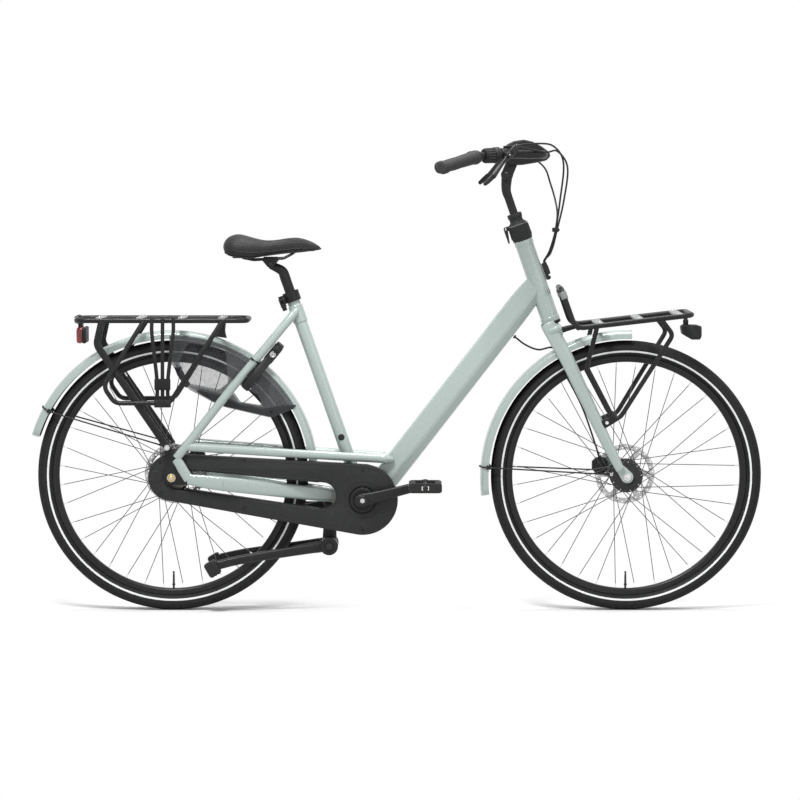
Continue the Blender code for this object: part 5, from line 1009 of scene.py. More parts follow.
def piece(
    name: str, shape: Shape, body: str, slot: str, nodes: Sequence[str] = (), crease: float = CREASE
) -> bpy.types.Object:
    """Makes an object of a shape and sets it on its body.

    Args:
        name: name of the piece.
        shape: its faces.
        body: body that it rides on.
        slot: not used.
        nodes: solids that it stands for.
        crease: angle over which an edge stays sharp, in degrees.

    Returns:
        The object, at the origin.
    """
    mesh = bpy.data.meshes.new(name)
    used = shape.faces >= 0
    mesh.vertices.add(len(shape.points))
    mesh.vertices.foreach_set("co", shape.points.astype(np.float32).ravel())
    mesh.loops.add(int(used.sum()))
    mesh.loops.foreach_set("vertex_index", shape.faces[used].astype(np.int32))
    mesh.polygons.add(len(shape.faces))
    starts = np.concatenate([[0], np.cumsum(used.sum(1))[:-1]])
    mesh.polygons.foreach_set("loop_start", starts.astype(np.int32))
    mesh.polygons.foreach_set("material_index", shape.finish.astype(np.int32))
    mesh.polygons.foreach_set("use_smooth", np.ones(len(shape.faces), bool))
    layer = mesh.uv_layers.new(name="Grid")
    layer.data.foreach_set("uv", shape.grid[used].astype(np.float32).ravel())
    for finish in shape.finishes:
        mesh.materials.append(finish.material())
    mesh.update(calc_edges=True)
    mesh.validate()
    mesh.set_sharp_from_angle(angle=math.radians(crease))
    obj = placed(name, mesh)
    if nodes:
        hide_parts(*nodes)
    if body:
        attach(obj, body)
    log.info("%s: %d faces on %s", name, len(shape.faces), body or "two bodies")
    return obj


def dressed(
    node: str, finish: Finish, body: str, slot: str, edge: float = 0.0006, extra: Shape | None = None
) -> bpy.types.Object:
    """A copy of a solid with merged points, flat faces joined, and softened edges.

    Args:
        node: the solid.
        finish: its finish.
        body: body that it rides on.
        slot: not used.
        edge: width of the softened edges.
        extra: further faces of the same piece.

    Returns:
        The object.
    """
    work = bmesh.new()
    work.from_mesh(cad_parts[node].data)
    bmesh.ops.remove_doubles(work, verts=work.verts, dist=MERGE)
    bmesh.ops.recalc_face_normals(work, faces=work.faces)
    bmesh.ops.dissolve_limit(work, angle_limit=COPLANAR, verts=work.verts, edges=work.edges)
    if edge:
        sharp = [e for e in work.edges if len(e.link_faces) == 2 and e.calc_face_angle() > SHARP]
        bmesh.ops.bevel(
            work, geom=sharp, offset=edge, segments=2, affect="EDGES", profile=0.6, clamp_overlap=True
        )
    bmesh.ops.triangulate(work, faces=[f for f in work.faces if len(f.verts) > 4])
    mesh = bpy.data.meshes.new("copy")
    work.to_mesh(mesh)
    work.free()
    points, faces = taken(mesh)
    grid = np.where(faces[:, :, None] >= 0, points[faces][:, :, (0, 2)], 0.0)
    shape = Shape(points, faces, grid, np.zeros(len(faces), int), [finish])
    if extra is not None:
        shape = shape + extra
    return piece(f"{node}_dressed", shape, body, slot, [node], 34.0)


# Wheels


@dataclass
class Wheel:
    """A laced wheel with its tyre, rim, hub, brake rotor and axle nuts."""

    name: str
    axle: Array
    flanges: tuple[float, float]
    flange_radius: float
    barrel: float
    rotor_y: float
    low_end: tuple[tuple[float, float], ...]
    end_y: float
    nuts: tuple[Finish, Finish]
    nut_radius: float
    axle_body: str
    rim_inner: float = 0.301
    spokes: int = 36
    blocks: int = 96
    tyre_steps: int = 1080
    tread_start: float = 0.3465
    groove_depth: float = 0.0013
    groove_slant: float = 0.028
    line_y: float = 0.0052
    line_width: float = 0.0011
    rotor_half: float = 0.0009
    arms: int = 6
    holes: int = 36

    def around(self, turn: Array, radius: Any, aside: Any = 0.0) -> Array:
        """Places at these angles and radii round the axle, moved aside."""
        turn = np.asarray(turn, float)
        radius = np.broadcast_to(radius, turn.shape)
        aside = np.broadcast_to(aside, turn.shape)
        return self.axle + np.stack([np.cos(turn) * radius, aside, np.sin(turn) * radius], -1)

    def tyre(self) -> Shape:
        """Casing with a grooved tread and a light stripe on each side.

        The section is turned about the axle. On the crown the radius loses the groove's depth
        where the angle, slanted by the distance aside, falls in one of the grooves.

        Returns:
            The tyre.
        """
        outer = np.array([
            (318.4, 10.6), (320.5, 14.2), (323.5, 17.8), (327.4, 21.1), (329.8, 22.3), (332.2, 23.0),
            (337.5, 23.5), (343.0, 22.6), (347.2, 20.4), (350.4, 17.9), (352.8, 15.4), (354.6, 12.8),
            (356.0, 10.0), (357.0, 7.2), (357.5, 5.2), (357.9, 3.0), (358.0, 1.2)
        ])
        inner = np.array([
            (354.6, 0.0), (350.0, 8.5), (342.0, 17.0), (333.0, 19.2), (325.0, 15.5), (319.0, 9.0),
            (313.8, 6.4)
        ])
        half = np.vstack([outer, outer[::-1] * (1, -1)])
        section = np.vstack([half, inner[::-1] * (1, -1), inner[1:]]) * 0.001
        steps = self.tyre_steps
        turn = TAU * np.arange(steps) / steps
        radius = np.broadcast_to(section[:, 0], (steps, len(section))).copy()
        aside = np.broadcast_to(section[:, 1], radius.shape)
        phase = (
            turn[:, None] * self.blocks / TAU + np.abs(aside) / self.groove_slant + 0.5 * (aside > 0)
        ) % 1.0
        cross = eased(0.34, 0.46, phase) * (1 - eased(0.54, 0.66, phase))
        band = (radius > self.tread_start) & (np.arange(len(section)) < len(half))
        line = np.exp(-(((np.abs(aside) - self.line_y) / self.line_width) ** 2))
        radius -= np.where(band, self.groove_depth * np.maximum(cross * (np.abs(aside) > 0.004), line), 0.0)
        shape = lattice(
            self.around(np.broadcast_to(turn[:, None], radius.shape), radius, aside), WALL, round_u=True
        )
        column = np.arange(len(shape.faces)) % len(section)
        tread = (column >= 8) & (column <= 2 * len(outer) - 9)
        shape.painted(TREAD, tread)
        last = 2 * len(outer) - 2
        return shape.painted(STRIPE, np.isin(column, [3, 4, last - 3, last - 4]))

    def rim(self) -> Shape:
        """Rim of one turned section, with its valve."""
        half = [(318.2, 11.6), (317.0, 12.4), (310.5, 11.4), (305.5, 10.6), (302.4, 8.0), (301.0, 4.6)]
        well = [(313.2, -9.4), (313.2, 9.4)]
        section = np.array(half + [(r, -y) for r, y in half[::-1]] + well) * 0.001
        rim = spun(section, self.axle, ASIDE, SATIN, 240, 0.0008)
        foot = self.axle - UP * (self.rim_inner - 0.045)
        head = self.axle - UP * (self.rim_inner + 0.004)
        valve = spun([
            (CORE, 0.0), (0.0018, 0.0), (0.0026, 0.0006), (0.0026, 0.0042), (0.0022, 0.0048),
            (0.0022, 0.0085), (0.0027, 0.0092), (0.003, 0.032), (0.0042, 0.0335), (0.0042, 0.037),
            (0.0028, 0.038), (0.0028, 0.0485), (CORE, 0.0485)
        ], foot, head - foot, BLACKED, 24, closed=False)
        return rim + valve

    def lacing(self) -> Shape:
        """Spokes, each from a hole in its flange to a nipple at the rim.

        Spoke m ends at (m + 1/2) of the rim's parts. Its hole lies 60 degrees further on,
        or back for every other pair, and it leaves the flange on the outside or inside.
        """
        m = np.arange(self.spokes)
        turn = TAU * (m + 0.5) / self.spokes
        flange = np.where(m % 2 == 0, self.flanges[0], self.flanges[1])
        outward = np.sign(flange)
        trailing = np.where((m // 2) % 2 == 0, 1.0, -1.0)
        hole = self.around(turn + trailing * TAU / 6, self.flange_radius - 0.005, flange)
        root = hole + ASIDE * (outward * trailing * 0.0042)[:, None]
        back = hole - ASIDE * (outward * trailing * 0.004)[:, None]
        end = self.around(turn, self.rim_inner + 0.0004, outward * 0.0037)
        way = unit(end - root)
        spokes = bars(root, end - way * 0.008, (0.001, 0.001), SPOKE, 8)
        nipples = bars(end - way * 0.0125, end - way * 0.001, (0.0014, 0.0019), CHROME, 8)
        elbows = bars(root + way * 0.0006, back, (0.0011, 0.0011), STEEL, 8)
        heads = bars(back, back - ASIDE * (outward * trailing * 0.0009)[:, None], (0.0019, 0.0013), STEEL, 10)
        return merged([spokes, nipples, elbows, heads])

    def hub(self) -> Shape:
        """Hub shell turned about the axle, with its two flanges and the rotor's lock ring."""
        low, high = self.flanges
        half, radius, barrel = 0.0032, self.flange_radius, self.barrel

        def flange(y: float) -> list[tuple[float, float]]:
            """Rounded rim of a flange, from its high side to its low one."""
            steps = ((0.009, half), (0.001, half - 0.001), (0.0, 0.0), (0.001, 0.001 - half), (0.009, -half))
            return [(radius - inward, y + out) for inward, out in steps]

        section = [
            (0.01, self.end_y - 0.0006), (0.01, self.rotor_y + 0.004), (0.015, self.rotor_y + 0.004),
            (0.015, high + 0.0065), (0.72 * barrel, high + half + 0.0006), *flange(high),
            (barrel, high - half - 0.003), (barrel - 0.0012, (low + high) / 2), (barrel, low + half + 0.003),
            *flange(low), (0.72 * barrel, low - half - 0.0006), *self.low_end, (0.0052, self.low_end[-1][1]),
            (0.0052, self.end_y - 0.0006)
        ]
        shell = spun(section, self.axle, ASIDE, GLOSSY, 96, 0.0006)
        place = self.axle + ASIDE * self.rotor_y
        lock = spun([
            (0.0105, 0.001), (0.0172, 0.001), (0.0172, 0.0032), (0.015, 0.0042), (0.0105, 0.0042)
        ], place, ASIDE, BLACKED, 64, 0.0003)
        return shell + lock

    def rotor(self) -> Shape:
        """Rotor with a waved edge, drilled ring and six slanted arms.

        The edge's radius is 79.3 mm plus 0.7 mm times a cosine of twelve turns.
        """
        t = TAU * np.arange(288) / 288

        def at(turn: Array, radius: Any) -> Array:
            """Outline points at these angles and radii."""
            return self.around(turn, radius)[:, (0, 2)]

        outlines = [at(t, 0.0793 + 0.0007 * np.cos(12 * t)), disc(self.axle, 0.0155, 40)]
        for i in range(self.arms):
            start = TAU * i / self.arms
            high = np.linspace(start + 0.12, start + 0.9, 14)
            low = np.linspace(start + 1.18, start + 0.42, 6)
            corners = np.vstack([at(high, 0.0648), at(low, 0.0245)])
            outlines.append(bent(corners, 0.002, 2, True))
        k = np.arange(self.holes)
        middles = at(TAU * (k + 0.5) / self.holes, np.where(k % 2 == 0, 0.0748, 0.0698))
        outlines += [disc(middle, 0.0021, 10) for middle in middles]
        half = self.rotor_half
        return plate(outlines, self.rotor_y - half, self.rotor_y + half, ROTOR, edge=0.00015)

    def axle_nuts(self) -> Shape:
        """Axle with a washer and a domed nut on each end plate."""
        face = self.end_y + 0.0063
        total = rod(
            self.axle - ASIDE * (face + 0.0135), self.axle + ASIDE * (face + 0.0135), 0.005, STEEL, 32, 0.0008
        )
        for side, finish in zip((RIGHT, LEFT), self.nuts):
            way = ASIDE * side
            seat = self.axle + way * face
            washer = spun([
                (0.0052, 0.0), (self.nut_radius + 0.0012, 0.0), (self.nut_radius + 0.0012, 0.0014),
                (0.0052, 0.0014)
            ], seat, way, STEEL, 48, 0.0003)
            body = nut(seat + way * 0.0014, way, self.nut_radius, 0.0074, finish)
            dome = knob([
                (0.0001, 0.0138), (0.003, 0.0134), (0.0056, 0.0118), (0.0064, 0.0088)
            ], seat, way, finish, 32)
            total = total + washer + body + dome
        return total

    def make(self) -> None:
        """Makes the wheel's pieces."""
        name, body = self.name, f"{self.name}_wheel"
        for label, shape, rides, slot, node in (
            ("tyre_casing", self.tyre(), body, "tyre_rubber", "tyre"),
            ("rim_and_valve", self.rim(), body, "black_paint", "rim"),
            ("hub_shell", self.hub(), body, "black_paint", "hub"),
            ("spokes", self.lacing(), body, "steel", "hub"),
            ("brake_rotor", self.rotor(), body, "steel", "rotor"),
            ("axle_and_nuts", self.axle_nuts(), self.axle_body, "steel", "axle")
        ):
            piece(f"{name}_{label}", shape, rides, slot, [f"{name}_{node}"])


# Frame


@dataclass
class Frame:
    """Painted frame: head tube, deep down tube, seat tube, stays and end plates."""

    head_radius: float = 0.0255
    seat_radius: float = 0.017
    seat_length: float = 0.576
    down_half: tuple[float, float] = (0.03, 0.0345)
    end_y: float = 0.0675
    plate_thick: float = 0.006

    def down_tube(self) -> Shape:
        """Deep tube with a light upper facet and a dark lower one.

        Its section of twelve corners is carried from the head tube to the crank shell,
        and each corner is rounded by a fixed share of the half width.
        """
        right = np.array([(0.4, 1.0), (0.68, 0.94), (1.0, -0.22), (0.96, -0.44), (0.6, -0.92), (0.28, -1.0)])
        section = bent(np.vstack([right, right[::-1] * (-1, 1)]), 0.2, 5, True) * (1, -1)
        top = on_head(TUBE_JOINT)
        foot = DOWN_TUBE_FOOT
        way = unit(foot - top)
        places = [
            top + way * d for d in (0.0, 0.03, 0.06, 0.11, 0.2)
        ] + [foot - way * 0.06, foot, foot + way * 0.022]
        share = np.array([
            (0.74, 0.82), (0.79, 0.9), (0.86, 0.97), (1, 1), (1, 1), (1, 1), (1.0, 0.98), (0.8, 0.74)
        ])
        return swept(zip(places, share * self.down_half), MINT, section)

    def tube(self, rows: Sequence[Sequence[float]], power: float = 1.0) -> Shape:
        """A smooth tube through rows of drawn x, z, y and two half sizes, in millimetres."""
        return swept(drawn(rows), MINT, ring(28, power), dome=0.002)

    def side(self, side: float) -> Shape:
        """Stays, side tube and end plate of one side."""
        s = side
        chain = self.tube([
            (-548, 355, s * 77, 7, 14), (-500, 348, s * 77.5, 8.4, 17.5), (-456, 343, s * 78, 9, 19),
            (-430, 339.5, s * 74.5, 9, 19), (-350, 329, s * 57.5, 9, 19), (-270, 319, s * 41, 9, 19),
            (-189, 309, s * 24, 9, 19), (-150, 304, s * 21, 9, 18), (-95, 299, s * 20, 9, 16)
        ], 0.72)
        seat = self.tube([
            (-264, 796, s * 10, 11.5, 11.5), (-281, 775, s * 26, 11.5, 11.5), (-343, 700, s * 44, 11.5, 11.5),
            (-437, 588, s * 55, 11.5, 11.5), (-540, 458, s * 72, 11.0, 11.5), (-578, 410, s * 76, 7.3, 11.5)
        ])
        lower = self.tube([
            (-552, 440, s * 73, 11, 11), (-520, 438, s * 71, 11.5, 11.5), (-290, 422, s * 55, 11.5, 11.5),
            (-60, 406.5, s * 39, 11.5, 11.5), (-28, 404.5, s * 35, 11, 11), (-10, 403, s * 32, 6, 6)
        ])
        outline = wrap(
            disc(REAR_AXLE, 0.02), disc((-0.577, 0.411), 0.012), disc((-0.545, 0.355), 0.015),
            disc((-0.6, 0.432), 0.009)
        )
        end = plate(
            [outline, disc((-0.5655, 0.3835), 0.0042, 24)], *layer(s, self.end_y, self.plate_thick), SATIN,
            edge=0.0014
        )
        arm = self.tube([
            (-580, 407, s * 76, 7.2, 11), (-571, 396, s * 76, 7.4, 13), (-560, 377, s * 76.5, 7.2, 13.5),
            (-546, 354, s * 77, 7.0, 13)
        ], 0.85)
        weld = wire(hoop(mm(-455.5, 343.0, s * 78.0), AHEAD, 0.0096, 0.0196), 0.0009, MINT, 8, True)
        return merged([chain, seat, lower, end, arm, weld])

    def trunk(self) -> Shape:
        """Head tube, seat tube, crank shell and bridges."""
        length = HEAD_LENGTH
        r = self.head_radius
        head = spun([
            (0.016, 0.0), (r, 0.0), (r, 0.0115), (r - 0.0012, 0.0135), (r - 0.0012, length - 0.0135),
            (r, length - 0.0115), (r, length), (0.016, length)
        ], HEAD_FOOT, HEAD_AXIS, MINT, 72, 0.0009)
        seat = spun([
            (0.014, 0.0), (self.seat_radius, 0.0), (self.seat_radius, self.seat_length),
            (0.014, self.seat_length)
        ], CRANK_AXLE, SEAT_AXIS, MINT, 64, 0.0006)
        shell = spun([
            (0.0092, -0.0365), (0.0205, -0.0365), (0.0215, -0.035), (0.0215, 0.035), (0.0205, 0.0365),
            (0.0092, 0.0365)
        ], CRANK_AXLE, ASIDE, MINT, 72, 0.0005)
        cups = [
            spun(
                [(0.0092, 0.0), (0.0185, 0.0), (0.0175, 0.0015), (0.0092, 0.0015)],
                CRANK_AXLE + ASIDE * s * 0.0365, ASIDE * s, BLACKED, 48, 0.0004
            )
            for s in (RIGHT, LEFT)
        ]
        bridge = crossbar(mm(-350, 691.5), 0.008, 0.043, MINT)
        low_bridge = crossbar(mm(-128.5, 411), 0.007, 0.044, MINT)
        stand = box(mm(-176, 302), (0.034, 0.044, 0.026), MINT, edge=0.003)
        lug = spun(
            [(0.0172, 0.0), (0.0192, 0.003), (0.0192, 0.046), (0.0172, 0.05)], on_seat(0.492), SEAT_AXIS,
            MINT, 56, 0.001
        )
        plug = knob(
            [(CORE, 0.0), (0.0075, 0.0), (0.0085, 0.0012), (0.0085, 0.0022), (CORE, 0.0022)],
            on_seat(0.171, -0.0155), -ASIDE, MOULDED, 32, 0.0004
        )
        welds = [
            wire(hoop(on_seat(0.533), SEAT_AXIS, 0.0176, 0.0176), 0.001, MINT, 8, True),
            wire(hoop(on_seat(0.0245), SEAT_AXIS, 0.019, 0.02), 0.0026, MINT, 10, True)
        ]
        return merged([head, seat, shell, *cups, bridge, low_bridge, stand, lug, plug, *welds])

    def brake_tab(self) -> Shape:
        """Plate that carries the rear caliper, with its two bolts."""
        outline = wrap(
            disc((-0.566, 0.378), 0.012), disc((-0.524, 0.412), 0.008), disc((-0.514, 0.366), 0.008)
        )
        tab = plate([outline], 0.0679, 0.0727, MINT, edge=0.0012)
        bolts = [screw(mm(x, z, 72.7), ASIDE, BLACKED, 0.0048) for x, z in ((-524, 410), (-516, 369))]
        return merged([tab, *bolts])

    def make(self) -> None:
        """Makes the frame's pieces."""
        tubes = merged([self.down_tube(), self.trunk(), self.side(RIGHT), self.side(LEFT), self.brake_tab()])
        piece("frame_tubes", tubes, "frame", "frame_paint", ["main_frame"])
        cup = spun([
            (0.016, -0.0045), (0.025, -0.0045), (0.0258, -0.0035), (0.0258, -0.0005), (0.016, -0.0005)
        ], HEAD_FOOT, HEAD_AXIS, SATIN, 64, 0.0004)
        piece("lower_head_cup", cup, "frame", "dark_steel", ["headset_ring"])
        self.entry()

    def entry(self) -> None:
        """Makes the cover where the cables enter the head tube.

        A foot lies on the tube, and the box on it is open at its top.
        """
        axes = (HEAD_AHEAD, ASIDE, HEAD_AXIS)
        shapes = [
            box(on_head(0.13, 0.0, 0.0295), (0.009, 0.019, 0.046), MOULDED, axes, 0.003),
            box(on_head(0.133, 0.0, 0.035), (0.011, 0.018, 0.026), CASE, axes, 0.0035),
            box(on_head(0.112, 0.0, 0.0325), (0.007, 0.012, 0.011), MOULDED, axes, 0.0025),
            screw(on_head(0.112, 0.0, 0.036), HEAD_AHEAD, BLACKED, 0.0032)
        ]
        mouth = [
            spun(
                [(0.0026, 0.0), (0.0041, 0.0), (0.0041, 0.008), (0.0026, 0.008)], on_head(0.145, y, 0.035),
                HEAD_AXIS, MOULDED, 24, 0.0005
            )
            for y in (-0.006, -0.0005, 0.005)
        ]
        piece("cable_entry_cover", merged([*shapes, *mouth]), "frame", "black_plastic", ["cable_entry"])


# Mudguards


@dataclass
class Mudguard:
    """A mudguard whose tip flares off its circle, with its wire stay."""

    name: str
    axle: Array
    body: str
    span: tuple[float, float]
    flare: float
    stay_turn: float
    stay_foot: Array
    stay_knee: Array
    radius: float = 0.385
    half: float = 0.0295
    depth: float = 0.021
    wall: float = 0.0016
    wire: float = 0.002

    def crown(self, turn: Array) -> Array:
        """Radius of the crown, which grows with the sixth power towards the tip."""
        along = (self.span[0] - turn) / (self.span[0] - self.span[1])
        return self.radius + self.flare * (1.0 - np.clip(along, 0.0, 1.0)) ** 6

    def section(self, grow: float) -> Array:
        """Half round section as distance aside and drop below the crown."""
        corners = [
            (-1.0, 1.0), (-0.985, 0.78), (-0.93, 0.45), (-0.8, 0.24), (-0.62, 0.12), (-0.34, 0.035),
            (0.0, 0.0)
        ]
        left = np.array(corners) * (self.half, self.depth)
        rows = spline(np.vstack([left, left[-2::-1] * (-1, 1)]), 4)
        way = unit(np.gradient(rows, axis=0))
        return rows + np.stack([-way[:, 1], way[:, 0]], 1) * grow

    def shell(self) -> Shape:
        """Sheet with rolled edges, painted outside and dark inside.

        At each angle the section stands on the crown's radius. The last 30 mm of the tip
        draw in to a rounded end by the root of one less the square of the way along.
        """
        turn = np.linspace(self.span[0], self.span[1], 181)
        outer, inner = self.section(0.0), self.section(self.wall)
        lip = np.array([
            [outer[0, 0] - 0.0004, outer[0, 1] + 0.0011],
            [outer[0, 0] + self.wall + 0.0004, outer[0, 1] + 0.0011]
        ])
        far = lip[::-1] * (-1, 1)
        section = np.vstack([lip[:1], outer, far[1:], far[:1], inner[::-1], lip[1:]])
        t = np.radians(turn)[:, None]
        tip = np.clip((self.span[0] - turn) / 3.2, 0.0, 1.0)[:, None]
        width = 0.55 + 0.45 * np.sqrt(1.0 - (1.0 - tip) ** 2)
        radius = self.crown(turn)[:, None] - section[None, :, 1]
        aside = section[None, :, 0] * width
        points = self.axle + np.stack([
            np.cos(t) * radius, np.broadcast_to(aside, radius.shape), np.sin(t) * radius
        ], -1)
        shape = lattice(points, MINT, folded=True)
        columns = len(section)
        column = np.arange(len(shape.faces)) % columns
        lining = (np.arange(len(shape.faces)) < columns * 180) & (column > columns // 2)
        return shape.painted(MOULDED, lining)

    def stays(self) -> Shape:
        """Wire from one end plate round the guard to the other, with its clips."""
        out = tilted(math.radians(self.stay_turn))[0]
        crown = float(self.crown(np.array(self.stay_turn)))
        off = self.wire + 0.0006
        h, d = self.half, self.depth
        bow = [
            (-h - 1.2 * off, crown - 1.15 * d), (-h - 1.0 * off, crown - 0.75 * d),
            (-0.93 * h - 0.87 * off, crown - 0.45 * d + 0.65 * off),
            (-0.62 * h - 0.35 * off, crown - 0.12 * d + off), (-0.3 * h, crown - 0.02 * d + off),
            (0.0, crown + off)
        ]
        near = [self.axle + out * r + ASIDE * y for y, r in bow]
        line = np.array([self.stay_foot, self.stay_knee, *near])
        whole = np.vstack([line, line[-2::-1] * ACROSS])
        shapes = [wire(bent(whole, 0.012, 5), self.wire, SATIN)]
        for side in (RIGHT, LEFT):
            foot = self.stay_foot * (1, -side, 1)
            way = unit(self.stay_knee - self.stay_foot) * (1, -side, 1)
            shapes.append(rod(foot - way * 0.004, foot + way * 0.02, 0.0031, SATIN, 20))
            shapes.append(screw(foot + ASIDE * side * 0.0018, ASIDE * side, CHROME, 0.0044))
            clip = self.axle + out * (crown - 1.0 * d) + ASIDE * side * (h + 0.002)
            shapes.append(
                box(clip, (0.0105, 0.0055, 0.012), MOULDED, (np.cross(ASIDE, out), ASIDE, out), 0.0012)
            )
        return merged(shapes)

    def make(self) -> None:
        """Makes the mudguard and its stay."""
        shell = self.shell()
        if self.name == "front":
            mount = unit(GUARD_MOUNT - self.axle)
            tab = box(
                self.axle + mount * 0.39595, (0.018, 0.016, 0.0235), MOULDED,
                (np.cross(ASIDE, mount), ASIDE, mount), 0.002
            )
            shell = shell + tab
        piece(f"{self.name}_mudguard_shell", shell, self.body, "frame_paint", [f"{self.name}_mudguard"], 50.0)
        piece(
            f"{self.name}_mudguard_wire", self.stays(), self.body, "dark_steel",
            [f"{self.name}_mudguard_stays"]
        )


# Rear carrier, guards and lock


def deck_plate(
    centre: Array, sizes: tuple[float, float], rib: tuple[float, float], aside: float,
    ways: tuple[Array, Array, Array] = (AHEAD, ASIDE, UP)
) -> Shape:
    """A light plate across a carrier, with two ribs and a screw near each end.

    Args:
        centre: middle of the plate.
        sizes: its length along the bicycle and its width.
        rib: half the distance between the ribs, and their width.
        aside: distance of each screw from the middle.
        ways: ahead, aside and up on the deck.

    Returns:
        The plate.
    """
    ahead, _, up = ways
    ribs = [
        box(centre + ahead * d + up * 0.0029, (0.003, rib[1], 0.0016), GREY, ways, 0.0006)
        for d in (-rib[0], rib[0])
    ]
    screws = [screw(centre + ASIDE * s * aside + up * 0.0031, up, CHROME, 0.0034) for s in (RIGHT, LEFT)]
    return merged([box(centre, (*sizes, 0.0064), GREY, ways, 0.0022), *ribs, *screws])


@dataclass
class RearCarrier:
    """Carrier of bent tube with four light cross plates, straps and a tail light."""

    rail_z: float = 772.0
    rail_y: float = 76.0
    rail: float = 0.007
    loop: float = 0.0062
    loop_y: float = 90.0
    plates: tuple[float, ...] = (-779.0, -673.0, -564.0, -458.0)
    straps: tuple[float, ...] = (-640.0, -612.0, -584.0)

    def tubes(self) -> Shape:
        """Rail, legs and hanging loops, each a round section along a bent line."""
        z, y = self.rail_z, self.rail_y
        corners = [mm(-392, z, -y), mm(-392, z, y), mm(-840, z, y), mm(-840, z, -y)]
        shapes = [carried(bent(corners, 0.03, 10, True), self.rail, SATIN, ring(20), UP, True)]
        for s in (RIGHT, LEFT):
            leg = bent([mm(-772, 771, s * y), mm(-786, 709, s * (y + 2)), mm(-600, 436, s * 81.75)], 0.03, 10)
            sizes = np.linspace((0.0072, 0.0092), (0.0078, 0.0095), len(leg))
            shapes.append(carried(leg, sizes, SATIN, ring(20, 0.8), dome=0.004))
            loop = [
                mm(-662, 771, s * (y + 1)), mm(-768, 600, s * self.loop_y), mm(-738, 556, s * self.loop_y),
                mm(-594, 556, s * self.loop_y), mm(-456, 771, s * (y + 1))
            ]
            shapes.append(carried(bent(loop, 0.03, 10), self.loop, SATIN, ring(18), dome=0.002))
            shapes.append(screw(mm(-602, 439, s * 90), ASIDE * s, CHROME, 0.0052))
            shapes.append(rod(mm(-602, 439, s * 88.6), mm(-602, 439, s * 90.2), 0.0075, STEEL, 28, 0.0003))
        foot = [
            (-466, 725, 0, 18, 14), (-465.5, 728.5, 0, 17, 13.8), (-463, 742, 0, 11, 14),
            (-460, 760, 0, 9.5, 21), (-458, 775, 0, 9.5, 30)
        ]
        shapes.append(swept(drawn(foot), SATIN, ring(24, 0.7), 6, AHEAD))
        return merged(shapes)

    def cross_plates(self) -> Shape:
        """Light plates across the rails."""
        places = [mm(x, self.rail_z + 4.4) for x in self.plates]
        return merged(deck_plate(p, (0.021, 0.162), (0.0045, 0.118), 0.066) for p in places)

    def strap_set(self) -> Shape:
        """Three elastic straps hooked over the rail, with their two end bars."""
        shapes = []
        for x in self.straps:
            t = np.radians(np.linspace(-20.0, 180.0, 18))
            over = np.stack([
                np.full(18, x * 0.001), -self.rail_y * 0.001 + 0.0083 * np.cos(t),
                self.rail_z * 0.001 + 0.0083 * np.sin(t)
            ], 1)
            y = -0.001 * self.loop_y - 0.0075
            foot = -612.0 + (x + 612.0) * 0.5
            line = spline([
                over[-1], mm(x, 740, -88.5), mm((x + foot) / 2, 680, -95.5), mm(foot, 612, -99.5),
                mm(foot, 552, y * 1000)
            ], 8)
            shapes.append(
                carried(np.vstack([over[:-1], line]), (0.005, 0.0012), ELASTIC, ring(16, 0.45), AHEAD)
            )
        shapes.append(box(mm(-612, 606, -101.3), (0.042, 0.0046, 0.03), ELASTIC, edge=0.0018))
        shapes.append(box(mm(-612, 556, -99.8), (0.044, 0.0068, 0.021), MOULDED, edge=0.0024))
        for x in self.straps:
            shapes.append(
                box(mm(-612 + (x + 612) * 0.5, 556, -103.4), (0.009, 0.0016, 0.012), MOULDED, edge=0.0006)
            )
        return merged(shapes)

    def tail_light(self) -> Shape:
        """Red lens in a black housing that hangs from the rail."""
        centre = mm(-829, 731)
        housing = box(centre + AHEAD * 0.007, (0.01, 0.088, 0.042), MOULDED, edge=0.0035)
        lens = plate(
            [block(0.0445, 0.0215, 0.014, 8)], -0.0135, 0.003, RED, (centre, ASIDE, UP, AHEAD), 0.0055
        )
        band = [disc((y, 0.0), 0.0085, 32) for y in (-0.021, 0.021)]
        eyes = [plate([r], -0.0145, -0.013, LENS, (centre, ASIDE, UP, AHEAD), 0.0006) for r in band]
        bracket = box(mm(-834, 757), (0.0105, 0.046, 0.022), MOULDED, edge=0.0026)
        hooks = [
            carried(
                np.array([
                    mm(-840, 772, y) + 0.0098 * np.array((math.cos(t), 0, math.sin(t)))
                    for t in np.radians(np.linspace(-150, 150, 20))
                ]),
                (0.006, 0.0013), MOULDED, ring(14, 0.5)
            )
            for y in (-17.0, 17.0)
        ]
        return merged([housing, lens, *eyes, bracket, *hooks])

    def make(self) -> None:
        """Makes the carrier's pieces."""
        piece("rear_carrier_tubes", self.tubes(), "frame", "black_paint", ["rear_carrier"])
        piece("rear_carrier_plates", self.cross_plates(), "frame", "black_paint", ["rear_carrier"])
        piece("elastic_straps", self.strap_set(), "frame", "strap_rubber", ["carrier_straps"])
        piece("tail_light_body", self.tail_light(), "frame", "red_lens", ["tail_light"])


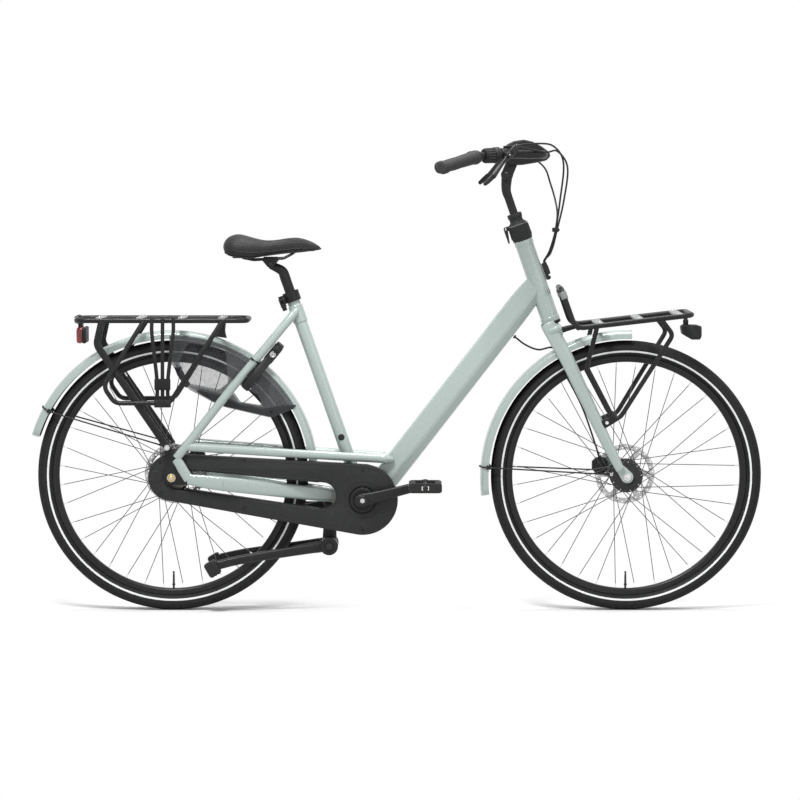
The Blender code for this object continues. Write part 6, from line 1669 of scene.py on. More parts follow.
@dataclass
class CoatGuard:
    """Panel beside the rear wheel with a smoky field, a clear one and a dark band."""

    side: float
    label: str
    radius: float = 0.373
    near: float = 0.0301
    thick: float = 0.0015

    def at(self, places: Sequence[Sequence[float]]) -> Array:
        """Drawn x and z as an outline."""
        return np.asarray(places, float) * 0.001

    def make(self) -> None:
        """Makes the panel's fields, each a plate of its own outline."""
        t = np.radians(np.linspace(91.0, 31.0, 40))
        rim = np.stack([REAR_AXLE[0] + self.radius * np.cos(t), REAR_AXLE[2] + self.radius * np.sin(t)], 1)
        edge = bent(
            self.at([(-266, 546), (-272, 536), (-332, 513), (-465, 544), (-549, 589), (-596, 659)]), 0.03, 6
        )
        hole = bent(self.at([(-352, 541), (-414, 551), (-442, 591), (-424, 605), (-366, 574)]), 0.01, 6, True)
        window = bent(
            self.at([(-552, 600), (-470, 584), (-444, 604), (-450, 690), (-548, 712), (-576, 655)]), 0.016, 6,
            True
        )
        low, high = layer(self.side, self.near, self.thick)
        panel = plate([np.vstack([rim, edge]), hole, window], low, high, SMOKE, edge=0.0005)
        inset = 0.0002
        clear = plate(
            [window * 0.9994 + np.mean(window, 0) * 0.0006], low + inset, high - inset, CLEAR, edge=0.0003
        )
        band_edge = self.at([
            (-546, 592), (-465, 573), (-420, 549), (-352, 537), (-300, 547), (-262, 547), (-272, 538),
            (-332, 515), (-465, 546)
        ])
        face = self.side * (self.near + self.thick)
        above = layer(self.side, self.near + self.thick, 0.0009)
        band = plate([bent(band_edge, 0.008, 5, True)], *above, BAND, edge=0.0004)
        ways = plate([
            bent(
                self.at([(-572, 640), (-556, 612), (-546, 596), (-556, 592), (-578, 626), (-588, 652)]),
                0.004, 4, True
            )
        ], *above, BAND, edge=0.0004)
        studs = [
            screw(np.array((x, face, z)), ASIDE * self.side, MOULDED, 0.005)
            for x, z in ((-0.33, 0.53), (-0.5, 0.572), (-0.575, 0.64))
        ]
        total = merged([panel, clear, band, ways, *studs])
        piece(f"coat_guard_{self.label}_panel", total, "frame", "smoke_plastic", [f"coat_guard_{self.label}"])


@dataclass
class RingLock:
    """Horseshoe lock on the seat stays with its round bolt."""

    turn: float = math.radians(50.5)
    reach: float = 0.341
    radius: float = 0.058
    half: float = 0.011
    bolt: float = 0.005

    def __post_init__(self) -> None:
        """Works out the lock's own directions."""
        self.out = tilted(self.turn)[0]
        self.way = np.cross(ASIDE, self.out)
        self.centre = REAR_AXLE + self.out * self.reach

    def arc(self, radius: float, start: float, end: float, count: int) -> Array:
        """Flat points of an arc about the lock's centre, in degrees."""
        t = np.radians(np.linspace(start, end, count))
        return np.stack([radius * np.cos(t), radius * np.sin(t)], 1)

    def spatial(self, flat: Array) -> Array:
        """Flat points as places."""
        return self.centre + flat[:, :1] * ASIDE + flat[:, 1:] * self.out

    def make(self) -> None:
        """Makes the lock's body and its bolt."""
        axes = (self.centre, ASIDE, self.out, self.way)
        r = self.radius
        top = bent([
            (0.0445, 0.07), (0.045, 0.094), (0.036, 0.11), (-0.036, 0.11), (-0.045, 0.094), (-0.0445, 0.07)
        ], 0.012, 8)
        outline = np.vstack([
            self.arc(r - 0.0105, 215.0, -35.0, 64), self.arc(r + 0.011, -35.0, 38.0, 22), top,
            self.arc(r + 0.011, 142.0, 215.0, 22)
        ])
        body = plate([outline], -self.half, self.half, MOULDED, axes, 0.0036)
        inner = np.vstack([
            self.arc(r + 0.004, 60.0, 120.0, 16),
            bent([(-0.03, 0.08), (-0.028, 0.102), (0.028, 0.102), (0.03, 0.08)], 0.008, 6)
        ])
        cover = plate([inner], self.half - 0.001, self.half + 0.0016, CASE, axes, 0.0011)
        back = plate([inner], -self.half - 0.0016, -self.half + 0.001, CASE, axes, 0.0011)
        lugs = [
            box(
                self.centre + ASIDE * s * 0.051 - self.way * 0.0135, (0.0136, 0.0176, 0.0116), MOULDED,
                (ASIDE, self.out, self.way), 0.0016
            )
            for s in (RIGHT, LEFT)
        ]
        bands = [
            carried(self.stay_ring(s), (0.0007, 0.0045), ELASTIC, ring(12, 0.6), SEAT_AXIS, True)
            for s in (RIGHT, LEFT)
        ]
        key_place = self.centre + ASIDE * -0.044 + self.out * 0.078
        key = knob([
            (CORE, 0.0016), (0.005, 0.0016), (0.0062, 0.003), (0.0078, 0.003), (0.0086, 0.0018),
            (0.0086, 0.0), (CORE, 0.0)
        ], key_place, -ASIDE, STEEL, 40, 0.0003)
        slot = box(
            key_place - ASIDE * 0.0019, (0.0012, 0.007, 0.0008), BLACKED, (self.way, self.out, ASIDE), 0.0002
        )
        rivets = [
            screw(self.spatial(np.array([[u, v]]))[0] + self.way * self.half, self.way, STEEL, 0.003)
            for u, v in ((-0.0615, -0.028), (0.0615, -0.028))
        ]
        piece(
            "ring_lock_body", merged([body, cover, back, *lugs, *bands, key, slot, *rivets]), "frame",
            "black_plastic", ["ring_lock"]
        )
        line = self.spatial(self.arc(r, 80.0, 206.0, 60))
        bolt = carried(line, self.bolt, CHROME, ring(24), self.way, dome=0.0025)
        knob_way = ASIDE * math.cos(math.radians(118.0)) + self.out * math.sin(math.radians(118.0))
        stem = rod(
            self.centre + knob_way * (r + 0.002), self.centre + knob_way * (r + 0.046), 0.0022, CHROME, 20
        )
        head = knob(
            [(CORE, 0.0), (0.003, 0.0), (0.0046, 0.003), (0.005, 0.009), (0.004, 0.014), (CORE, 0.0155)],
            self.centre + knob_way * (r + 0.0385), knob_way, MOULDED, 32, 0.0008
        )
        piece("ring_lock_bolt_bar", merged([bolt, stem, head]), "lock_bolt", "steel", ["ring_lock_bolt"])

    def stay_ring(self, side: float) -> Array:
        """A closed ring round a seat stay where a lug rests on it."""
        way = unit(mm(-437, 588, side * 55) - mm(-343, 700, side * 44))
        return hoop(mm(-343, 700, side * 44) + way * 0.046, way, 0.0124, 0.0124, 36)


# Drive


@dataclass
class ChainCase:
    """Closed case round the chain, with a long window for the chain stay."""

    outer_y: float = -0.066
    split_y: float = -0.05
    rear: float = 0.062
    front: float = 0.093
    face: float = 0.004

    def outline(self, inset: float) -> Array:
        """Outline round both axles, drawn in by the inset."""
        return wrap(disc(REAR_AXLE, self.rear - inset, 120), disc(CRANK_AXLE, self.front - inset, 160))

    def window(self, grow: float) -> Array:
        """Outline of the window."""
        return wrap(disc((-0.578, 0.353), 0.027 + grow, 60), disc((-0.195, 0.31), 0.035 + grow, 80))

    def fence(self, outline: Array, low: float, high: float, wall: float, finish: Finish) -> Shape:
        """A wall that follows a closed outline, between two distances aside."""
        way = unit(np.roll(outline, -1, 0) - np.roll(outline, 1, 0))
        out = np.stack([way[:, 1], -way[:, 0]], 1)
        inner = outline - out * wall
        rows = [(outline, low), (outline, high), (inner, high), (inner, low)]
        points = np.stack([np.stack([o[:, 0], np.full(len(o), y), o[:, 1]], 1) for o, y in rows], 1)
        return lattice(points, finish, round_u=True)

    def make(self) -> None:
        """Makes both halves of the case, the chain and the rear sprocket."""
        face = plate(
            [self.outline(0.0), self.window(0.0), disc(CRANK_AXLE, 0.0345, 72)], self.outer_y,
            self.outer_y + self.face, CASE, edge=0.0018
        )
        skirt = self.fence(self.outline(0.0003), self.outer_y + 0.003, self.split_y - 0.0003, 0.002, CASE)
        lip = self.fence(self.window(0.0021), self.outer_y + 0.0006, self.outer_y + 0.007, 0.0021, CASE)
        ridge = self.raised(self.outline(0.006), 0.0011)
        rim = self.raised(self.window(0.0052), 0.001)
        rounds = [
            spun(
                [(r - 0.0011, -0.001), (r - 0.0006, 0.0007), (r + 0.0006, 0.0007), (r + 0.0011, -0.001)],
                np.array((x, self.outer_y, z)), -ASIDE, CASE, 120, 0.0002
            )
            for x, z, r in ((-0.0894, 0.299, 0.049), (-0.0894, 0.299, 0.0385))
        ]
        walls = [self.window_wall(s) for s in (1.0, -1.0)]
        screws = [
            screw(np.array((x, self.outer_y, z)), -ASIDE, BLACKED, 0.004)
            for x, z in (
                (-0.0894, 0.3795), (-0.0894, 0.2185), (-0.622, 0.4), (-0.622, 0.316), (-0.402, 0.405),
                (-0.402, 0.278)
            )
        ]
        cap = knob(
            [(CORE, 0.0014), (0.015, 0.0014), (0.0172, 0.0006), (0.0176, -0.001), (CORE, -0.001)],
            np.array((-0.6325, self.outer_y, 0.36)), -ASIDE, CASE, 48, 0.0004
        )
        total = merged([face, skirt, lip, ridge, rim, *rounds, *walls, *screws, cap])
        piece("chain_case_cover", total, "frame", "black_plastic", ["chaincase_outer"])
        dressed("chaincase_inner", CASE, "frame", "black_plastic", 0.0005)
        dressed("chain", CHAIN, "frame", "dark_steel", 0.0004)
        dressed("rear_sprocket", CHAIN, "sprocket", "dark_steel", 0.0003)

    def raised(self, outline: Array, wide: float) -> Shape:
        """A low rounded ridge along a closed outline on the face."""
        path = np.stack([outline[:, 0], np.full(len(outline), self.outer_y), outline[:, 1]], 1)
        return carried(path, (0.0008, wide), CASE, ring(10), ASIDE, True)

    def window_wall(self, sign: float) -> Shape:
        """Wall along one straight edge of the window."""
        rear = np.array((-0.578 + 0.024, 0.353 + sign * 0.0262))
        front = np.array((-0.195 - 0.01, 0.31 + sign * 0.035))
        lift, low = np.array((0.0, sign * 0.002)), np.array((0.0, -sign * 0.0006))
        return plate(
            [np.array([rear + low, front + low, front + lift, rear + lift])], self.outer_y + 0.002, -0.0375,
            CASE, edge=0.0004
        )


@dataclass
class Crankset:
    """Crank arms on their spindle, with the chain ring."""

    arm_y: float = 0.08
    length: float = 0.17
    boss: float = 0.0335

    def arm(self, side: float, way: Array) -> Shape:
        """Forged arm with its bolt and its pedal pin; the long hollow on its face is not made.

        The section is a rounded square whose half sizes change along the arm.
        """
        end = CRANK_AXLE + way * self.length
        y = side * self.arm_y
        along = [
            (-0.0205, 0.0, 0.0045, 0.006), (-0.019, 0.0, 0.0065, 0.0105), (-0.01, 0.0, 0.008, 0.0165),
            (0.006, 0.0, 0.0082, 0.0178), (0.03, 0.0, 0.0078, 0.0155), (0.07, 0.0005, 0.0074, 0.0138),
            (0.12, 0.001, 0.007, 0.0128), (0.16, 0.002, 0.007, 0.014), (0.174, 0.002, 0.0068, 0.0136),
            (0.1825, 0.002, 0.0058, 0.0082), (0.184, 0.002, 0.0035, 0.004)
        ]
        rows = [(CRANK_AXLE + way * d + ASIDE * (y + side * out), a, b) for d, out, a, b in along]
        arm = swept(rows, SATIN, ring(40, 0.62), 6)
        face = y + side * 0.008
        bolt_seat = CRANK_AXLE + ASIDE * (face - side * 0.0012)
        cap = spun([
            (0.004, -0.001), (0.0112, -0.001), (0.0116, 0.0022), (0.0106, 0.003), (0.0085, 0.003),
            (0.0078, 0.0016), (0.004, 0.0016)
        ], bolt_seat, ASIDE * side, BLACKED, 56, 0.0003)
        bolt = nut(bolt_seat + ASIDE * side * 0.001, ASIDE * side, 0.0066, 0.0036, STEEL)
        pin = rod(end + ASIDE * y, end + ASIDE * side * 0.186, 0.005, STEEL, 32, 0.0008)
        flats = nut(end + ASIDE * (y + side * 0.0086), ASIDE * side, 0.0084, 0.0042, BLACKED)
        return merged([arm, cap, bolt, pin, flats])

    def make(self) -> None:
        """Makes the spindle, both arms and the chain ring."""
        spindle = rod(CRANK_AXLE - ASIDE * 0.086, CRANK_AXLE + ASIDE * 0.086, 0.0085, STEEL, 40, 0.0008)
        piece("spindle_bar", spindle, "crankset", "steel", ["crank_spindle"])
        boss = spun([
            (0.0088, 0.043), (0.03, 0.043), (self.boss, 0.0465), (self.boss, 0.0715),
            (self.boss - 0.0015, 0.074), (0.025, 0.0748), (0.0225, 0.0738), (0.0088, 0.0738)
        ], CRANK_AXLE, -ASIDE, SATIN, 96, 0.001)
        groove = spun([
            (0.0272, 0.0744), (0.0278, 0.0754), (0.0294, 0.0754), (0.03, 0.074)
        ], CRANK_AXLE, -ASIDE, CASE, 96, 0.0002)
        radius = 0.0127 / (2.0 * math.sin(math.pi / 38))
        band = plate([
            disc(CRANK_AXLE, radius + 0.003, 152), disc(CRANK_AXLE, 0.022, 40)
        ], -0.0483, -0.0457, CHAIN, edge=0.0004)
        piece(
            "right_crank_arm", merged([self.arm(RIGHT, ARM_WAY), boss, groove, band]), "crankset",
            "black_paint", ["crank_right"]
        )
        left_boss = spun([
            (0.0088, 0.038), (0.014, 0.038), (0.015, 0.04), (0.015, 0.077), (0.0088, 0.077)
        ], CRANK_AXLE, ASIDE, SATIN, 56, 0.0008)
        piece(
            "left_crank_arm", self.arm(LEFT, -ARM_WAY) + left_boss, "crankset", "black_paint", ["crank_left"]
        )


@dataclass
class Pedal:
    """Block pedal: a cage with ribbed rubber treads, reflectors and a capped axle."""

    label: str
    side: float
    way: Array
    half: float = 0.048

    def make(self) -> None:
        """Makes the pedal of its treads, end plates, tube and reflectors."""
        centre = CRANK_AXLE + self.way * 0.17 + ASIDE * self.side * 0.14
        h = self.half
        shapes = []
        for s in (-1.0, 1.0):
            shapes.append(
                box(centre + AHEAD * s * 0.0335, (0.018, 2 * h - 0.01, 0.0205), MOULDED, edge=0.0035)
            )
            for z in (-1.0, 1.0):
                t = np.arange(9) - 4.0
                for k in t:
                    place = centre + AHEAD * s * 0.0335 + ASIDE * k * 0.0092 + UP * z * 0.0103
                    shapes.append(box(place, (0.016, 0.005, 0.0042), GRIP, edge=0.001))
            shapes.append(box(centre + AHEAD * s * 0.0422, (0.0018, 0.052, 0.0145), AMBER, edge=0.0006))
        for s in (-1.0, 1.0):
            outline = bent([
                (-0.043, -0.0095), (-0.036, -0.013), (0.036, -0.013), (0.043, -0.0095), (0.043, 0.0095),
                (0.036, 0.013), (-0.036, 0.013), (-0.043, 0.0095)
            ], 0.004, 4, True)
            holes = [disc((0.0, 0.0), 0.0054, 32)] if s * self.side < 0 else []
            shapes.append(
                plate(
                    [outline, *holes], *layer(s, h - 0.0055, 0.0055), MOULDED, (centre, AHEAD, UP, ASIDE),
                    0.0016
                )
            )
        barrel = spun([
            (0.0052, -h + 0.004), (0.01, -h + 0.004), (0.0085, -0.5 * h), (0.0085, 0.5 * h),
            (0.01, h - 0.004), (0.0052, h - 0.004)
        ], centre, ASIDE, MOULDED, 40, 0.0008)
        cap = knob(
            [(CORE, 0.003), (0.006, 0.0026), (0.0078, 0.0006), (0.0082, -0.0005), (CORE, -0.0005)],
            centre + ASIDE * self.side * h, ASIDE * self.side, CASE, 40, 0.0003
        )
        tag = box(
            centre + ASIDE * self.side * (h + 0.0002) - AHEAD * 0.0002, (0.019, 0.0018, 0.0105), AMBER,
            edge=0.0006
        )
        shapes += [barrel, cap, tag]
        piece(
            f"pedal_{self.label}_cage", merged(shapes), f"{self.label}_pedal", "black_plastic",
            [f"pedal_{self.label}"]
        )


# Stand and seat


@dataclass
class Seat:
    """Seat post, clamp and saddle with its rails."""

    pivot: Array = field(default_factory=lambda: mm(-332, 919))
    post: float = 0.0136
    wire: float = 0.0035
    cloth_frames: int = 20
    swell: float = 0.0024
    stations: tuple[tuple[float, float, float, float], ...] = (
        (-457.0, 968.0, 955.0, 34.0), (-451.0, 982.0, 946.0, 60.0), (-435.0, 994.5, 938.0, 78.0),
        (-411.0, 995.5, 934.0, 83.0), (-380.0, 987.0, 932.5, 77.0), (-348.0, 980.0, 937.0, 58.0),
        (-316.0, 981.0, 941.0, 38.0), (-284.0, 986.0, 944.5, 27.0), (-250.0, 987.0, 947.0, 22.0),
        (-220.0, 979.0, 951.0, 18.0), (-203.0, 969.0, 954.0, 13.0), (-196.5, 963.0, 957.0, 7.0)
    )

    def surface(self, shrink: float) -> Array:
        """Grid of the cushion: stations along, and a rounded section round.

        The section's share of the half width and of the height come from one smooth
        closed line, and a shallow groove lies along the middle of the crown.
        """
        table = spline(np.array(self.stations), 5) * 0.001
        half = np.array([
            (0.0, 0.975), (0.4, 0.985), (0.74, 0.87), (0.95, 0.6), (1.0, 0.3), (0.93, 0.03), (0.45, 0.1),
            (0.0, 0.12)
        ])
        right = spline(half, 5)
        section = np.vstack([right, right[-2:0:-1] * (-1, 1)])
        x, high, low, wide = (table[:, k, None] for k in range(4))
        high, low, wide = high - shrink, low + shrink, wide - shrink
        y = -wide * section[:, 0]
        z = low + (high - low) * section[:, 1]
        return np.stack([np.broadcast_to(x, y.shape), y, z], -1)

    def cushion(self) -> bpy.types.Object:
        """Padded cover: remeshed, swollen by pressure by 2.4 mm at most, and subdivided."""
        obj = piece("saddle_cushion", lattice(self.surface(0.0016), HIDE), "", "", ["saddle"], 80.0)
        rest = self.simulated(obj)
        log.info("saddle_cushion: swollen from %d points", len(rest))
        smooth = obj.modifiers.new("smooth", "SUBSURF")
        smooth.levels = smooth.render_levels = 1
        self.applied(obj)
        return obj

    def applied(self, obj: bpy.types.Object) -> Array:
        """Bakes the modifiers into the mesh and gives its points."""
        graph = bpy.context.evaluated_depsgraph_get()
        mesh = bpy.data.meshes.new_from_object(obj.evaluated_get(graph))
        obj.modifiers.clear()
        obj.data = mesh
        mesh.polygons.foreach_set("use_smooth", np.ones(len(mesh.polygons), bool))
        points = np.empty(len(mesh.vertices) * 3)
        mesh.vertices.foreach_get("co", points)
        return points.reshape(-1, 3)

    def simulated(self, obj: bpy.types.Object) -> Array:
        """Swells the cushion with cloth pressure and gives its points before that."""
        weld = obj.modifiers.new("weld", "WELD")
        weld.merge_threshold = 0.00002
        voxels = obj.modifiers.new("voxels", "REMESH")
        voxels.mode = "VOXEL"
        voxels.voxel_size = 0.0045
        rest = self.applied(obj)
        cloth = obj.modifiers.new("cloth", "CLOTH")
        settings = cloth.settings
        settings.quality = 6
        settings.use_pressure = True
        settings.uniform_pressure_force = 4.0
        settings.tension_stiffness = 20.0
        settings.compression_stiffness = 20.0
        settings.bending_stiffness = 4.0
        settings.effector_weights.gravity = 0.0
        cloth.collision_settings.use_collision = False
        for number in range(1, self.cloth_frames + 1):
            bpy.context.scene.frame_set(number)
        moved = self.applied(obj)
        bpy.context.scene.frame_set(1)
        step = moved - rest
        far = np.linalg.norm(step, axis=1, keepdims=True)
        points = rest + step * np.minimum(1.0, self.swell / np.maximum(far, 1e-9))
        obj.data.vertices.foreach_set("co", points.astype(np.float32).ravel())
        obj.data.update()
        obj.data.materials.clear()
        obj.data.materials.append(HIDE.material())
        return rest

    def trims(self, cushion: bpy.types.Object) -> Shape:
        """Piping round the lower edge and two sewn seams, laid on the swollen cover."""
        grid = self.surface(0.0)
        shapes = []
        edge, seam = grid[3:-3, 20], grid[5:-2, 13]
        piping = np.vstack([edge, (edge * ACROSS)[::-1]])
        for line, radius, finish in (
            (piping, 0.0016, PIPING), (seam, 0.0007, THREAD), (seam * ACROSS, 0.0007, THREAD)
        ):
            path = np.array([cushion.closest_point_on_mesh(p)[1] for p in spline(line, 3)])
            path = path[np.linalg.norm(path - np.roll(path, 1, axis=0), axis=1) > 0.0004]
            shapes.append(wire(path, radius, finish, 10, finish is PIPING))
        return merged(shapes)

    def base(self) -> Shape:
        """Hard shell under the cushion, with its rear and front rail seats."""
        rows = [(mm(x, low + 4.0), 0.00093 * half, 0.0022) for x, _, low, half in self.stations[1:-1]]
        shell = swept(rows, MOULDED, ring(36, 0.35), 4)
        rear = [box(mm(-416, 940, s * 34), (0.03, 0.018, 0.012), MOULDED, edge=0.003) for s in (RIGHT, LEFT)]
        nose = box(mm(-264, 953), (0.022, 0.024, 0.01), MOULDED, edge=0.003)
        return merged([shell, *rear, nose])

    def rails(self) -> Shape:
        """The two rails, one bent wire."""
        near = np.array([
            mm(-420, 945, -36), mm(-402, 934, -28), mm(-376, 929, -23.5), mm(-297, 933, -23),
            mm(-276, 944, -17), mm(-262, 954, -7)
        ])
        line = np.vstack([near, near[::-1] * ACROSS])
        return wire(bent(line, 0.016, 6), self.wire, BLACKED, 16)

    def clamp(self) -> Shape:
        """Two cheeks that hold the rails, and their cross bolt."""
        shapes = []
        for s in (RIGHT, LEFT):
            outline = wrap(
                disc((-0.332, 0.919), 0.011),
                *(
                    np.array([[x, z]]) * 0.001
                    for x, z in ((-352, 926), (-350, 936.5), (-314, 936.5), (-312, 926))
                )
            )
            shapes.append(plate([outline], *layer(s, 0.0124, 0.0161), SATIN, edge=0.0022))
            shapes.append(nut(mm(-332, 919, s * 28.3), ASIDE * s, 0.006, 0.0035, BLACKED))
        shapes.append(crossbar(self.pivot, 0.0038, 0.03, BLACKED))
        return merged(shapes)

    def make(self) -> None:
        """Makes the post, clamp, rails and saddle."""
        top = 0.576 + 0.054
        post = knob(
            [(CORE, 0.0), (self.post, 0.0), (self.post, 0.298), (CORE, 0.298)], on_seat(0.33), SEAT_AXIS,
            SATIN, 48, 0.0005
        )
        rows = [
            (on_seat(top - 0.03), 0.0134, 0.0134), (on_seat(top - 0.012), 0.0139, 0.0139),
            (on_seat(top + 0.002), 0.0128, 0.0132), (on_seat(top + 0.013, 0, -0.006), 0.0118, 0.0124),
            (self.pivot - UP * 0.004, 0.0112, 0.0104)
        ]
        head = swept(rows, SATIN, ring(28), 5)
        eye = crossbar(self.pivot, 0.011, 0.012, SATIN)
        piece("seat_post_tube", merged([post, head, eye]), "post", "black_paint", ["seatpost"])
        piece("saddle_clamp_cheeks", self.clamp(), "saddle_unit", "black_paint", ["saddle_clamp"])
        piece("saddle_rail_wire", self.rails(), "saddle_unit", "dark_steel", ["saddle_rails"])
        cushion = self.cushion()
        trims = self.trims(cushion)
        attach(cushion, "saddle_unit")
        piece("saddle_piping_and_seams", trims, "saddle_unit", "saddle_cover", ["saddle"])
        piece("saddle_base_shell", self.base(), "saddle_unit", "saddle_cover", ["saddle"])
        dressed("seat_clamp", SATIN, "frame", "black_paint", 0.0008)
        dressed("seat_clamp_lever", SATIN, "seat_lever", "black_paint", 0.0008)


@dataclass
class Stand:
    """Two-legged stand under the crank shell."""

    pivot: Array = field(default_factory=lambda: mm(-178, 174))

    def leg(self, s: float) -> Shape:
        """One leg with its rubber foot, a flat oval along a smooth line."""
        rows = [
            (-178, 174, s * 35, 10, 15), (-206, 171, s * 38, 11, 15), (-250, 165, s * 47, 11, 13.5),
            (-400, 143, s * 70, 10.5, 12), (-470, 128, s * 78, 10.5, 12)
        ]
        leg = swept(drawn(rows), SATIN, ring(28, 0.7))
        ahead, up = tilted(math.radians(30.0))
        ways, place = (ahead, ASIDE, up), mm(-484, 119, s * 80)
        foot = box(place, (0.034, 0.03, 0.04), MOULDED, ways, 0.006)
        grip = [
            box(place - up * 0.0196 + ahead * d, (0.0045, 0.026, 0.002), RIBBED, ways, 0.0006)
            for d in (-0.009, 0.0, 0.009)
        ]
        return merged([leg, foot, *grip])

    def make(self) -> None:
        """Makes the stand and its bracket."""
        column = [(-176.5, 240, 0, 13, 16), (-177.5, 196, 0, 12, 18.5), (-178, 174, 0, 12, 18)]
        bracket = merged([
            box(mm(-176.5, 253.5), (0.032, 0.026, 0.068), SATIN, edge=0.003),
            swept(drawn(column), SATIN, ring(28, 0.6)), crossbar(self.pivot, 0.011, 0.056, SATIN),
            *[nut(self.pivot + ASIDE * s * 0.0536, ASIDE * s, 0.009, 0.0055, BLACKED) for s in (RIGHT, LEFT)],
            nut(mm(-176.5, 288) - UP * 0.004, UP, 0.0075, 0.004, BLACKED)
        ])
        piece("stand_bracket_column", bracket, "frame", "black_paint", ["stand_bracket"])
        hubs = [
            spun([
                (0.0112, 0.0), (0.0225, 0.0), (0.0235, 0.001), (0.0235, 0.0365), (0.0225, 0.0375),
                (0.0112, 0.0375)
            ], self.pivot + ASIDE * s * 0.0155, ASIDE * s, SATIN, 56, 0.0006)
            for s in (RIGHT, LEFT)
        ]
        tie = crossbar(mm(-218, 168.5), 0.008, 0.04, SATIN)
        piece(
            "stand_legs", merged([*hubs, tie, self.leg(RIGHT), self.leg(LEFT)]), "stand", "black_paint",
            ["kickstand"]
        )


# Fork and front carrier


@dataclass
class Fork:
    """Fork with its crown, two blades, end plates and caliper tab."""

    end_y: float = 0.05

    def blade(self, s: float) -> Shape:
        """A blade that narrows to its end, rounded square in section."""
        rows = [
            (398, 762, s * 38, 10.5, 17), (405, 748, s * 40, 11, 19), (430, 704, s * 44.5, 11, 19.5),
            (456, 653, s * 48.5, 11, 18.5), (502, 557, s * 53, 10.5, 16.5), (560, 437, s * 56.5, 9, 13.8),
            (589, 378, s * 58.5, 7, 11.5)
        ]
        return swept(drawn(rows), MINT, ring(36, 0.82), 10, dome=0.003)

    def make(self) -> None:
        """Makes the fork, and the caliper on its left end."""
        half = [
            (0.05, 0.029, 0.012, 0.012), (0.048, 0.0278, 0.0165, 0.0165), (0.044, 0.0258, 0.019, 0.019),
            (0.03, 0.0205, 0.0208, 0.0182), (0.0, 0.0176, 0.0217, 0.0176)
        ]
        rows = [(-y, *rest) for y, *rest in half] + half[-2::-1]
        crown = swept([
            (on_head(-0.0051 - d, y), a, b) for y, d, a, b in rows
        ], MINT, ring(36, 0.72), 6, HEAD_AHEAD)
        steerer = knob([
            (CORE, -0.03), (0.0143, -0.03), (0.0143, 0.2719), (CORE, 0.2719)
        ], HEAD_FOOT, HEAD_AXIS, STEEL, 40, 0.0004)
        race = spun([
            (0.0145, -0.0078), (0.024, -0.0078), (0.025, -0.0062), (0.0245, -0.0052), (0.0145, -0.0052)
        ], HEAD_FOOT, HEAD_AXIS, SATIN, 64, 0.0003)
        shapes = [crown, steerer, race]
        for s in (RIGHT, LEFT):
            outline = wrap(disc(FRONT_AXLE, 0.016), disc((0.59, 0.38), 0.012))
            shapes += [self.blade(s), plate([outline], *layer(s, self.end_y, 0.006), MINT, edge=0.0014)]
        tab = wrap(
            disc((0.574, 0.403), 0.0085), disc((0.546, 0.398), 0.008), disc((0.548, 0.364), 0.008),
            disc((0.583, 0.37), 0.0075)
        )
        shapes.append(plate([tab], 0.0504, 0.0552, MINT, edge=0.0012))
        shapes += [screw(mm(x, z, 55.2), ASIDE, BLACKED, 0.0045) for x, z in ((546, 397), (549, 365))]
        mount = unit(GUARD_MOUNT - FRONT_AXLE)
        shapes.append(
            box(
                FRONT_AXLE + mount * 0.4155, (0.02, 0.018, 0.015), MINT,
                (np.cross(ASIDE, mount), ASIDE, mount), 0.002
            )
        )
        piece("fork_blades_and_crown", merged(shapes), "steering", "frame_paint", ["fork"])
        dressed(
            "front_caliper", SATIN, "steering", "black_paint", 0.0012,
            self.caliper(mm(541, 381), 0.0325, 0.0501, 0.042)
        )
        dressed(
            "rear_caliper", SATIN, "frame", "black_paint", 0.0012,
            self.caliper(mm(-532, 400), 0.042, 0.0672, 0.044)
        )

    def caliper(self, place: Array, low: float, high: float, size: float) -> Shape:
        """Bleed cap, body bolts and hose nut of a caliper."""
        face = place + ASIDE * low
        shapes = [
            screw(face + AHEAD * x + UP * z, -ASIDE, BLACKED, 0.004)
            for x, z in ((-0.012, 0.01), (0.012, -0.01))
        ]
        shapes.append(
            knob([
                (CORE, 0.0016), (0.008, 0.0016), (0.01, 0.0004), (0.0102, -0.001), (CORE, -0.001)
            ], face, -ASIDE, CASE, 40, 0.0003)
        )
        top = place + ASIDE * ((low + high) / 2 - 0.001) + UP * (size / 2)
        shapes.append(nut(top, UP, 0.0048, 0.005, BLACKED))
        return merged(shapes)


